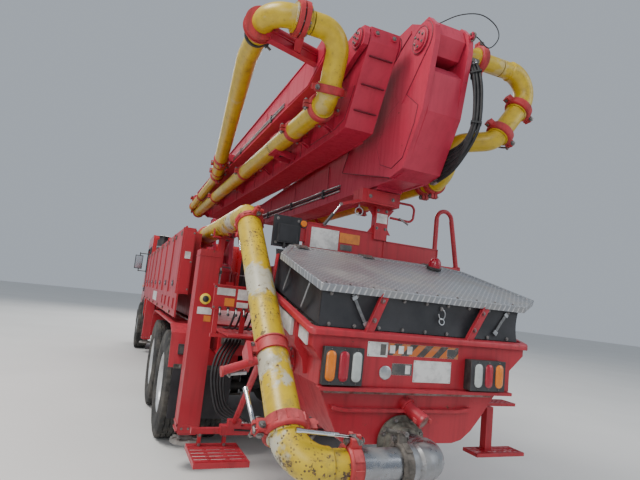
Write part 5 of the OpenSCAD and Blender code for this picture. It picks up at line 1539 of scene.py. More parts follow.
def hopper_trim():
    """What is bolted or welded outside the bin: ribs, bearings, stub, ledge, brackets, plates."""
    b = Build()
    # ledge under the lamps
    b.box((-0.68, -0.020, 1.030), (0.68, 0.040, 1.040), "red")
    b.box((-0.68, 0.034, 1.020), (0.68, 0.042, 1.040), "red")
    # rib across the trough: a curved flat that follows the section
    b.prism([(-0.40, 0.930), (-0.30, 0.915), (0.50, 0.915), (0.57, 0.930), (0.56, 0.905), (0.49, 0.895), (-0.29, 0.895), (-0.39, 0.905)], -0.052, -0.012, "red", axis="y")
    # cleanout stub: a short neck that points down and to the right, open at its end
    p, q = V(0.075, -0.075, 0.945), V(0.005, 0.072, 0.862)
    d = (q - p).normalized()
    L = (q - p).length
    b.lathe(p, d, [(0.042, 0.0), (0.042, L - 0.024), (0.046, L - 0.022), (0.046, L - 0.001), (0.037, L)], "red", 36)
    b.lathe(p, d, [(0.037, L + 0.0005), (0.035, L - 0.002), (0.033, L - 0.06), (0.0001, L - 0.065)], "mortar", 36)
    b.ring(p + d * 0.045, d, 0.040, 0.056, 0.010, "red", 36)
    for s in (-1, 1):
        b.obox(q - d * 0.016 + Vector((s * 0.049, 0, 0)), Vector((0.008, 0, 0)), d * 0.012, Vector((0, 0, 0.012)), "red_clamp")
    # agitator bearings on both walls
    for x, s in ((0.672, 1), (-0.690, -1)):
        q = V(x, -0.48, 1.11)
        e = Vector((s, 0, 0))
        b.lathe(q, e, [(0.090, 0.0), (0.090, 0.012), (0.062, 0.016), (0.058, 0.050), (0.050, 0.056), (0.0001, 0.056)], "red", 36)
        for k in range(8):
            a = math.pi * 2 * (k + 0.5) / 8
            b.bolt(q + Vector((s * 0.012, math.cos(a) * 0.076, math.sin(a) * 0.076)), e, 0.008, 0.008)
        b.cyl(q + e * 0.05, q + e * 0.062, 0.006, "bolt", 8)
    # slanted brackets that carry the guard on the rear face: [x low, x high, z low, z high]
    for x0, x1, z0, z1 in ((0.39, 0.29, 1.352, 1.585), (-0.33, -0.47, 1.350, 1.572)):
        b.strip(V(x0, 0.006, z0), V(x1, -0.006, z1), 0.058, 0.010, "red", up=(0, 1, 0))
        b.strip(V(x0 + 0.028, 0.014, z0), V(x1 + 0.028, 0.002, z1), 0.006, 0.030, "red", up=(0, 1, 0))
        b.bolt(V(x0 * 0.7 + x1 * 0.3, 0.010, z0 * 0.7 + z1 * 0.3), (0, 1, 0), 0.012, 0.010)
        b.bolt(V(x0 * 0.2 + x1 * 0.8, 0.004, z0 * 0.2 + z1 * 0.8), (0, 1, 0), 0.012, 0.010)
    # the left bracket at the rim's rear left corner
    b.strip(V(0.762, -0.79, rimz(-0.79, -0.01)), V(0.742, -0.80, rimz(-0.80, 0.245)), 0.055, 0.010, "red", up=(1, 0, 0))
    # vertical stiffeners on the left and the right wall
    for y in (-0.20, -0.74):
        for s, xw, xn in ((1, 0.735 + 0.025 * (-y / 0.925), 0.672), (-1, 0.800 + 0.030 * (-y / 0.925), 0.690)):
            kz = 1.175 + (xw - xn) * (0.145 / 0.118 if s > 0 else 0.145 / 0.160)
            poly = [(xn - 0.001, 1.07), (xn - 0.001, 1.175), (xw - 0.001, kz), (xw - 0.001, rimz(y, -0.036)), (xw + 0.026, rimz(y, -0.036)), (xw + 0.026, kz - 0.02), (xn + 0.035, 1.150), (xn + 0.022, 1.07)]
            b.prism([(s * p[0], p[1]) for p in poly], y - 0.006, y + 0.006, "red", axis="y")
    # front support legs of the bin on the frame
    for x in (-0.40, 0.40):
        b.box((x - 0.05, -0.955, 0.80), (x + 0.05, -0.926, 1.10), "red")
    b.make("hopper_trim", "chassis", "red_paint", bevel=0.0015, smooth_angle=35)
    # blank plates on the left wall and on the rear face
    c = Build()
    for y0, y1, lo, hi in ((-0.66, -0.30, 0.155, 0.055), (-0.22, -0.06, 0.125, 0.045)):
        x = 0.7350 + 0.025 * (-(y0 + y1) / 2 / 0.925)
        poly = [(y0, rimz(y0, -lo)), (y1, rimz(y1, -lo)), (y1, rimz(y1, -hi)), (y0, rimz(y0, -hi))]
        c.prism(poly, x - 0.004, x + 0.0035 + 0.0125 * (y1 - y0) / 0.36, "label")
    for x0, x1, z0, z1, m in ((0.250, 0.385, 1.215, 1.300, "label"), (-0.262, 0.246, 1.228, 1.298, "label_stripes"),
                              (0.072, 0.212, 1.115, 1.182, "label_dark"), (-0.213, 0.062, 1.078, 1.207, "label")):
        c.box((x0, 0.0, z0), (x1, 0.0025, z1), m)
        for e in (x0 + 0.008, x1 - 0.008):
            for f in (z0 + 0.008, z1 - 0.008):
                c.cyl(V(e, 0.0025, f), V(e, 0.004, f), 0.003, "bolt", 8)
    # small light squares on the plates
    for x0, x1, z0, z1, y, m in ((0.200, 0.236, 1.240, 1.286, 0.003, "label"), (0.140, 0.176, 1.240, 1.286, 0.003, "label"), (0.080, 0.116, 1.240, 1.286, 0.003, "label"),
                                 (-0.235, -0.175, 1.240, 1.286, 0.003, "label_dark"), (0.262, 0.300, 1.225, 1.290, 0.003, "label_dark"), (0.085, 0.120, 1.123, 1.174, 0.003, "label")):
        c.box((x0, 0.0025, z0), (x1, y + 0.0005, z1), m)
    # grey disc
    c.lathe(V(0.256, 0.0, 1.126), (0, 1, 0), [(0.040, 0.0), (0.040, 0.006), (0.034, 0.009), (0.0001, 0.010)], "steel", 36)
    c.make("hopper_blank_plates", "chassis", "alu_plate", bevel=0.0008, smooth_angle=30)


hopper_trim()


def guard():
    """Rubber guard between rim and lid: thick sheet with a slight sag, straps and a hook."""
    lo = [(0.732, -0.895), (0.698, -0.016), (-0.752, -0.016), (-0.800, -0.895)]
    b = Build()
    n = 4
    per = []
    for i in range(n):
        p, q = Vector(lo[i]), Vector(lo[(i + 1) % n])
        m = 26
        for k in range(m):
            per.append((p.lerp(q, k / m), i, k / m))
    rows = 9
    vs, fs = [], []
    k = len(per)
    cx, cy = 0.0, -0.45
    for side in (0, 1):
        for r in range(rows):
            t = r / (rows - 1)
            for (p, i, u) in per:
                z0 = rimz(p.y, 0.001)
                z1 = LZ + (LY - p.y) * math.tan(SL) - 0.046
                z = z0 + (z1 - z0) * t
                # billow between the fixings, in and out by a few millimetres
                w = 0.010 * math.sin(math.pi * t) * (math.sin(u * math.pi * 4 + i * 1.7) - 0.35) - 0.008 * math.sin(math.pi * t)
                c = Vector((p.x - cx, p.y - cy))
                nrm = {0: Vector((1, 0)), 1: Vector((0, 1)), 2: Vector((-1, 0)), 3: Vector((0, -1))}[i]
                q = p + nrm * (w - side * 0.007)
                vs.append(V(q.x, q.y, z))
    for side in (0, 1):
        o = side * rows * k
        for r in range(rows - 1):
            for i in range(k):
                j = (i + 1) % k
                f = (o + r * k + i, o + r * k + j, o + (r + 1) * k + j, o + (r + 1) * k + i)
                fs.append(f if side == 0 else f[::-1])
    for i in range(k):
        j = (i + 1) % k
        a = rows * k
        fs.append((i, a + i, a + j, j))
        e = (rows - 1) * k
        fs.append((e + i, e + j, a + e + j, a + e + i))
    b.add(vs, fs, "rubber")
    o = b.make("splash_guard_rubber", "chassis", "rubber", smooth_angle=60)
    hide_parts("splash_guard")
    # straps: flat pressure bars with screws, grey webbing, and the hook with its ring
    c = Build()

    def on_rear(x, t, out=0.004):
        z0, z1 = rimz(-0.016, 0.001), LZ + (LY + 0.016) * math.tan(SL) - 0.046
        return V(x, -0.016 + out - 0.006 * math.sin(math.pi * t), z0 + (z1 - z0) * t)
    for x in [0.64 - 0.163 * i for i in range(9)]:
        c.bolt(on_rear(x, 0.07), (0, 1, 0), 0.009, 0.006)
        c.bolt(on_rear(x, 0.93), (0, 1, 0), 0.009, 0.006)
    for xa, ta, xb, tb in ((0.505, 0.97, 0.405, 0.14), (-0.655, 0.93, -0.560, 0.24)):
        p = [on_rear(xa + (xb - xa) * k / 8, ta + (tb - ta) * k / 8, 0.008) for k in range(9)]
        for g, h in zip(p, p[1:]):
            c.strip(g, h, 0.019, 0.003, "strap", up=(0, 1, 0))
        d = (p[-1] - p[0]).normalized()
        c.obox(p[-1], d * 0.014, (0, 0.005, 0), d.cross(Vector((0, 1, 0))) * 0.016, "steel")
        c.obox(p[1], d * 0.010, (0, 0.005, 0), d.cross(Vector((0, 1, 0))) * 0.016, "steel")
    # the same straps hold the left and the right face
    for sx, x, nx in ((1, 0.716, 1), (-1, -0.776, -1)):
        for y in (-0.20, -0.58):
            c.strip(V(x + nx * 0.012, y - 0.055, rimz(y, 0.045)), V(x + nx * 0.012, y + 0.055, rimz(y, 0.195)), 0.019, 0.003, "strap", up=(1, 0, 0))
    # hook and ring in the middle of the rear face
    h = on_rear(-0.12, 0.80, 0.014)
    pts = [h + Vector((0.024 * math.cos(a), 0.004, -0.030 + 0.030 * math.sin(a))) for a in [math.radians(100 + 22 * i) for i in range(13)]]
    c.sweep(pts, 0.004, "steel", 8)
    c.bolt(h + Vector((0, -0.004, 0.004)), (0, 1, 0), 0.010, 0.008)
    c.lathe(h + Vector((0.0, 0.004, -0.075)), (0, 1, 0.2), [(0.016, -0.003), (0.022, -0.003), (0.022, 0.003), (0.016, 0.003)], "steel", 24, closed=True)
    c.make("splash_guard_straps", "chassis", "rubber", smooth_angle=35)


M["strap"] = simple("grey_webbing", (0.10, 0.105, 0.11), (0.19, 0.195, 0.20), 0.85, scale=30.0, bump=0.4, bscale=350.0)
guard()


def lamp_box(b, x0, x1, y1, lenses, z1=1.258):
    z0 = 1.052
    b.box((x0, 0.0005, z0), (x1, y1 - 0.010, z1), "black")
    # front frame with a lip
    b.box((x0 - 0.002, y1 - 0.012, z0 - 0.002), (x1 + 0.002, y1 - 0.002, z1 + 0.002), "plastic")
    for xc, m in lenses:
        zc = (z0 + z1) / 2
        hw, hh = 0.030, 0.083 - (1.258 - z1) / 2
        for grow, y, mm in ((0.007, y1 + 0.001, "plastic"), (0.0, y1 + 0.006, m)):
            pts = []
            w, h = hw + grow, hh + grow
            for k in range(48):
                a = 2 * math.pi * k / 48
                pts.append((xc + w * math.copysign(abs(math.cos(a)) ** 0.9, math.cos(a)), zc + (h - w) * math.copysign(1, math.sin(a)) * min(1, abs(math.sin(a)) * 4) + w * math.sin(a)))
            n = len(pts)
            vs = [V(x, y1 - 0.004, z) for x, z in pts] + [V(x, y - 0.003, z) for x, z in pts]
            vs += [V(xc + (x - xc) * 0.93, y, zc + (z - zc) * 0.965) for x, z in pts]
            vs += [V(xc + (x - xc) * 0.55, y + (0.004 if mm == m else 0), zc + (z - zc) * 0.75) for x, z in pts] + [V(xc, y + (0.005 if mm == m else 0), zc)]
            fs = []
            for r in range(3):
                for i in range(n):
                    j = (i + 1) % n
                    fs.append((r * n + i, r * n + j, (r + 1) * n + j, (r + 1) * n + i))
            fs += [(3 * n + i, 3 * n + (i + 1) % n, 4 * n) for i in range(n)]
            b.add(vs, fs, mm)
        for e in (-1, 1):
            b.cyl(V(xc, y1 - 0.002, zc + e * (hh + 0.010)), V(xc, y1 + 0.002, zc + e * (hh + 0.010)), 0.0035, "bolt", 8)


b = Build()
lamp_box(b, 0.425, 0.668, 0.042, ((0.628, "amber"), (0.547, "red_lens"), (0.466, "white_lens")))
lamp_box(b, -0.588, -0.318, 0.070, ((-0.374, "white_lens"), (-0.456, "red_lens"), (-0.538, "amber")), z1=1.236)
o = b.make("tail_lamps", "chassis", "black_metal", bevel=0.002, angle=50, smooth_angle=40)
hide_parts("tail_lamp_boxes")

# ------------------------------------------------------------------ steps, boom rest, legs, panel, side bodies
def grating(b, lo, hi, n, mat="red"):
    """Open tread: frame of four flats with slats across it."""
    (x0, y0, z0), (x1, y1, z1) = lo, hi
    t = 0.010
    b.box((x0, y0, z0), (x1, y0 + t, z1), mat)
    b.box((x0, y1 - t, z0), (x1, y1, z1), mat)
    b.box((x0, y0 + t, z0), (x0 + t, y1 - t, z1), mat)
    b.box((x1 - t, y0 + t, z0), (x1, y1 - t, z1), mat)
    w = (y1 - y0 - 2 * t) / n
    for i in range(n):
        y = y0 + t + w * (i + 0.5)
        b.box((x0 + t, y - w * 0.30, z1 - 0.006), (x1 - t, y + w * 0.30, z1 - 0.001), mat)
        for k in range(int((x1 - x0) / 0.05)):
            x = x0 + 0.03 + 0.05 * k
            b.cyl(V(x, y, z1 - 0.001), V(x, y, z1 + 0.002), 0.008, mat, 8)
    for x in (x0 + (x1 - x0) * 0.33, x0 + (x1 - x0) * 0.67):
        b.box((x - 0.004, y0 + t, z0), (x + 0.004, y1 - t, z1 - 0.006), mat)


def step_pieces():
    b = Build()
    grating(b, (0.740, -1.330, 0.300), (1.130, -0.900, 0.339), 6)
    for x in (0.855, 1.045):
        b.box((x - 0.012, -1.290, 0.330), (x + 0.012, -1.284, 0.470), "red")
        b.box((x - 0.012, -1.256, 0.330), (x + 0.012, -1.250, 0.430), "red")
        b.box((x - 0.006, -1.285, 0.330), (x + 0.006, -1.255, 0.430), "red")
        for z in (0.352, 0.445):
            b.bolt(V(x, -1.250 if z < 0.4 else -1.2500, z if z < 0.4 else 0.42), (0, 1, 0), 0.009, 0.007)
    b.box((0.9005, -1.290, 0.429), (1.112, -1.250, 0.470), "red")
    grating(b, (-1.245, -0.540, 0.500), (-0.800, -0.380, 0.526), 3)
    grating(b, (-1.245, -0.640, 0.840), (-0.790, -0.490, 0.863), 3)
    b.box((-0.985, -0.505, 0.525), (-0.925, -0.445, 0.842), "red")
    b.box((-1.000, -0.520, 0.525), (-0.910, -0.430, 0.533), "red")
    b.prism([(-0.830, 0.863), (-0.790, 0.863), (-0.790, 1.100), (-0.691, 1.060), (-0.691, 1.100), (-0.831, 1.100)][:0] or [(-0.830, 0.863), (-0.790, 0.863), (-0.790, 1.060), (-0.691, 1.060), (-0.691, 1.100), (-0.831, 1.100)], -0.640, -0.600, "red", axis="y")
    for z in (0.90, 1.02):
        b.bolt(V(-0.810, -0.600, z), (0, 1, 0), 0.010, 0.008)
    o = b.make("steps_slatted", "chassis", "red_paint", bevel=0.0, smooth_angle=35)
    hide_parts("steps")


step_pieces()


def rest_details():
    b = Build()
    # caps, gussets and flange edges of the beam, the post and the head
    for x0, x1, z0, z1 in ((-0.780, -0.240, 1.905, 2.055), (-0.240, 0.470, 1.850, 2.110)):
        for z in (z0, z1 - 0.008):
            b.box((x0, -1.010, z), (x1, -1.004, z + 0.008), "red")
        for x in (x0, x1 - 0.010):
            b.box((x, -1.010, z0), (x + 0.010, -1.004, z1), "red")
    for s in (-1, 1):
        b.prism([(-0.185 + s * 0.060, 2.330), (-0.185 + s * 0.130, 2.330), (-0.185 + s * 0.060, 2.240)], -1.030, -1.020, "red", axis="y")
        b.prism([(-0.185 + s * 0.060, 2.110), (-0.185 + s * 0.110, 2.110), (-0.185 + s * 0.060, 2.180)], -1.030, -1.020, "red", axis="y")
    for x in (-0.225, -0.145):
        for z in (2.150, 2.300):
            b.bolt(V(x, -0.990, z), (0, 1, 0), 0.010, 0.008)
    b.box((-0.250, -0.899, 2.345), (0.020, -0.894, 2.425), "red")
    for x in (-0.22, -0.01):
        b.bolt(V(x, -0.894, 2.385), (0, 1, 0), 0.012, 0.008)
    # bent tube handle beside the post and its little lever
    path, _ = corner_path([V(-0.245, -1.02, 2.405), V(-0.515, -1.02, 2.405), V(-0.505, -1.02, 2.255), V(-0.280, -1.02, 2.262)], 0.035)
    b.sweep([q for q, _ in path], 0.0105, "red", 12)
    b.cyl(V(-0.36, -1.03, 2.262), V(-0.36, -0.985, 2.262), 0.008, "bolt", 10)
    b.strip(V(-0.36, -0.99, 2.262), V(-0.44, -0.985, 2.222), 0.014, 0.006, "bolt", up=(0, 1, 0))
    b.lathe(V(0.017, -1.025, 2.27), (0.2, 1, 0), [(0.028, -0.004), (0.036, -0.004), (0.036, 0.004), (0.028, 0.004)], "steel", 28, closed=True)
    b.cyl(V(0.017, -1.030, 2.300), V(0.017, -1.030, 2.332), 0.007, "steel", 10)
    # gas strut of the head, rubber buffer and reflector
    b.cyl(V(0.320, -1.005, 2.112), V(0.262, -0.985, 2.207), 0.013, "plastic", 16)
    b.cyl(V(0.262, -0.985, 2.207), V(0.212, -0.968, 2.290), 0.006, "rod", 12)
    b.lathe(V(0.212, -0.968, 2.290), (0, 1, 0), [(0.006, -0.008), (0.014, -0.008), (0.014, 0.008), (0.006, 0.008)], "bolt", 20, closed=True)
    b.strip(V(0.060, -0.960, 2.345), V(0.212, -0.968, 2.290), 0.024, 0.008, "red", up=(0, 1, 0))
    b.lathe(V(0.320, -1.005, 2.112), (0, 1, 0), [(0.006, -0.008), (0.014, -0.008), (0.014, 0.008), (0.006, 0.008)], "bolt", 20, closed=True)
    b.box((0.512, -1.060, 1.887), (0.728, -1.015, 2.128), "rubber")
    for x in (0.535, 0.705):
        for z in (1.915, 2.100):
            b.bolt(V(x, -1.015, z), (0, 1, 0), 0.009, 0.006)
    b.box((0.540, -1.016, 1.915), (0.700, -0.985, 2.060), "plastic")
    b.box((0.550, -0.986, 1.925), (0.690, -0.980, 2.050), "rubber")
    b.cyl(V(0.580, -1.000, 1.870), V(0.580, -1.000, 1.916), 0.012, "plastic", 14)
    b.cyl(V(0.640, -1.000, 1.870), V(0.640, -1.000, 1.916), 0.012, "plastic", 14)
    b.box((0.470, -1.055, 1.95), (0.513, -1.020, 2.05), "red")
    b.cyl(V(0.495, -1.020, 2.086), V(0.495, -1.004, 2.086), 0.030, "plastic", 24)
    b.lathe(V(0.495, -1.004, 2.086), (0, 1, 0), [(0.026, 0.0), (0.024, 0.006), (0.0001, 0.009)], "amber", 24)
    b.box((0.478, -1.050, 2.046), (0.512, -1.022, 2.062), "red")
    # handrail feet
    for x in (-0.772, -1.020):
        b.lathe(V(x, -1.045, 1.921), (0, 0, 1), [(0.034, 0.0), (0.034, 0.008), (0.022, 0.012)], "red", 24)
    b.make("boom_rest_details", "chassis", "red_paint", bevel=0.0, smooth_angle=38)
    c = Build()
    for x0, x1, z0, z1, m in ((0.185, 0.425, 1.915, 2.075, "label"), (-0.005, 0.175, 1.985, 2.065, "label_orange"), (0.06, 0.165, 1.925, 1.972, "label_dark"), (-0.235, -0.135, 2.195, 2.275, "label")):
        y = -1.009 if z1 < 2.11 else -0.9895
        c.box((x0, y - 0.001, z0), (x1, y + 0.0025, z1), m)
    c.make("boom_rest_blank_plates", "chassis", "alu_plate", smooth_angle=30)


rest_details()


def leg_details():
    for fr, y0, zt in (("rear", -1.8, 1.84), ("front", -8.8, None)):
        for side, s in (("left", 1), ("right", -1)):
            n = NODES["outrigger_beam_%s_%s" % (fr, side)]
            zs = [(n.matrix_world @ v.co).z for v in n.data.vertices]
            xs = [abs((n.matrix_world @ v.co).x) for v in n.data.vertices if (n.matrix_world @ v.co).x * s > 0]
            z1, xl = max(zs), max(xs) - 0.09
            b = Build()
            X = s * xl
            # cap and collars
            b.box((X - 0.094, y0 - 0.109, z1 - 0.055), (X + 0.094, y0 + 0.109, z1 - 0.043), "red")
            b.box((X - 0.080, y0 - 0.095, z1 - 0.0005), (X + 0.080, y0 + 0.095, z1 + 0.0045 if fr == "rear" else z1), "red")
            for zc in (0.318, 0.372):
                for e in (-1, 1):
                    b.box((X - 0.098, y0 + e * 0.1015 - 0.0065, zc - 0.008), (X + 0.098, y0 + e * 0.1015 + 0.0065, zc + 0.008), "red")
                    b.box((X + e * 0.094 - 0.004, y0 - 0.108, zc - 0.008), (X + e * 0.094 + 0.004, y0 + 0.108, zc + 0.008), "red")
            for zc in (0.345,):
                for dx in (-0.055, 0.0, 0.055):
                    for e in (-1, 1):
                        b.bolt(V(X + dx, y0 + e * 0.105, zc), (0, e, 0), 0.008, 0.006)
            # knob with a black centre and blank plates on the rear face
            e = 1 if fr == "rear" else -1
            yf = y0 + e * 0.105
            zk = 1.419 if fr == "rear" else min(1.419, z1 - 0.25)
            b.lathe(V(X, yf, zk), (0, e, 0), [(0.046, 0.0), (0.046, 0.010), (0.030, 0.018), (0.026, 0.018)], "knob", 32)
            b.lathe(V(X, yf, zk), (0, e, 0), [(0.027, 0.012), (0.027, 0.024), (0.020, 0.028), (0.0001, 0.028)], "plastic", 28)
            ys = (yf, yf + e * 0.003)
            b.box((X - 0.066, min(ys), zk - 0.130), (X + 0.056, max(ys), zk - 0.072), "label")
            b.box((X - 0.066, min(ys), zk - 0.190), (X - 0.006, max(ys), zk - 0.140), "label_orange")
            # hydraulic line down the inner side with clips
            xi = X - s * 0.104
            for dy in (-0.018, 0.018):
                b.sweep(VV([(xi, y0 + dy + 0.06, min(z1 - 0.10, 1.70)), (xi, y0 + dy + 0.06, 1.235)]), 0.008, "steel", 10)
            for z in [v for v in (1.30, 1.50, 1.66) if v < z1 - 0.12]:
                b.box((min(xi - 0.012, X - s * 0.090), y0 + 0.025, z - 0.014), (max(xi + 0.012, X - s * 0.090), y0 + 0.095, z + 0.014), "plastic")
            b.make("leg_%s_%s_details" % (fr, side), "beam_%s_%s" % (fr, side), "red_paint", bevel=0.0, smooth_angle=38)
            c = Build()
            # foot: ball joint, retaining ring and ribbed pad
            c.lathe(V(X, y0, 0.240), (0, 0, 1), [(0.100, -0.0252), (0.1212, -0.0250), (0.1212, 0.0015), (0.112, 0.006), (0.070, 0.010), (0.062, 0.022), (0.048, 0.034), (0.046, 0.049)], "pad", 36)
            for k in range(8):
                a = math.pi * 2 * k / 8 + 0.2
                d = Vector((math.cos(a), math.sin(a), 0))
                c.obox(V(X, y0, 0.249) + d * 0.085, d * 0.026, Vector((-d.y, d.x, 0)) * 0.004, Vector((0, 0, 0.006)), "pad")
            c.cyl(V(X, y0, 0.240), V(X, y0, 0.2895), 0.0462, "pad", 32)
            c.make("jack_foot_%s_%s" % (fr, side), "jack_%s_%s" % (fr, side), "cast_metal", bevel=0.0, smooth_angle=38)


leg_details()


HANGING = []


def rear_deck_details():
    b = Build()
    # small red panel with blank plates between the leg and the riser
    b.box((0.795, -1.210, 1.362), (1.085, -1.190, 1.545), "red")
    b.box((0.785, -1.216, 1.540), (1.095, -1.180, 1.550), "red")
    b.box((0.785, -1.216, 1.356), (1.095, -1.180, 1.364), "red")
    for x in (0.82, 1.03):
        b.box((x, -1.235, 1.165), (x + 0.035, -1.210, 1.50), "red")
    b.box((0.66, -1.240, 1.150), (1.075, -1.205, 1.176), "red")
    b.box((0.64, -1.290, 1.100), (0.68, -1.200, 1.176), "red")
    for x0, x1, z0, z1, m in ((0.815, 0.905, 1.445, 1.525, "label"), (0.925, 1.065, 1.470, 1.525, "label"), (0.925, 1.000, 1.390, 1.450, "label_orange"), (0.815, 0.905, 1.385, 1.425, "label")):
        b.box((x0, -1.1905, z0), (x1, -1.187, z1), m)
    for x in (0.803, 1.077):
        for z in (1.375, 1.530):
            b.bolt(V(x, -1.190, z), (0, 1, 0), 0.007, 0.005)
    # three knobs of the leg controls under it
    for i in range(4):
        x = 0.845 + 0.062 * i
        b.cyl(V(x, -1.195, 1.372), V(x, -1.175, 1.372), 0.012, "plastic", 14)
        b.cyl(V(x, -1.182, 1.372), V(x, -1.160, 1.335), 0.0055, "steel", 10)
        b.lathe(V(x, -1.160, 1.335), (0, 0.5, -0.85), [(0.004, -0.004), (0.011, 0.004), (0.012, 0.012), (0.006, 0.020), (0.0001, 0.021)], "plastic", 14)
    b.make("leg_control_panel", "chassis", "red_paint", bevel=0.0, smooth_angle=38)
    c = Build()
    # hoses that hang between the panel, the housing and the frame, on both sides
    for s in (1, -1):
        for k in range(5):
            o = 0.030 * (k - 2)
            pts = VV([(s * (0.80 + o), -1.603, 1.10), (s * (0.82 + o), -1.520, 1.085), (s * (0.90 + o), -1.450, 0.97), (s * (0.93 + o * 0.8), -1.42, 0.80),
                      (s * (0.88 + o * 0.6), -1.40, 0.62 - 0.012 * k), (s * (0.79 + o * 0.6), -1.37, 0.545 - 0.010 * k), (s * (0.72 + o * 0.6), -1.33, 0.50), (s * (0.68 + o), -1.291, 0.470)])
            HANGING.append(("%s_%d" % ("left" if s > 0 else "right", k + 1), spline(pts, 6), 0.012 if k % 2 else 0.010))
            for p, q in ((pts[0], pts[1]), (pts[-1], pts[-2])):
                d = (q - p).normalized()
                c.cyl(p - d * 0.002, p + d * 0.050, 0.0150, "steel", 12)
                c.lathe(p + d * 0.010, d, [(0.018, 0.0), (0.018, 0.014)], "steel", 6)
            # short fixed line from the panel down to the housing
            x = s * (0.80 + o * 1.6)
            if s > 0:
                c.sweep(spline(VV([(x, -1.215, 1.37), (x + 0.01, -1.26, 1.28), (x, -1.40, 1.215), (x, -1.60, 1.195)]), 5), 0.009, "hose", 8)
        x0, x1 = sorted((s * 0.70, s * 0.90))
        c.box((x0, -1.606, 1.060), (x1, -1.596, 1.140), "cast")
    # air line spiral on the rear frame bar
    c.sweep(spline(VV([(-0.80, -1.205, 0.47), (-0.40, -1.202, 0.455), (0.0, -1.203, 0.474), (0.40, -1.202, 0.455), (0.80, -1.205, 0.47)]), 8), 0.007, "hose", 8)
    c.make("outrigger_hoses", "chassis", "rubber", smooth_angle=60)
    # mud flaps, fender lamps and reflectors behind the rear wheels
    d = Build()
    for s in (1, -1):
        x0, x1 = sorted((s * 0.665, s * 1.205))
        d.box((x0, -2.068, 0.335), (x1, -2.060, 0.800), "rubber")
        d.box((x0, -2.060, 0.770), (x1, -2.054, 0.810), "cast")
        for i in range(5):
            d.bolt(V(x0 + 0.06 + 0.105 * i, -2.054, 0.79), (0, 1, 0), 0.009, 0.006)
        x0, x1 = sorted((s * 1.070, s * 1.180))
        d.box((x0, -2.100, 0.895), (x1, -2.050, 0.985), "plastic")
        d.box((x0 + 0.010, -2.052, 0.905), (x1 - 0.010, -2.046, 0.975), "label_dark")
    d.make("mud_flaps", "chassis", "rubber", bevel=0.0, smooth_angle=38)


rear_deck_details()


def side_details():
    for side, s in (("left", 1), ("right", -1)):
        b = Build()

        def bx(x0, x1, y0, y1, z0, z1, m):
            a, c = sorted((s * x0, s * x1))
            b.box((a, y0, z0), (c, y1, z1), m)
        for i in range(7):
            y0, y1 = -8.340 + 0.845 * i, -7.535 + 0.845 * i
            if y1 > -2.45:
                y1 = -2.46
            # pressed door panel with hinges and two latches
            bx(1.2245, 1.2285, y0 + 0.035, y1 - 0.035, 1.480, 2.045, "red")
            bx(1.2285, 1.2310, y0 + 0.075, y1 - 0.075, 1.530, 1.995, "red")
            for y in (y0 + 0.14, y1 - 0.14):
                bx(1.2280, 1.2370, y - 0.035, y + 0.035, 2.020, 2.062, "cast")
                b.cyl(V(s * 1.2345, y - 0.03, 2.042), V(s * 1.2345, y + 0.03, 2.042), 0.006, "bolt", 10)
            y = (y0 + y1) / 2
            bx(1.2305, 1.2360, y - 0.06, y + 0.06, 1.500, 1.560, "plastic")
            bx(1.2350, 1.2395, y - 0.040, y + 0.040, 1.522, 1.538, "steel")
            bx(1.2250, 1.2380, y - 0.035, y + 0.035, 1.215, 1.245, "plastic")
            b.box(tuple(min(a, c) if j == 0 else a for j, (a, c) in enumerate(zip((s * 1.2375, y - 0.028, 1.220), (s * 1.2395, y + 0.028, 1.240)))),
                  tuple(max(a, c) if j == 0 else c for j, (a, c) in enumerate(zip((s * 1.2375, y - 0.028, 1.220), (s * 1.2395, y + 0.028, 1.240)))), "amber")
        # top rail and the frames of the square holes
        b.cyl(V(s * 1.212, -8.38, 2.098), V(s * 1.212, -2.42, 2.098), 0.010, "red", 12)
        for k in range(4):
            y = -4.0 + 0.44 * k
            for z in (1.268, 1.375):
                bx(1.2245, 1.2290, y - 0.007, y + 0.117, z, z + 0.007, "red")
            for yy in (y - 0.007, y + 0.110):
                bx(1.2245, 1.2290, yy, yy + 0.007, 1.268, 1.382, "red")
        bx(1.2245, 1.2275, -5.60, -4.90, 1.265, 1.395, "label")
        # rear end face of the body: vertical flange and blank plate
        bx(1.130, 1.215, -2.400, -2.396, 1.450, 2.070, "red")
        bx(1.145, 1.200, -2.396, -2.393, 1.780, 1.850, "label")
        for z in (1.48, 1.75, 2.04):
            b.bolt(V(s * 1.135, -2.396, z), (0, 1, 0), 0.007, 0.005)
        b.make("side_body_%s_details" % side, "chassis", "red_paint", bevel=0.0, smooth_angle=38)


side_details()

# ------------------------------------------------------------------ cab, front, turret, underside
def free_hose(name, body, pts, r, mat="hose", n=10, slot="rubber"):
    """A hose or cable of its own that hangs between two fixings of one body."""
    b = Build()
    b.sweep(pts, r, mat, n)
    o = b.make(name, body, slot, smooth_angle=60)
    return o


def rim(b, pts, r, mat):
    """Closed bead along corner points."""
    P = VV(pts)
    path, _ = corner_path([(P[0] + P[-1]) / 2] + P + [(P[0] + P[-1]) / 2], 0.05)
    b.sweep([q for q, _ in path], r, mat, 8, cap=False)


def windscreen(z, out=0.0):
    """y of the front face at height z."""
    return -10.99 + (z - 1.5) * 0.11 / 0.93 - out


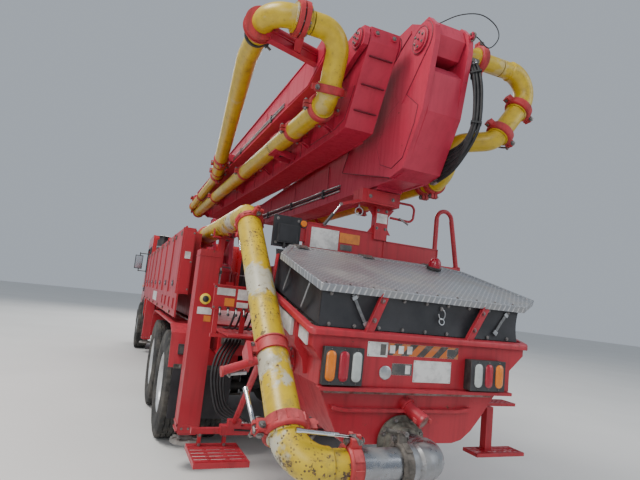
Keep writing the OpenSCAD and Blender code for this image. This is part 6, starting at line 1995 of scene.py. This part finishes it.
def cushion(name, lo, hi, axis):
    """Crowned seat pad: a rounded box with pulled-in sides and sewn channels."""
    (x0, y0, z0), (x1, y1, z1) = lo, hi
    c = Vector(((x0 + x1) / 2, (y0 + y1) / 2, (z0 + z1) / 2))
    h = Vector(((x1 - x0) / 2, (y1 - y0) / 2, (z1 - z0) / 2))
    b = Build()
    nu, nv = 36, 20
    vs, fs = [], []

    def se(t, e):
        return math.copysign(abs(t) ** e, t)
    for j in range(nv + 1):
        p = -math.pi / 2 + math.pi * j / nv
        for i in range(nu):
            a = 2 * math.pi * i / nu
            q = Vector((se(math.cos(p), 0.35) * se(math.cos(a), 0.30), se(math.cos(p), 0.35) * se(math.sin(a), 0.30), se(math.sin(p), 0.45)))
            ch = 1.0 - 0.05 * math.exp(-((abs(q.x) - 0.45) / 0.06) ** 2)
            if axis == "z":
                v = Vector((q.x * h.x, q.y * h.y, q.z * h.z * ch))
            else:
                v = Vector((q.x * h.x, q.z * h.y * ch, q.y * h.z))
            vs.append(V(c.x + v.x, c.y + v.y, c.z + v.z))
    for j in range(nv):
        for i in range(nu):
            k = (i + 1) % nu
            fs.append((j * nu + i, j * nu + k, (j + 1) * nu + k, (j + 1) * nu + i))
    b.add(vs, fs, "seat")
    o = b.make(name, "chassis", "dark_trim", smooth_angle=70)


def cab_details():
    b = Build()
    # rubber beads of windscreen, rear window and quarter windows
    rim(b, [(-1.0, windscreen(1.62, 0.003), 1.62), (1.0, windscreen(1.62, 0.003), 1.62), (1.0, windscreen(2.38, 0.003), 2.38), (-1.0, windscreen(2.38, 0.003), 2.38)], 0.013, "plastic")
    rim(b, [(-0.6, -9.147, 1.75), (0.6, -9.147, 1.75), (0.6, -9.147, 2.35), (-0.6, -9.147, 2.35)], 0.011, "plastic")
    for s in (-1, 1):
        x = s * 1.151
        rim(b, [(x, -9.64, 1.76), (x, -9.26, 1.76), (x, -9.26, 2.35), (x, -9.64, 2.35)], 0.010, "plastic")
    # visor over the windscreen, wipers, hand grips at the front corners
    b.prism([(windscreen(2.40, 0.0), 2.42), (windscreen(2.40, 0.09), 2.36), (windscreen(2.40, 0.097), 2.36), (windscreen(2.42, 0.002), 2.45)], -1.02, 1.02, "plastic")
    for x0, x1 in ((0.55, 0.02), (-0.25, -0.78)):
        p = V(x0, windscreen(1.58, 0.012), 1.575)
        q = V((x0 + x1) / 2 + 0.05, windscreen(1.86, 0.022), 1.86)
        b.cyl(p + Vector((0, 0.02, 0)), p - Vector((0, 0.015, 0)), 0.018, "plastic", 16)
        b.cyl(p, q, 0.008, "plastic", 10)
        b.strip(V(x0 - 0.02, windscreen(1.66, 0.013), 1.66), V(x1 + 0.12, windscreen(2.05, 0.013), 2.05), 0.016, 0.012, "rubber", up=(0, 1, 0))
    for s in (-1, 1):
        b.sweep(VV([(s * 1.085, windscreen(1.20, 0.0), 1.20), (s * 1.085, -11.030, 1.22), (s * 1.085, -11.030, 1.50), (s * 1.085, windscreen(1.52, 0.0), 1.52)]), 0.011, "plastic", 10)
    # roof: hatch, gutter beads, marker lamps, two horns
    b.box((-0.32, -10.30, 2.610), (0.32, -9.70, 2.632), "red_cab")
    b.box((-0.29, -10.27, 2.632), (0.29, -9.73, 2.640), "plastic")
    for s in (-1, 1):
        b.sweep(VV([(s * 1.146, -10.74, 2.606), (s * 1.146, -9.22, 2.606)]), 0.010, "red_cab", 8)
        b.lathe(V(s * 0.62, -9.95, 2.650), (0, -1, 0.02), [(0.020, 0.0), (0.022, 0.20), (0.034, 0.30), (0.052, 0.34), (0.048, 0.34), (0.030, 0.30)], "steel", 24)
        b.box((s * 0.62 - 0.02, -10.08, 2.609), (s * 0.62 + 0.02, -10.04, 2.635), "steel")
    for x in (-0.9, -0.3, 0.3, 0.9):
        b.lathe(V(x, -10.70, 2.608), (0, -0.2, 1), [(0.034, 0.0), (0.032, 0.008), (0.024, 0.022), (0.0001, 0.026)], "amber", 20)
    # pressed lines of the cab's skin, seams of the front panel and of the rear wall
    b.box((-1.150, -9.1505, 1.60), (1.150, -9.1455, 1.615), "red_cab")
    for x in (-0.8, 0.8):
        b.box((x - 0.03, -9.1505, 1.05), (x + 0.03, -9.1425, 2.50), "red_cab")
    for z in (1.462, 1.520):
        b.box((-1.12, windscreen(1.5, 0.004) if z > 1.5 else -10.994, z), (1.12, -10.985, z + 0.010), "red_cab")
    for s in (-1, 1):
        # wheel arch lip
        arc = [V(s * 1.152, -9.80 + 0.0, 0.0)] * 0
        for k in range(25):
            a = math.radians(8 + 164 * k / 24)
            arc.append((s * 1.150, FAY + 0.652 * math.cos(a), 0.525 + 0.652 * math.sin(a)))
        arc = [p for p in arc if p[2] > 0.66]
        b.sweep(VV(arc), 0.014, "plastic", 8)
        # steps of the cab's entry, side lamps, badge-free grab rails behind the doors
        x0, x1 = sorted((s * 1.020, s * 1.146))
        for z in (0.72, 0.90):
            b.box((x0, -10.92, z), (x1 + (0.006 if s > 0 else 0), -10.40, z + 0.018), "alu")
        b.cyl(V(s * 1.178, -9.68, 1.30), V(s * 1.178, -9.68, 2.20), 0.013, "plastic", 14)
        for z in (1.32, 2.18):
            b.cyl(V(s * 1.150, -9.68, z), V(s * 1.178, -9.68, z), 0.012, "plastic", 12)
        b.lathe(V(s * 1.150, -10.86, 1.42), (s, 0, 0), [(0.030, 0.0), (0.026, 0.014), (0.0001, 0.020)], "amber", 20)
    b.make("cab_trim", "chassis", "dark_trim", bevel=0.0, smooth_angle=40)

    for side, s in (("left", 1), ("right", -1)):
        d = Build()
        x = s * 1.1505
        rim(d, [(x, -10.720, 1.760), (x, -9.790, 1.760), (x, -9.790, 2.350), (x, -10.680, 2.350)], 0.011, "plastic")
        a, c = sorted((s * 1.1495, s * 1.1525))
        d.prism([(-10.770, 1.13), (-10.770, 1.66), (-9.750, 1.66), (-9.750, 1.28), (-9.870, 1.13)], a, c, "red_cab")
        # handle in a dark cup, lower trim bar
        a, c = sorted((s * 1.150, s * 1.1565))
        d.box((a, -9.93, 1.560), (c, -9.80, 1.625), "plastic")
        a, c = sorted((s * 1.156, s * 1.170))
        d.box((a, -9.92, 1.588), (c, -9.81, 1.608), "plastic")
        a, c = sorted((s * 1.150, s * 1.158))
        d.box((a, -10.76, 1.340), (c, -9.74, 1.372), "plastic")
        # inner panel with a pull
        a, c = sorted((s * 1.098, s * 1.110))
        d.prism([(-10.76, 1.12), (-10.76, 1.70), (-9.76, 1.70), (-9.76, 1.27), (-9.87, 1.12)], a, c, "plastic")
        a, c = sorted((s * 1.075, s * 1.098))
        d.box((a, -10.35, 1.50), (c, -10.05, 1.53), "seat")
        d.make("cab_door_%s_trim" % side, "door_%s" % side, "dark_trim", bevel=0.0, smooth_angle=40)
        g = Build()
        a, c = sorted((s * 1.127, s * 1.131))
        g.prism([(-10.722, 1.758), (-9.788, 1.758), (-9.788, 2.352), (-10.682, 2.352)], a, c, "glass")
        g.make("cab_door_%s_glass" % side, "door_%s" % side, "glass", smooth_angle=30)

    # headlamps, grille net, bumper trim, blank plate, towing eyes, mirrors' glasses
    c = Build()
    for s in (-1, 1):
        a, e = sorted((s * 0.752, s * 0.998))
        c.box((a, -11.020, 0.602), (e, -11.013, 0.718), "plastic")
        for xc in (s * 0.815, s * 0.930):
            c.lathe(V(xc, -11.020, 0.660), (0, -1, 0), [(0.050, -0.004), (0.052, 0.004), (0.047, 0.012), (0.044, 0.004), (0.030, -0.002), (0.0001, -0.004)], "rod", 32)
            c.lathe(V(xc, -11.026, 0.660), (0, -1, 0), [(0.046, 0.0), (0.040, 0.010), (0.0001, 0.016)], "white_lens", 32)
        c.box((min(s * 1.02, s * 1.14), -11.0495, 0.615), (max(s * 1.02, s * 1.14), -11.044, 0.705), "amber")
        c.cyl(V(s * 0.39, -11.049, 0.565), V(s * 0.39, -10.99, 0.565), 0.034, "steel", 24)
        c.lathe(V(s * 0.39, -11.049, 0.565), (0, -1, 0), [(0.026, 0.0), (0.026, -0.02), (0.0001, -0.02)], "plastic", 20)
        a, e = sorted((s * 1.262, s * 1.428))
        c.box((a, -10.881, 1.865), (e, -10.8785, 2.185), "rod")
        c.sweep(VV([(a, -10.8795, 1.865), (e, -10.8795, 1.865), (e, -10.8795, 2.185), (a, -10.8795, 2.185), (a, -10.8795, 1.865)]), 0.005, "plastic", 8)
    c.box((-1.19, -11.0495, 0.765), (1.19, -11.044, 0.795), "plastic")
    c.box((-1.19, -11.0495, 0.485), (1.19, -11.044, 0.505), "plastic")
    c.box((-0.26, -11.0495, 0.585), (0.26, -11.046, 0.700), "label")
    for x in (-0.6, -0.3, 0.3, 0.6):
        c.bolt(V(x, -11.044, 0.74), (0, -1, 0), 0.010, 0.005)
    for i in range(41):
        x = -0.64 + 0.032 * i
        c.box((x - 0.002, -10.972, 1.10), (x + 0.002, -10.966, 1.40), "plastic")
    c.box((-0.10, -10.9875, 1.395), (0.10, -10.983, 1.430), "alu")
    c.make("front_lamps_and_trim", "chassis", "dark_trim", bevel=0.0, smooth_angle=40)

    # interior: dash with a binnacle, console, wheel, pedals, seat frames; pads are pieces of their own
    i = Build()
    i.prism([(-10.940, 1.300), (-10.940, 1.560), (-10.900, 1.590), (-10.700, 1.588), (-10.640, 1.565), (-10.575, 1.480), (-10.565, 1.445), (-10.640, 1.300)], -1.075, 1.075, "plastic")
    i.prism([(-10.78, 1.585), (-10.74, 1.655), (-10.69, 1.655), (-10.655, 1.570)], 0.34, 0.80, "plastic")
    i.box((0.38, -10.672, 1.590), (0.76, -10.660, 1.635), "glass")
    for x in (-0.9, -0.5, 0.15, 0.95):
        i.box((x - 0.06, -10.622, 1.505), (x + 0.06, -10.600, 1.535), "black")
    i.box((-0.300, -10.520, 1.041), (0.300, -9.300, 1.400), "seat")
    i.box((-0.285, -10.500, 1.400), (0.285, -9.320, 1.420), "plastic")
    i.cyl(V(0.22, -10.20, 1.42), V(0.25, -10.24, 1.62), 0.010, "steel", 12)
    i.lathe(V(0.25, -10.24, 1.60), (0.15, -0.2, 1), [(0.012, 0.0), (0.026, 0.02), (0.026, 0.045), (0.0001, 0.06)], "plastic", 20)
    ax = Vector((0, -math.sin(math.radians(-25)), math.cos(math.radians(-25))))
    wc = V(0.56, -10.42, 1.64)
    u = Vector((1, 0, 0))
    w = ax.cross(u)
    ring = [wc + (u * math.cos(t) + w * math.sin(t)) * 0.21 for t in [2 * math.pi * k / 48 for k in range(49)]]
    i.sweep(ring, 0.0155, "plastic", 12, cap=False)
    for t in (math.radians(90), math.radians(210), math.radians(330)):
        i.strip(wc - ax * 0.01, wc + (u * math.cos(t) + w * math.sin(t)) * 0.205, 0.035, 0.012, "plastic", up=ax)
    i.lathe(wc - ax * 0.025, ax, [(0.052, 0.0), (0.056, 0.02), (0.045, 0.036), (0.0001, 0.042)], "plastic", 28)
    i.cyl(wc - ax * 0.125, wc - ax * 0.01, 0.024, "plastic", 20)
    for x in (0.42, 0.56, 0.70):
        i.strip(V(x, -10.66, 1.12), V(x, -10.62, 1.24), 0.05, 0.008, "black", up=(0, 1, 0))
        i.cyl(V(x, -10.645, 1.23), V(x, -10.68, 1.31), 0.008, "black", 10)
    for s in (-1, 1):
        for x in (0.345, 0.815):
            i.box((min(s * x - 0.012, s * x + 0.012), -10.08, 1.290), (max(s * x - 0.012, s * x + 0.012), -9.52, 1.330), "black")
        a, e = sorted((s * 0.42, s * 0.74))
        i.box((a, -10.050, 1.050), (e, -9.650, 1.075), "black")
        for k in range(7):
            g = 0.012 * (k % 2)
            i.box((a + g, -10.040 + g, 1.076 + 0.030 * k), (e - g, -9.660 - g, 1.104 + 0.030 * k), "rubber")
        i.box((a, -9.70, 1.290), (e, -9.64, 1.33), "black")
    o = i.make("cab_interior_detailed", "chassis", "dark_trim", bevel=0.0, smooth_angle=40)
    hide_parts("cab_interior")
    for side, s in (("left", 1), ("right", -1)):
        x0, x1 = sorted((s * 0.335, s * 0.825))
        cushion("seat_cushion_%s" % side, (x0, -10.095, 1.332), (x1, -9.650, 1.440), "z")
        cushion("seat_back_%s" % side, (x0, -9.638, 1.445), (x1, -9.505, 1.860), "y")
        cushion("seat_head_pad_%s" % side, (x0 + 0.12, -9.620, 1.866), (x1 - 0.12, -9.515, 2.018), "y")


FAY = sum((v.co.y for v in NODES["front_axle"].data.vertices)) / len(NODES["front_axle"].data.vertices) * 0.0 + (min((NODES["front_wheel_left"].matrix_world @ v.co).y for v in NODES["front_wheel_left"].data.vertices)
      + max((NODES["front_wheel_left"].matrix_world @ v.co).y for v in NODES["front_wheel_left"].data.vertices)) / 2 - DY
cab_details()


def turret_details():
    b = Build()
    ty = -8.0
    # slewing ring: bolts on the fixed flange and on the turning one
    for k in range(36):
        a = 2 * math.pi * k / 36
        b.bolt(V(0.405 * math.cos(a), ty + 0.405 * math.sin(a), 2.060), (0, 0, 1), 0.012, 0.014)
    b.lathe(V(0, ty, 1.985), (0, 0, 1), [(0.438, 0.0), (0.448, 0.004), (0.448, 0.024), (0.438, 0.028)], "cast", 72)
    # pivot bosses, welded edges and lightening plates of the fork
    pin_boss(b, 0.0200, -8.3, 2.9, 1, 0.078, "red_boom")
    pin_boss(b, -0.3700, -8.3, 2.9, -1, 0.078, "red_boom")
    F = [(-8.42, 2.060), (-7.64, 2.060), (-7.64, 2.200), (-8.06, 2.900), (-8.16, 3.060), (-8.44, 3.060), (-8.52, 2.900), (-8.48, 2.300)]
    for x in (0.015, -0.365):
        edge_strip(b, F, x - 0.004 if x > 0 else x - 0.016, x + 0.016 if x > 0 else x + 0.004, 0.012, "red_boom", lo=1, hi=7)
    for x, s in ((0.0155, 1), (-0.3655, -1)):
        b.prism([(-8.36, 2.16), (-7.86, 2.16), (-8.10, 2.62), (-8.34, 2.62)], x, x + s * 0.006, "red_boom")
        pin_boss(b, x, -8.15, 2.20, s, 0.045, "red_boom", flat=0.6)
    # swing gear motor hanging from the turret's rim over the pedestal's deck
    b.make("turret_details", "turret", "red_paint", bevel=0.0, smooth_angle=40)
    c = Build()
    for k in range(36):
        a = 2 * math.pi * (k + 0.5) / 36
        c.bolt(V(0.4705 * math.cos(a), ty + 0.4705 * math.sin(a), 1.930), (math.cos(a), math.sin(a), 0), 0.011, 0.012)
    c.lathe(V(0, ty, 1.900), (0, 0, 1), [(0.472, 0.0), (0.486, 0.004), (0.486, 0.052), (0.472, 0.056)], "red", 72)
    for a in (200, 340):
        d = Vector((math.cos(math.radians(a)), math.sin(math.radians(a)), 0))
        p = V(0, ty, 0) + d * 0.60
        c.cyl(Vector((p.x, p.y, 1.50)), Vector((p.x, p.y, 1.88)), 0.085, "red", 32)
        c.cyl(Vector((p.x, p.y, 1.88)), Vector((p.x, p.y, 1.93)), 0.110, "red", 32)
        c.cyl(Vector((p.x, p.y, 1.40)), Vector((p.x, p.y, 1.50)), 0.060, "cast", 24)
        c.obox(Vector((p.x, p.y, 1.90)) - d * 0.09, d * 0.05, Vector((-d.y, d.x, 0)) * 0.09, Vector((0, 0, 0.02)), "red")
        for k in range(6):
            t = math.pi * 2 * k / 6
            c.bolt(Vector((p.x + 0.095 * math.cos(t), p.y + 0.095 * math.sin(t), 1.93)), (0, 0, 1), 0.009, 0.009)
    # ladder rungs and hand-hold on the pedestal's left side
    for z in (1.30, 1.55, 1.80):
        c.sweep(VV([(0.44, -8.10, z), (0.60, -8.10, z), (0.60, -7.86, z), (0.44, -7.86, z)]), 0.011, "steel", 10)
    c.make("pedestal_details", "chassis", "red_paint", bevel=0.0, smooth_angle=40)


turret_details()


def underside():
    b = Build()
    # air tanks across the frame, with straps
    for y in (-6.25, -6.02):
        for x0, x1 in ((-0.34, 0.34),):
            b.lathe(V(x0, y, 0.83), (1, 0, 0), [(0.0001, 0.0), (0.06, 0.004), (0.088, 0.020), (0.095, 0.045), (0.095, x1 - x0 - 0.045), (0.088, x1 - x0 - 0.020), (0.06, x1 - x0 - 0.004), (0.0001, x1 - x0)], "black", 32)
            for x in (-0.18, 0.18):
                b.ring(V(x, y, 0.83), (1, 0, 0), 0.094, 0.099, 0.030, "steel", 32)
    # U-bolts and plates on the springs, brake chambers on the axles, joints of the driveline
    for s in (-1, 1):
        for y in (-4.10, -2.73, -3.415):
            x0, x1 = s * 0.422, s * 0.522
            zt = 0.70 if y > -3.0 or y < -3.9 else 0.765
            for dy in (-0.055, 0.055):
                b.sweep(VV([(x0, y + dy, zt - 0.26), (x0, y + dy, zt), (x1, y + dy, zt), (x1, y + dy, zt - 0.26)]), 0.010, "steel", 8)
            a, e = sorted((x0 - s * 0.02, x1 + s * 0.02))
            b.box((a, y - 0.085, zt - 0.275), (e, y + 0.085, zt - 0.255), "cast")
        for y in (-4.10, -2.73):
            p = V(s * 0.30, y + 0.16, 0.60)
            b.lathe(p, (0, 1, 0.15), [(0.0001, 0.0), (0.055, 0.006), (0.072, 0.020), (0.078, 0.055), (0.084, 0.058), (0.084, 0.070), (0.078, 0.073), (0.072, 0.150), (0.050, 0.172), (0.0001, 0.176)], "black", 28)
            b.cyl(V(s * 0.30, y + 0.05, 0.58), p, 0.012, "steel", 10)
            b.cyl(V(s * 0.36, y + 0.05, 0.50), V(s * 0.30, y + 0.05, 0.60), 0.018, "cast", 12)
    for y, z in ((-4.36, 0.560), (-8.32, 0.640), (-6.30, 0.585)):
        b.lathe(V(0.060 if y > -5 else (0.0 if y < -8 else 0.030), y - 0.05, z - 0.015), (0, 1, 0), [(0.045, 0.0), (0.080, 0.010), (0.080, 0.026), (0.060, 0.036), (0.060, 0.064), (0.080, 0.074), (0.080, 0.090), (0.045, 0.100)], "cast", 24)
    # bolts along the frame's webs, cable loom with clips
    for s in (-1, 1):
        for k in range(24):
            y = -10.5 + 0.40 * k
            for z in (0.76, 0.90):
                b.bolt(V(s * 0.430, y, z), (s, 0, 0), 0.009, 0.008)
        b.sweep(VV([(s * 0.330, -10.2, 0.935), (s * 0.330, -1.1, 0.935)]), 0.014, "hose", 8)
        for k in range(9):
            y = -9.8 + 1.05 * k
            b.box((min(s * 0.312, s * 0.350), y - 0.012, 0.915), (max(s * 0.312, s * 0.350), y + 0.012, 0.953), "plastic")
    # silencer and its pipe to the stack
    b.lathe(V(-0.62, -9.02, 0.72), (0, 1, 0), [(0.06, 0.0), (0.13, 0.03), (0.13, 0.55), (0.06, 0.58)], "cast", 32)
    b.sweep(spline(VV([(-0.62, -8.45, 0.72), (-0.66, -8.36, 0.74), (-0.80, -8.34, 0.92), (-0.955, -8.50, 1.18), (-0.960, -8.72, 1.36), (-0.960, -8.76, 1.45)]), 6), 0.05, "cast", 20)
    b.make("underside_details", "chassis", "black_metal", bevel=0.0, smooth_angle=40)
    # tanks: straps, filler caps, end seams
    c = Build()
    for s in (-1, 1):
        for y in (-6.62, -5.78):
            c.ring(V(s * 0.80, y, 0.70), (0, 1, 0), 0.2895, 0.294, 0.055, "steel", 64)
            c.bolt(V(s * 0.515, y, 0.74), (-s, 0, 0), 0.010, 0.010)
        for y in (-6.885, -5.515):
            c.ring(V(s * 0.80, y, 0.70), (0, 1, 0), 0.2885, 0.2935, 0.016, "alu", 64)
        c.lathe(V(s * 0.80, -6.20, 0.985), (0, 0, 1), [(0.055, 0.0), (0.055, 0.012), (0.062, 0.014), (0.062, 0.042), (0.054, 0.048), (0.0001, 0.048)], "cast", 28)
        for e in (-1, 1):
            y = -6.20 + e * 0.716
            c.lathe(V(s * 0.80, -6.20 + e * 0.700, 0.70), (0, e, 0), [(0.270, 0.0), (0.262, 0.006), (0.20, 0.012), (0.0001, 0.014)], "alu", 48)
    c.make("tank_details", "chassis", "alu_plate", bevel=0.0, smooth_angle=40)
    d = Build()
    # air cleaner: cap louvres and straps; exhaust: perforated shield
    for z in (1.80, 2.32):
        d.ring(V(0.96, -8.76, z), (0, 0, 1), 0.1295, 0.135, 0.030, "steel", 48)
    for k in range(24):
        a = 2 * math.pi * k / 24
        q = V(0.96 + 0.0905 * math.cos(a), -8.76 + 0.0905 * math.sin(a), 2.52)
        d.obox(q, Vector((math.cos(a), math.sin(a), 0)) * 0.003, Vector((-math.sin(a), math.cos(a), 0)) * 0.006, Vector((0, 0, 0.028)), "plastic")
    d.lathe(V(0.96, -8.76, 2.555), (0, 0, 1), [(0.118, 0.0), (0.118, 0.008), (0.08, 0.030), (0.0001, 0.036)], "plastic", 36)
    for z in (1.50, 1.90, 2.44):
        d.ring(V(-0.96, -8.76, z), (0, 0, 1), 0.1095, 0.114, 0.022, "steel", 48)
    for r in range(9):
        for k in range(20):
            a = 2 * math.pi * (k + 0.5 * (r % 2)) / 20
            q = V(-0.96 + 0.1098 * math.cos(a), -8.76 + 0.1098 * math.sin(a), 1.56 + 0.036 * r)
            d.obox(q, Vector((math.cos(a), math.sin(a), 0)) * 0.0008, Vector((-math.sin(a), math.cos(a), 0)) * 0.006, Vector((0, 0, 0.010)), "black")
    d.make("stack_details", "chassis", "cast_metal", bevel=0.0, smooth_angle=40)


underside()


def front_bumper_piece():
    """Pressed bumper with rolled edges, lamp recesses and the panel under the grille."""
    b = Build()
    sec = [(-10.995, 0.480), (-11.020, 0.480), (-11.040, 0.492), (-11.0475, 0.520), (-11.0475, 0.745), (-11.040, 0.775), (-11.018, 0.798), (-10.995, 0.800), (-10.995, 0.790), (-11.014, 0.788), (-11.032, 0.768), (-11.039, 0.742), (-11.039, 0.524), (-11.032, 0.500), (-11.014, 0.490), (-10.995, 0.490)]
    for x0, x1 in ((-1.195, -1.003), (-0.747, 0.747), (1.003, 1.195)):
        b.prism(sec, x0, x1, "bumper")
    lo = [(y, min(z, 0.597)) for y, z in sec if z < 0.6] + [(-11.0475, 0.597), (-11.039, 0.597)]
    for x0, x1 in ((-1.003, -0.747), (0.747, 1.003)):
        b.prism([(-10.995, 0.480), (-11.020, 0.480), (-11.040, 0.492), (-11.0475, 0.520), (-11.0475, 0.598), (-11.010, 0.598), (-11.010, 0.588), (-11.039, 0.588), (-11.039, 0.524), (-11.032, 0.500), (-11.014, 0.490), (-10.995, 0.490)], x0, x1, "bumper")
        b.prism([(-11.010, 0.722), (-11.0475, 0.722), (-11.0475, 0.745), (-11.040, 0.775), (-11.018, 0.798), (-10.995, 0.800), (-10.995, 0.790), (-11.014, 0.788), (-11.032, 0.768), (-11.039, 0.742), (-11.039, 0.732), (-11.010, 0.732)], x0, x1, "bumper")
        b.box((x0, -11.012, 0.588), (x1, -11.004, 0.732), "plastic")
    for x in (-1.197, 1.189):
        b.prism([(-10.995, 0.480), (-11.020, 0.480), (-11.040, 0.492), (-11.0475, 0.520), (-11.0475, 0.745), (-11.040, 0.775), (-11.018, 0.798), (-10.995, 0.800)], x, x + 0.008, "bumper")
    # brackets to the rails and the panel under the grille, with slots
    for s in (-1, 1):
        a, e = sorted((s * 0.355, s * 0.425))
        b.box((a, -10.996, 0.650), (e, -10.751, 0.790), "black")
    b.box((-0.700, -10.985, 0.800), (0.700, -10.975, 1.000), "plastic")
    for k in range(4):
        b.box((-0.60, -10.9905, 0.835 + 0.038 * k), (0.60, -10.985, 0.850 + 0.038 * k), "black")
    o = b.make("front_bumper_pressed", "chassis", "dark_trim", bevel=0.0, smooth_angle=38)
    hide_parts("front_bumper")


M["bumper"] = simple("bumper_grey_paint", (0.045, 0.046, 0.048), (0.085, 0.086, 0.088), 0.48, scale=6.0, bump=0.05)
front_bumper_piece()

free_hose("loose_cable_knuckle", "section_2", LOOSE_CABLE, 0.0042, n=8)
for name, pts, r in HANGING:
    free_hose("outrigger_hose_" + name, "chassis", pts, r)
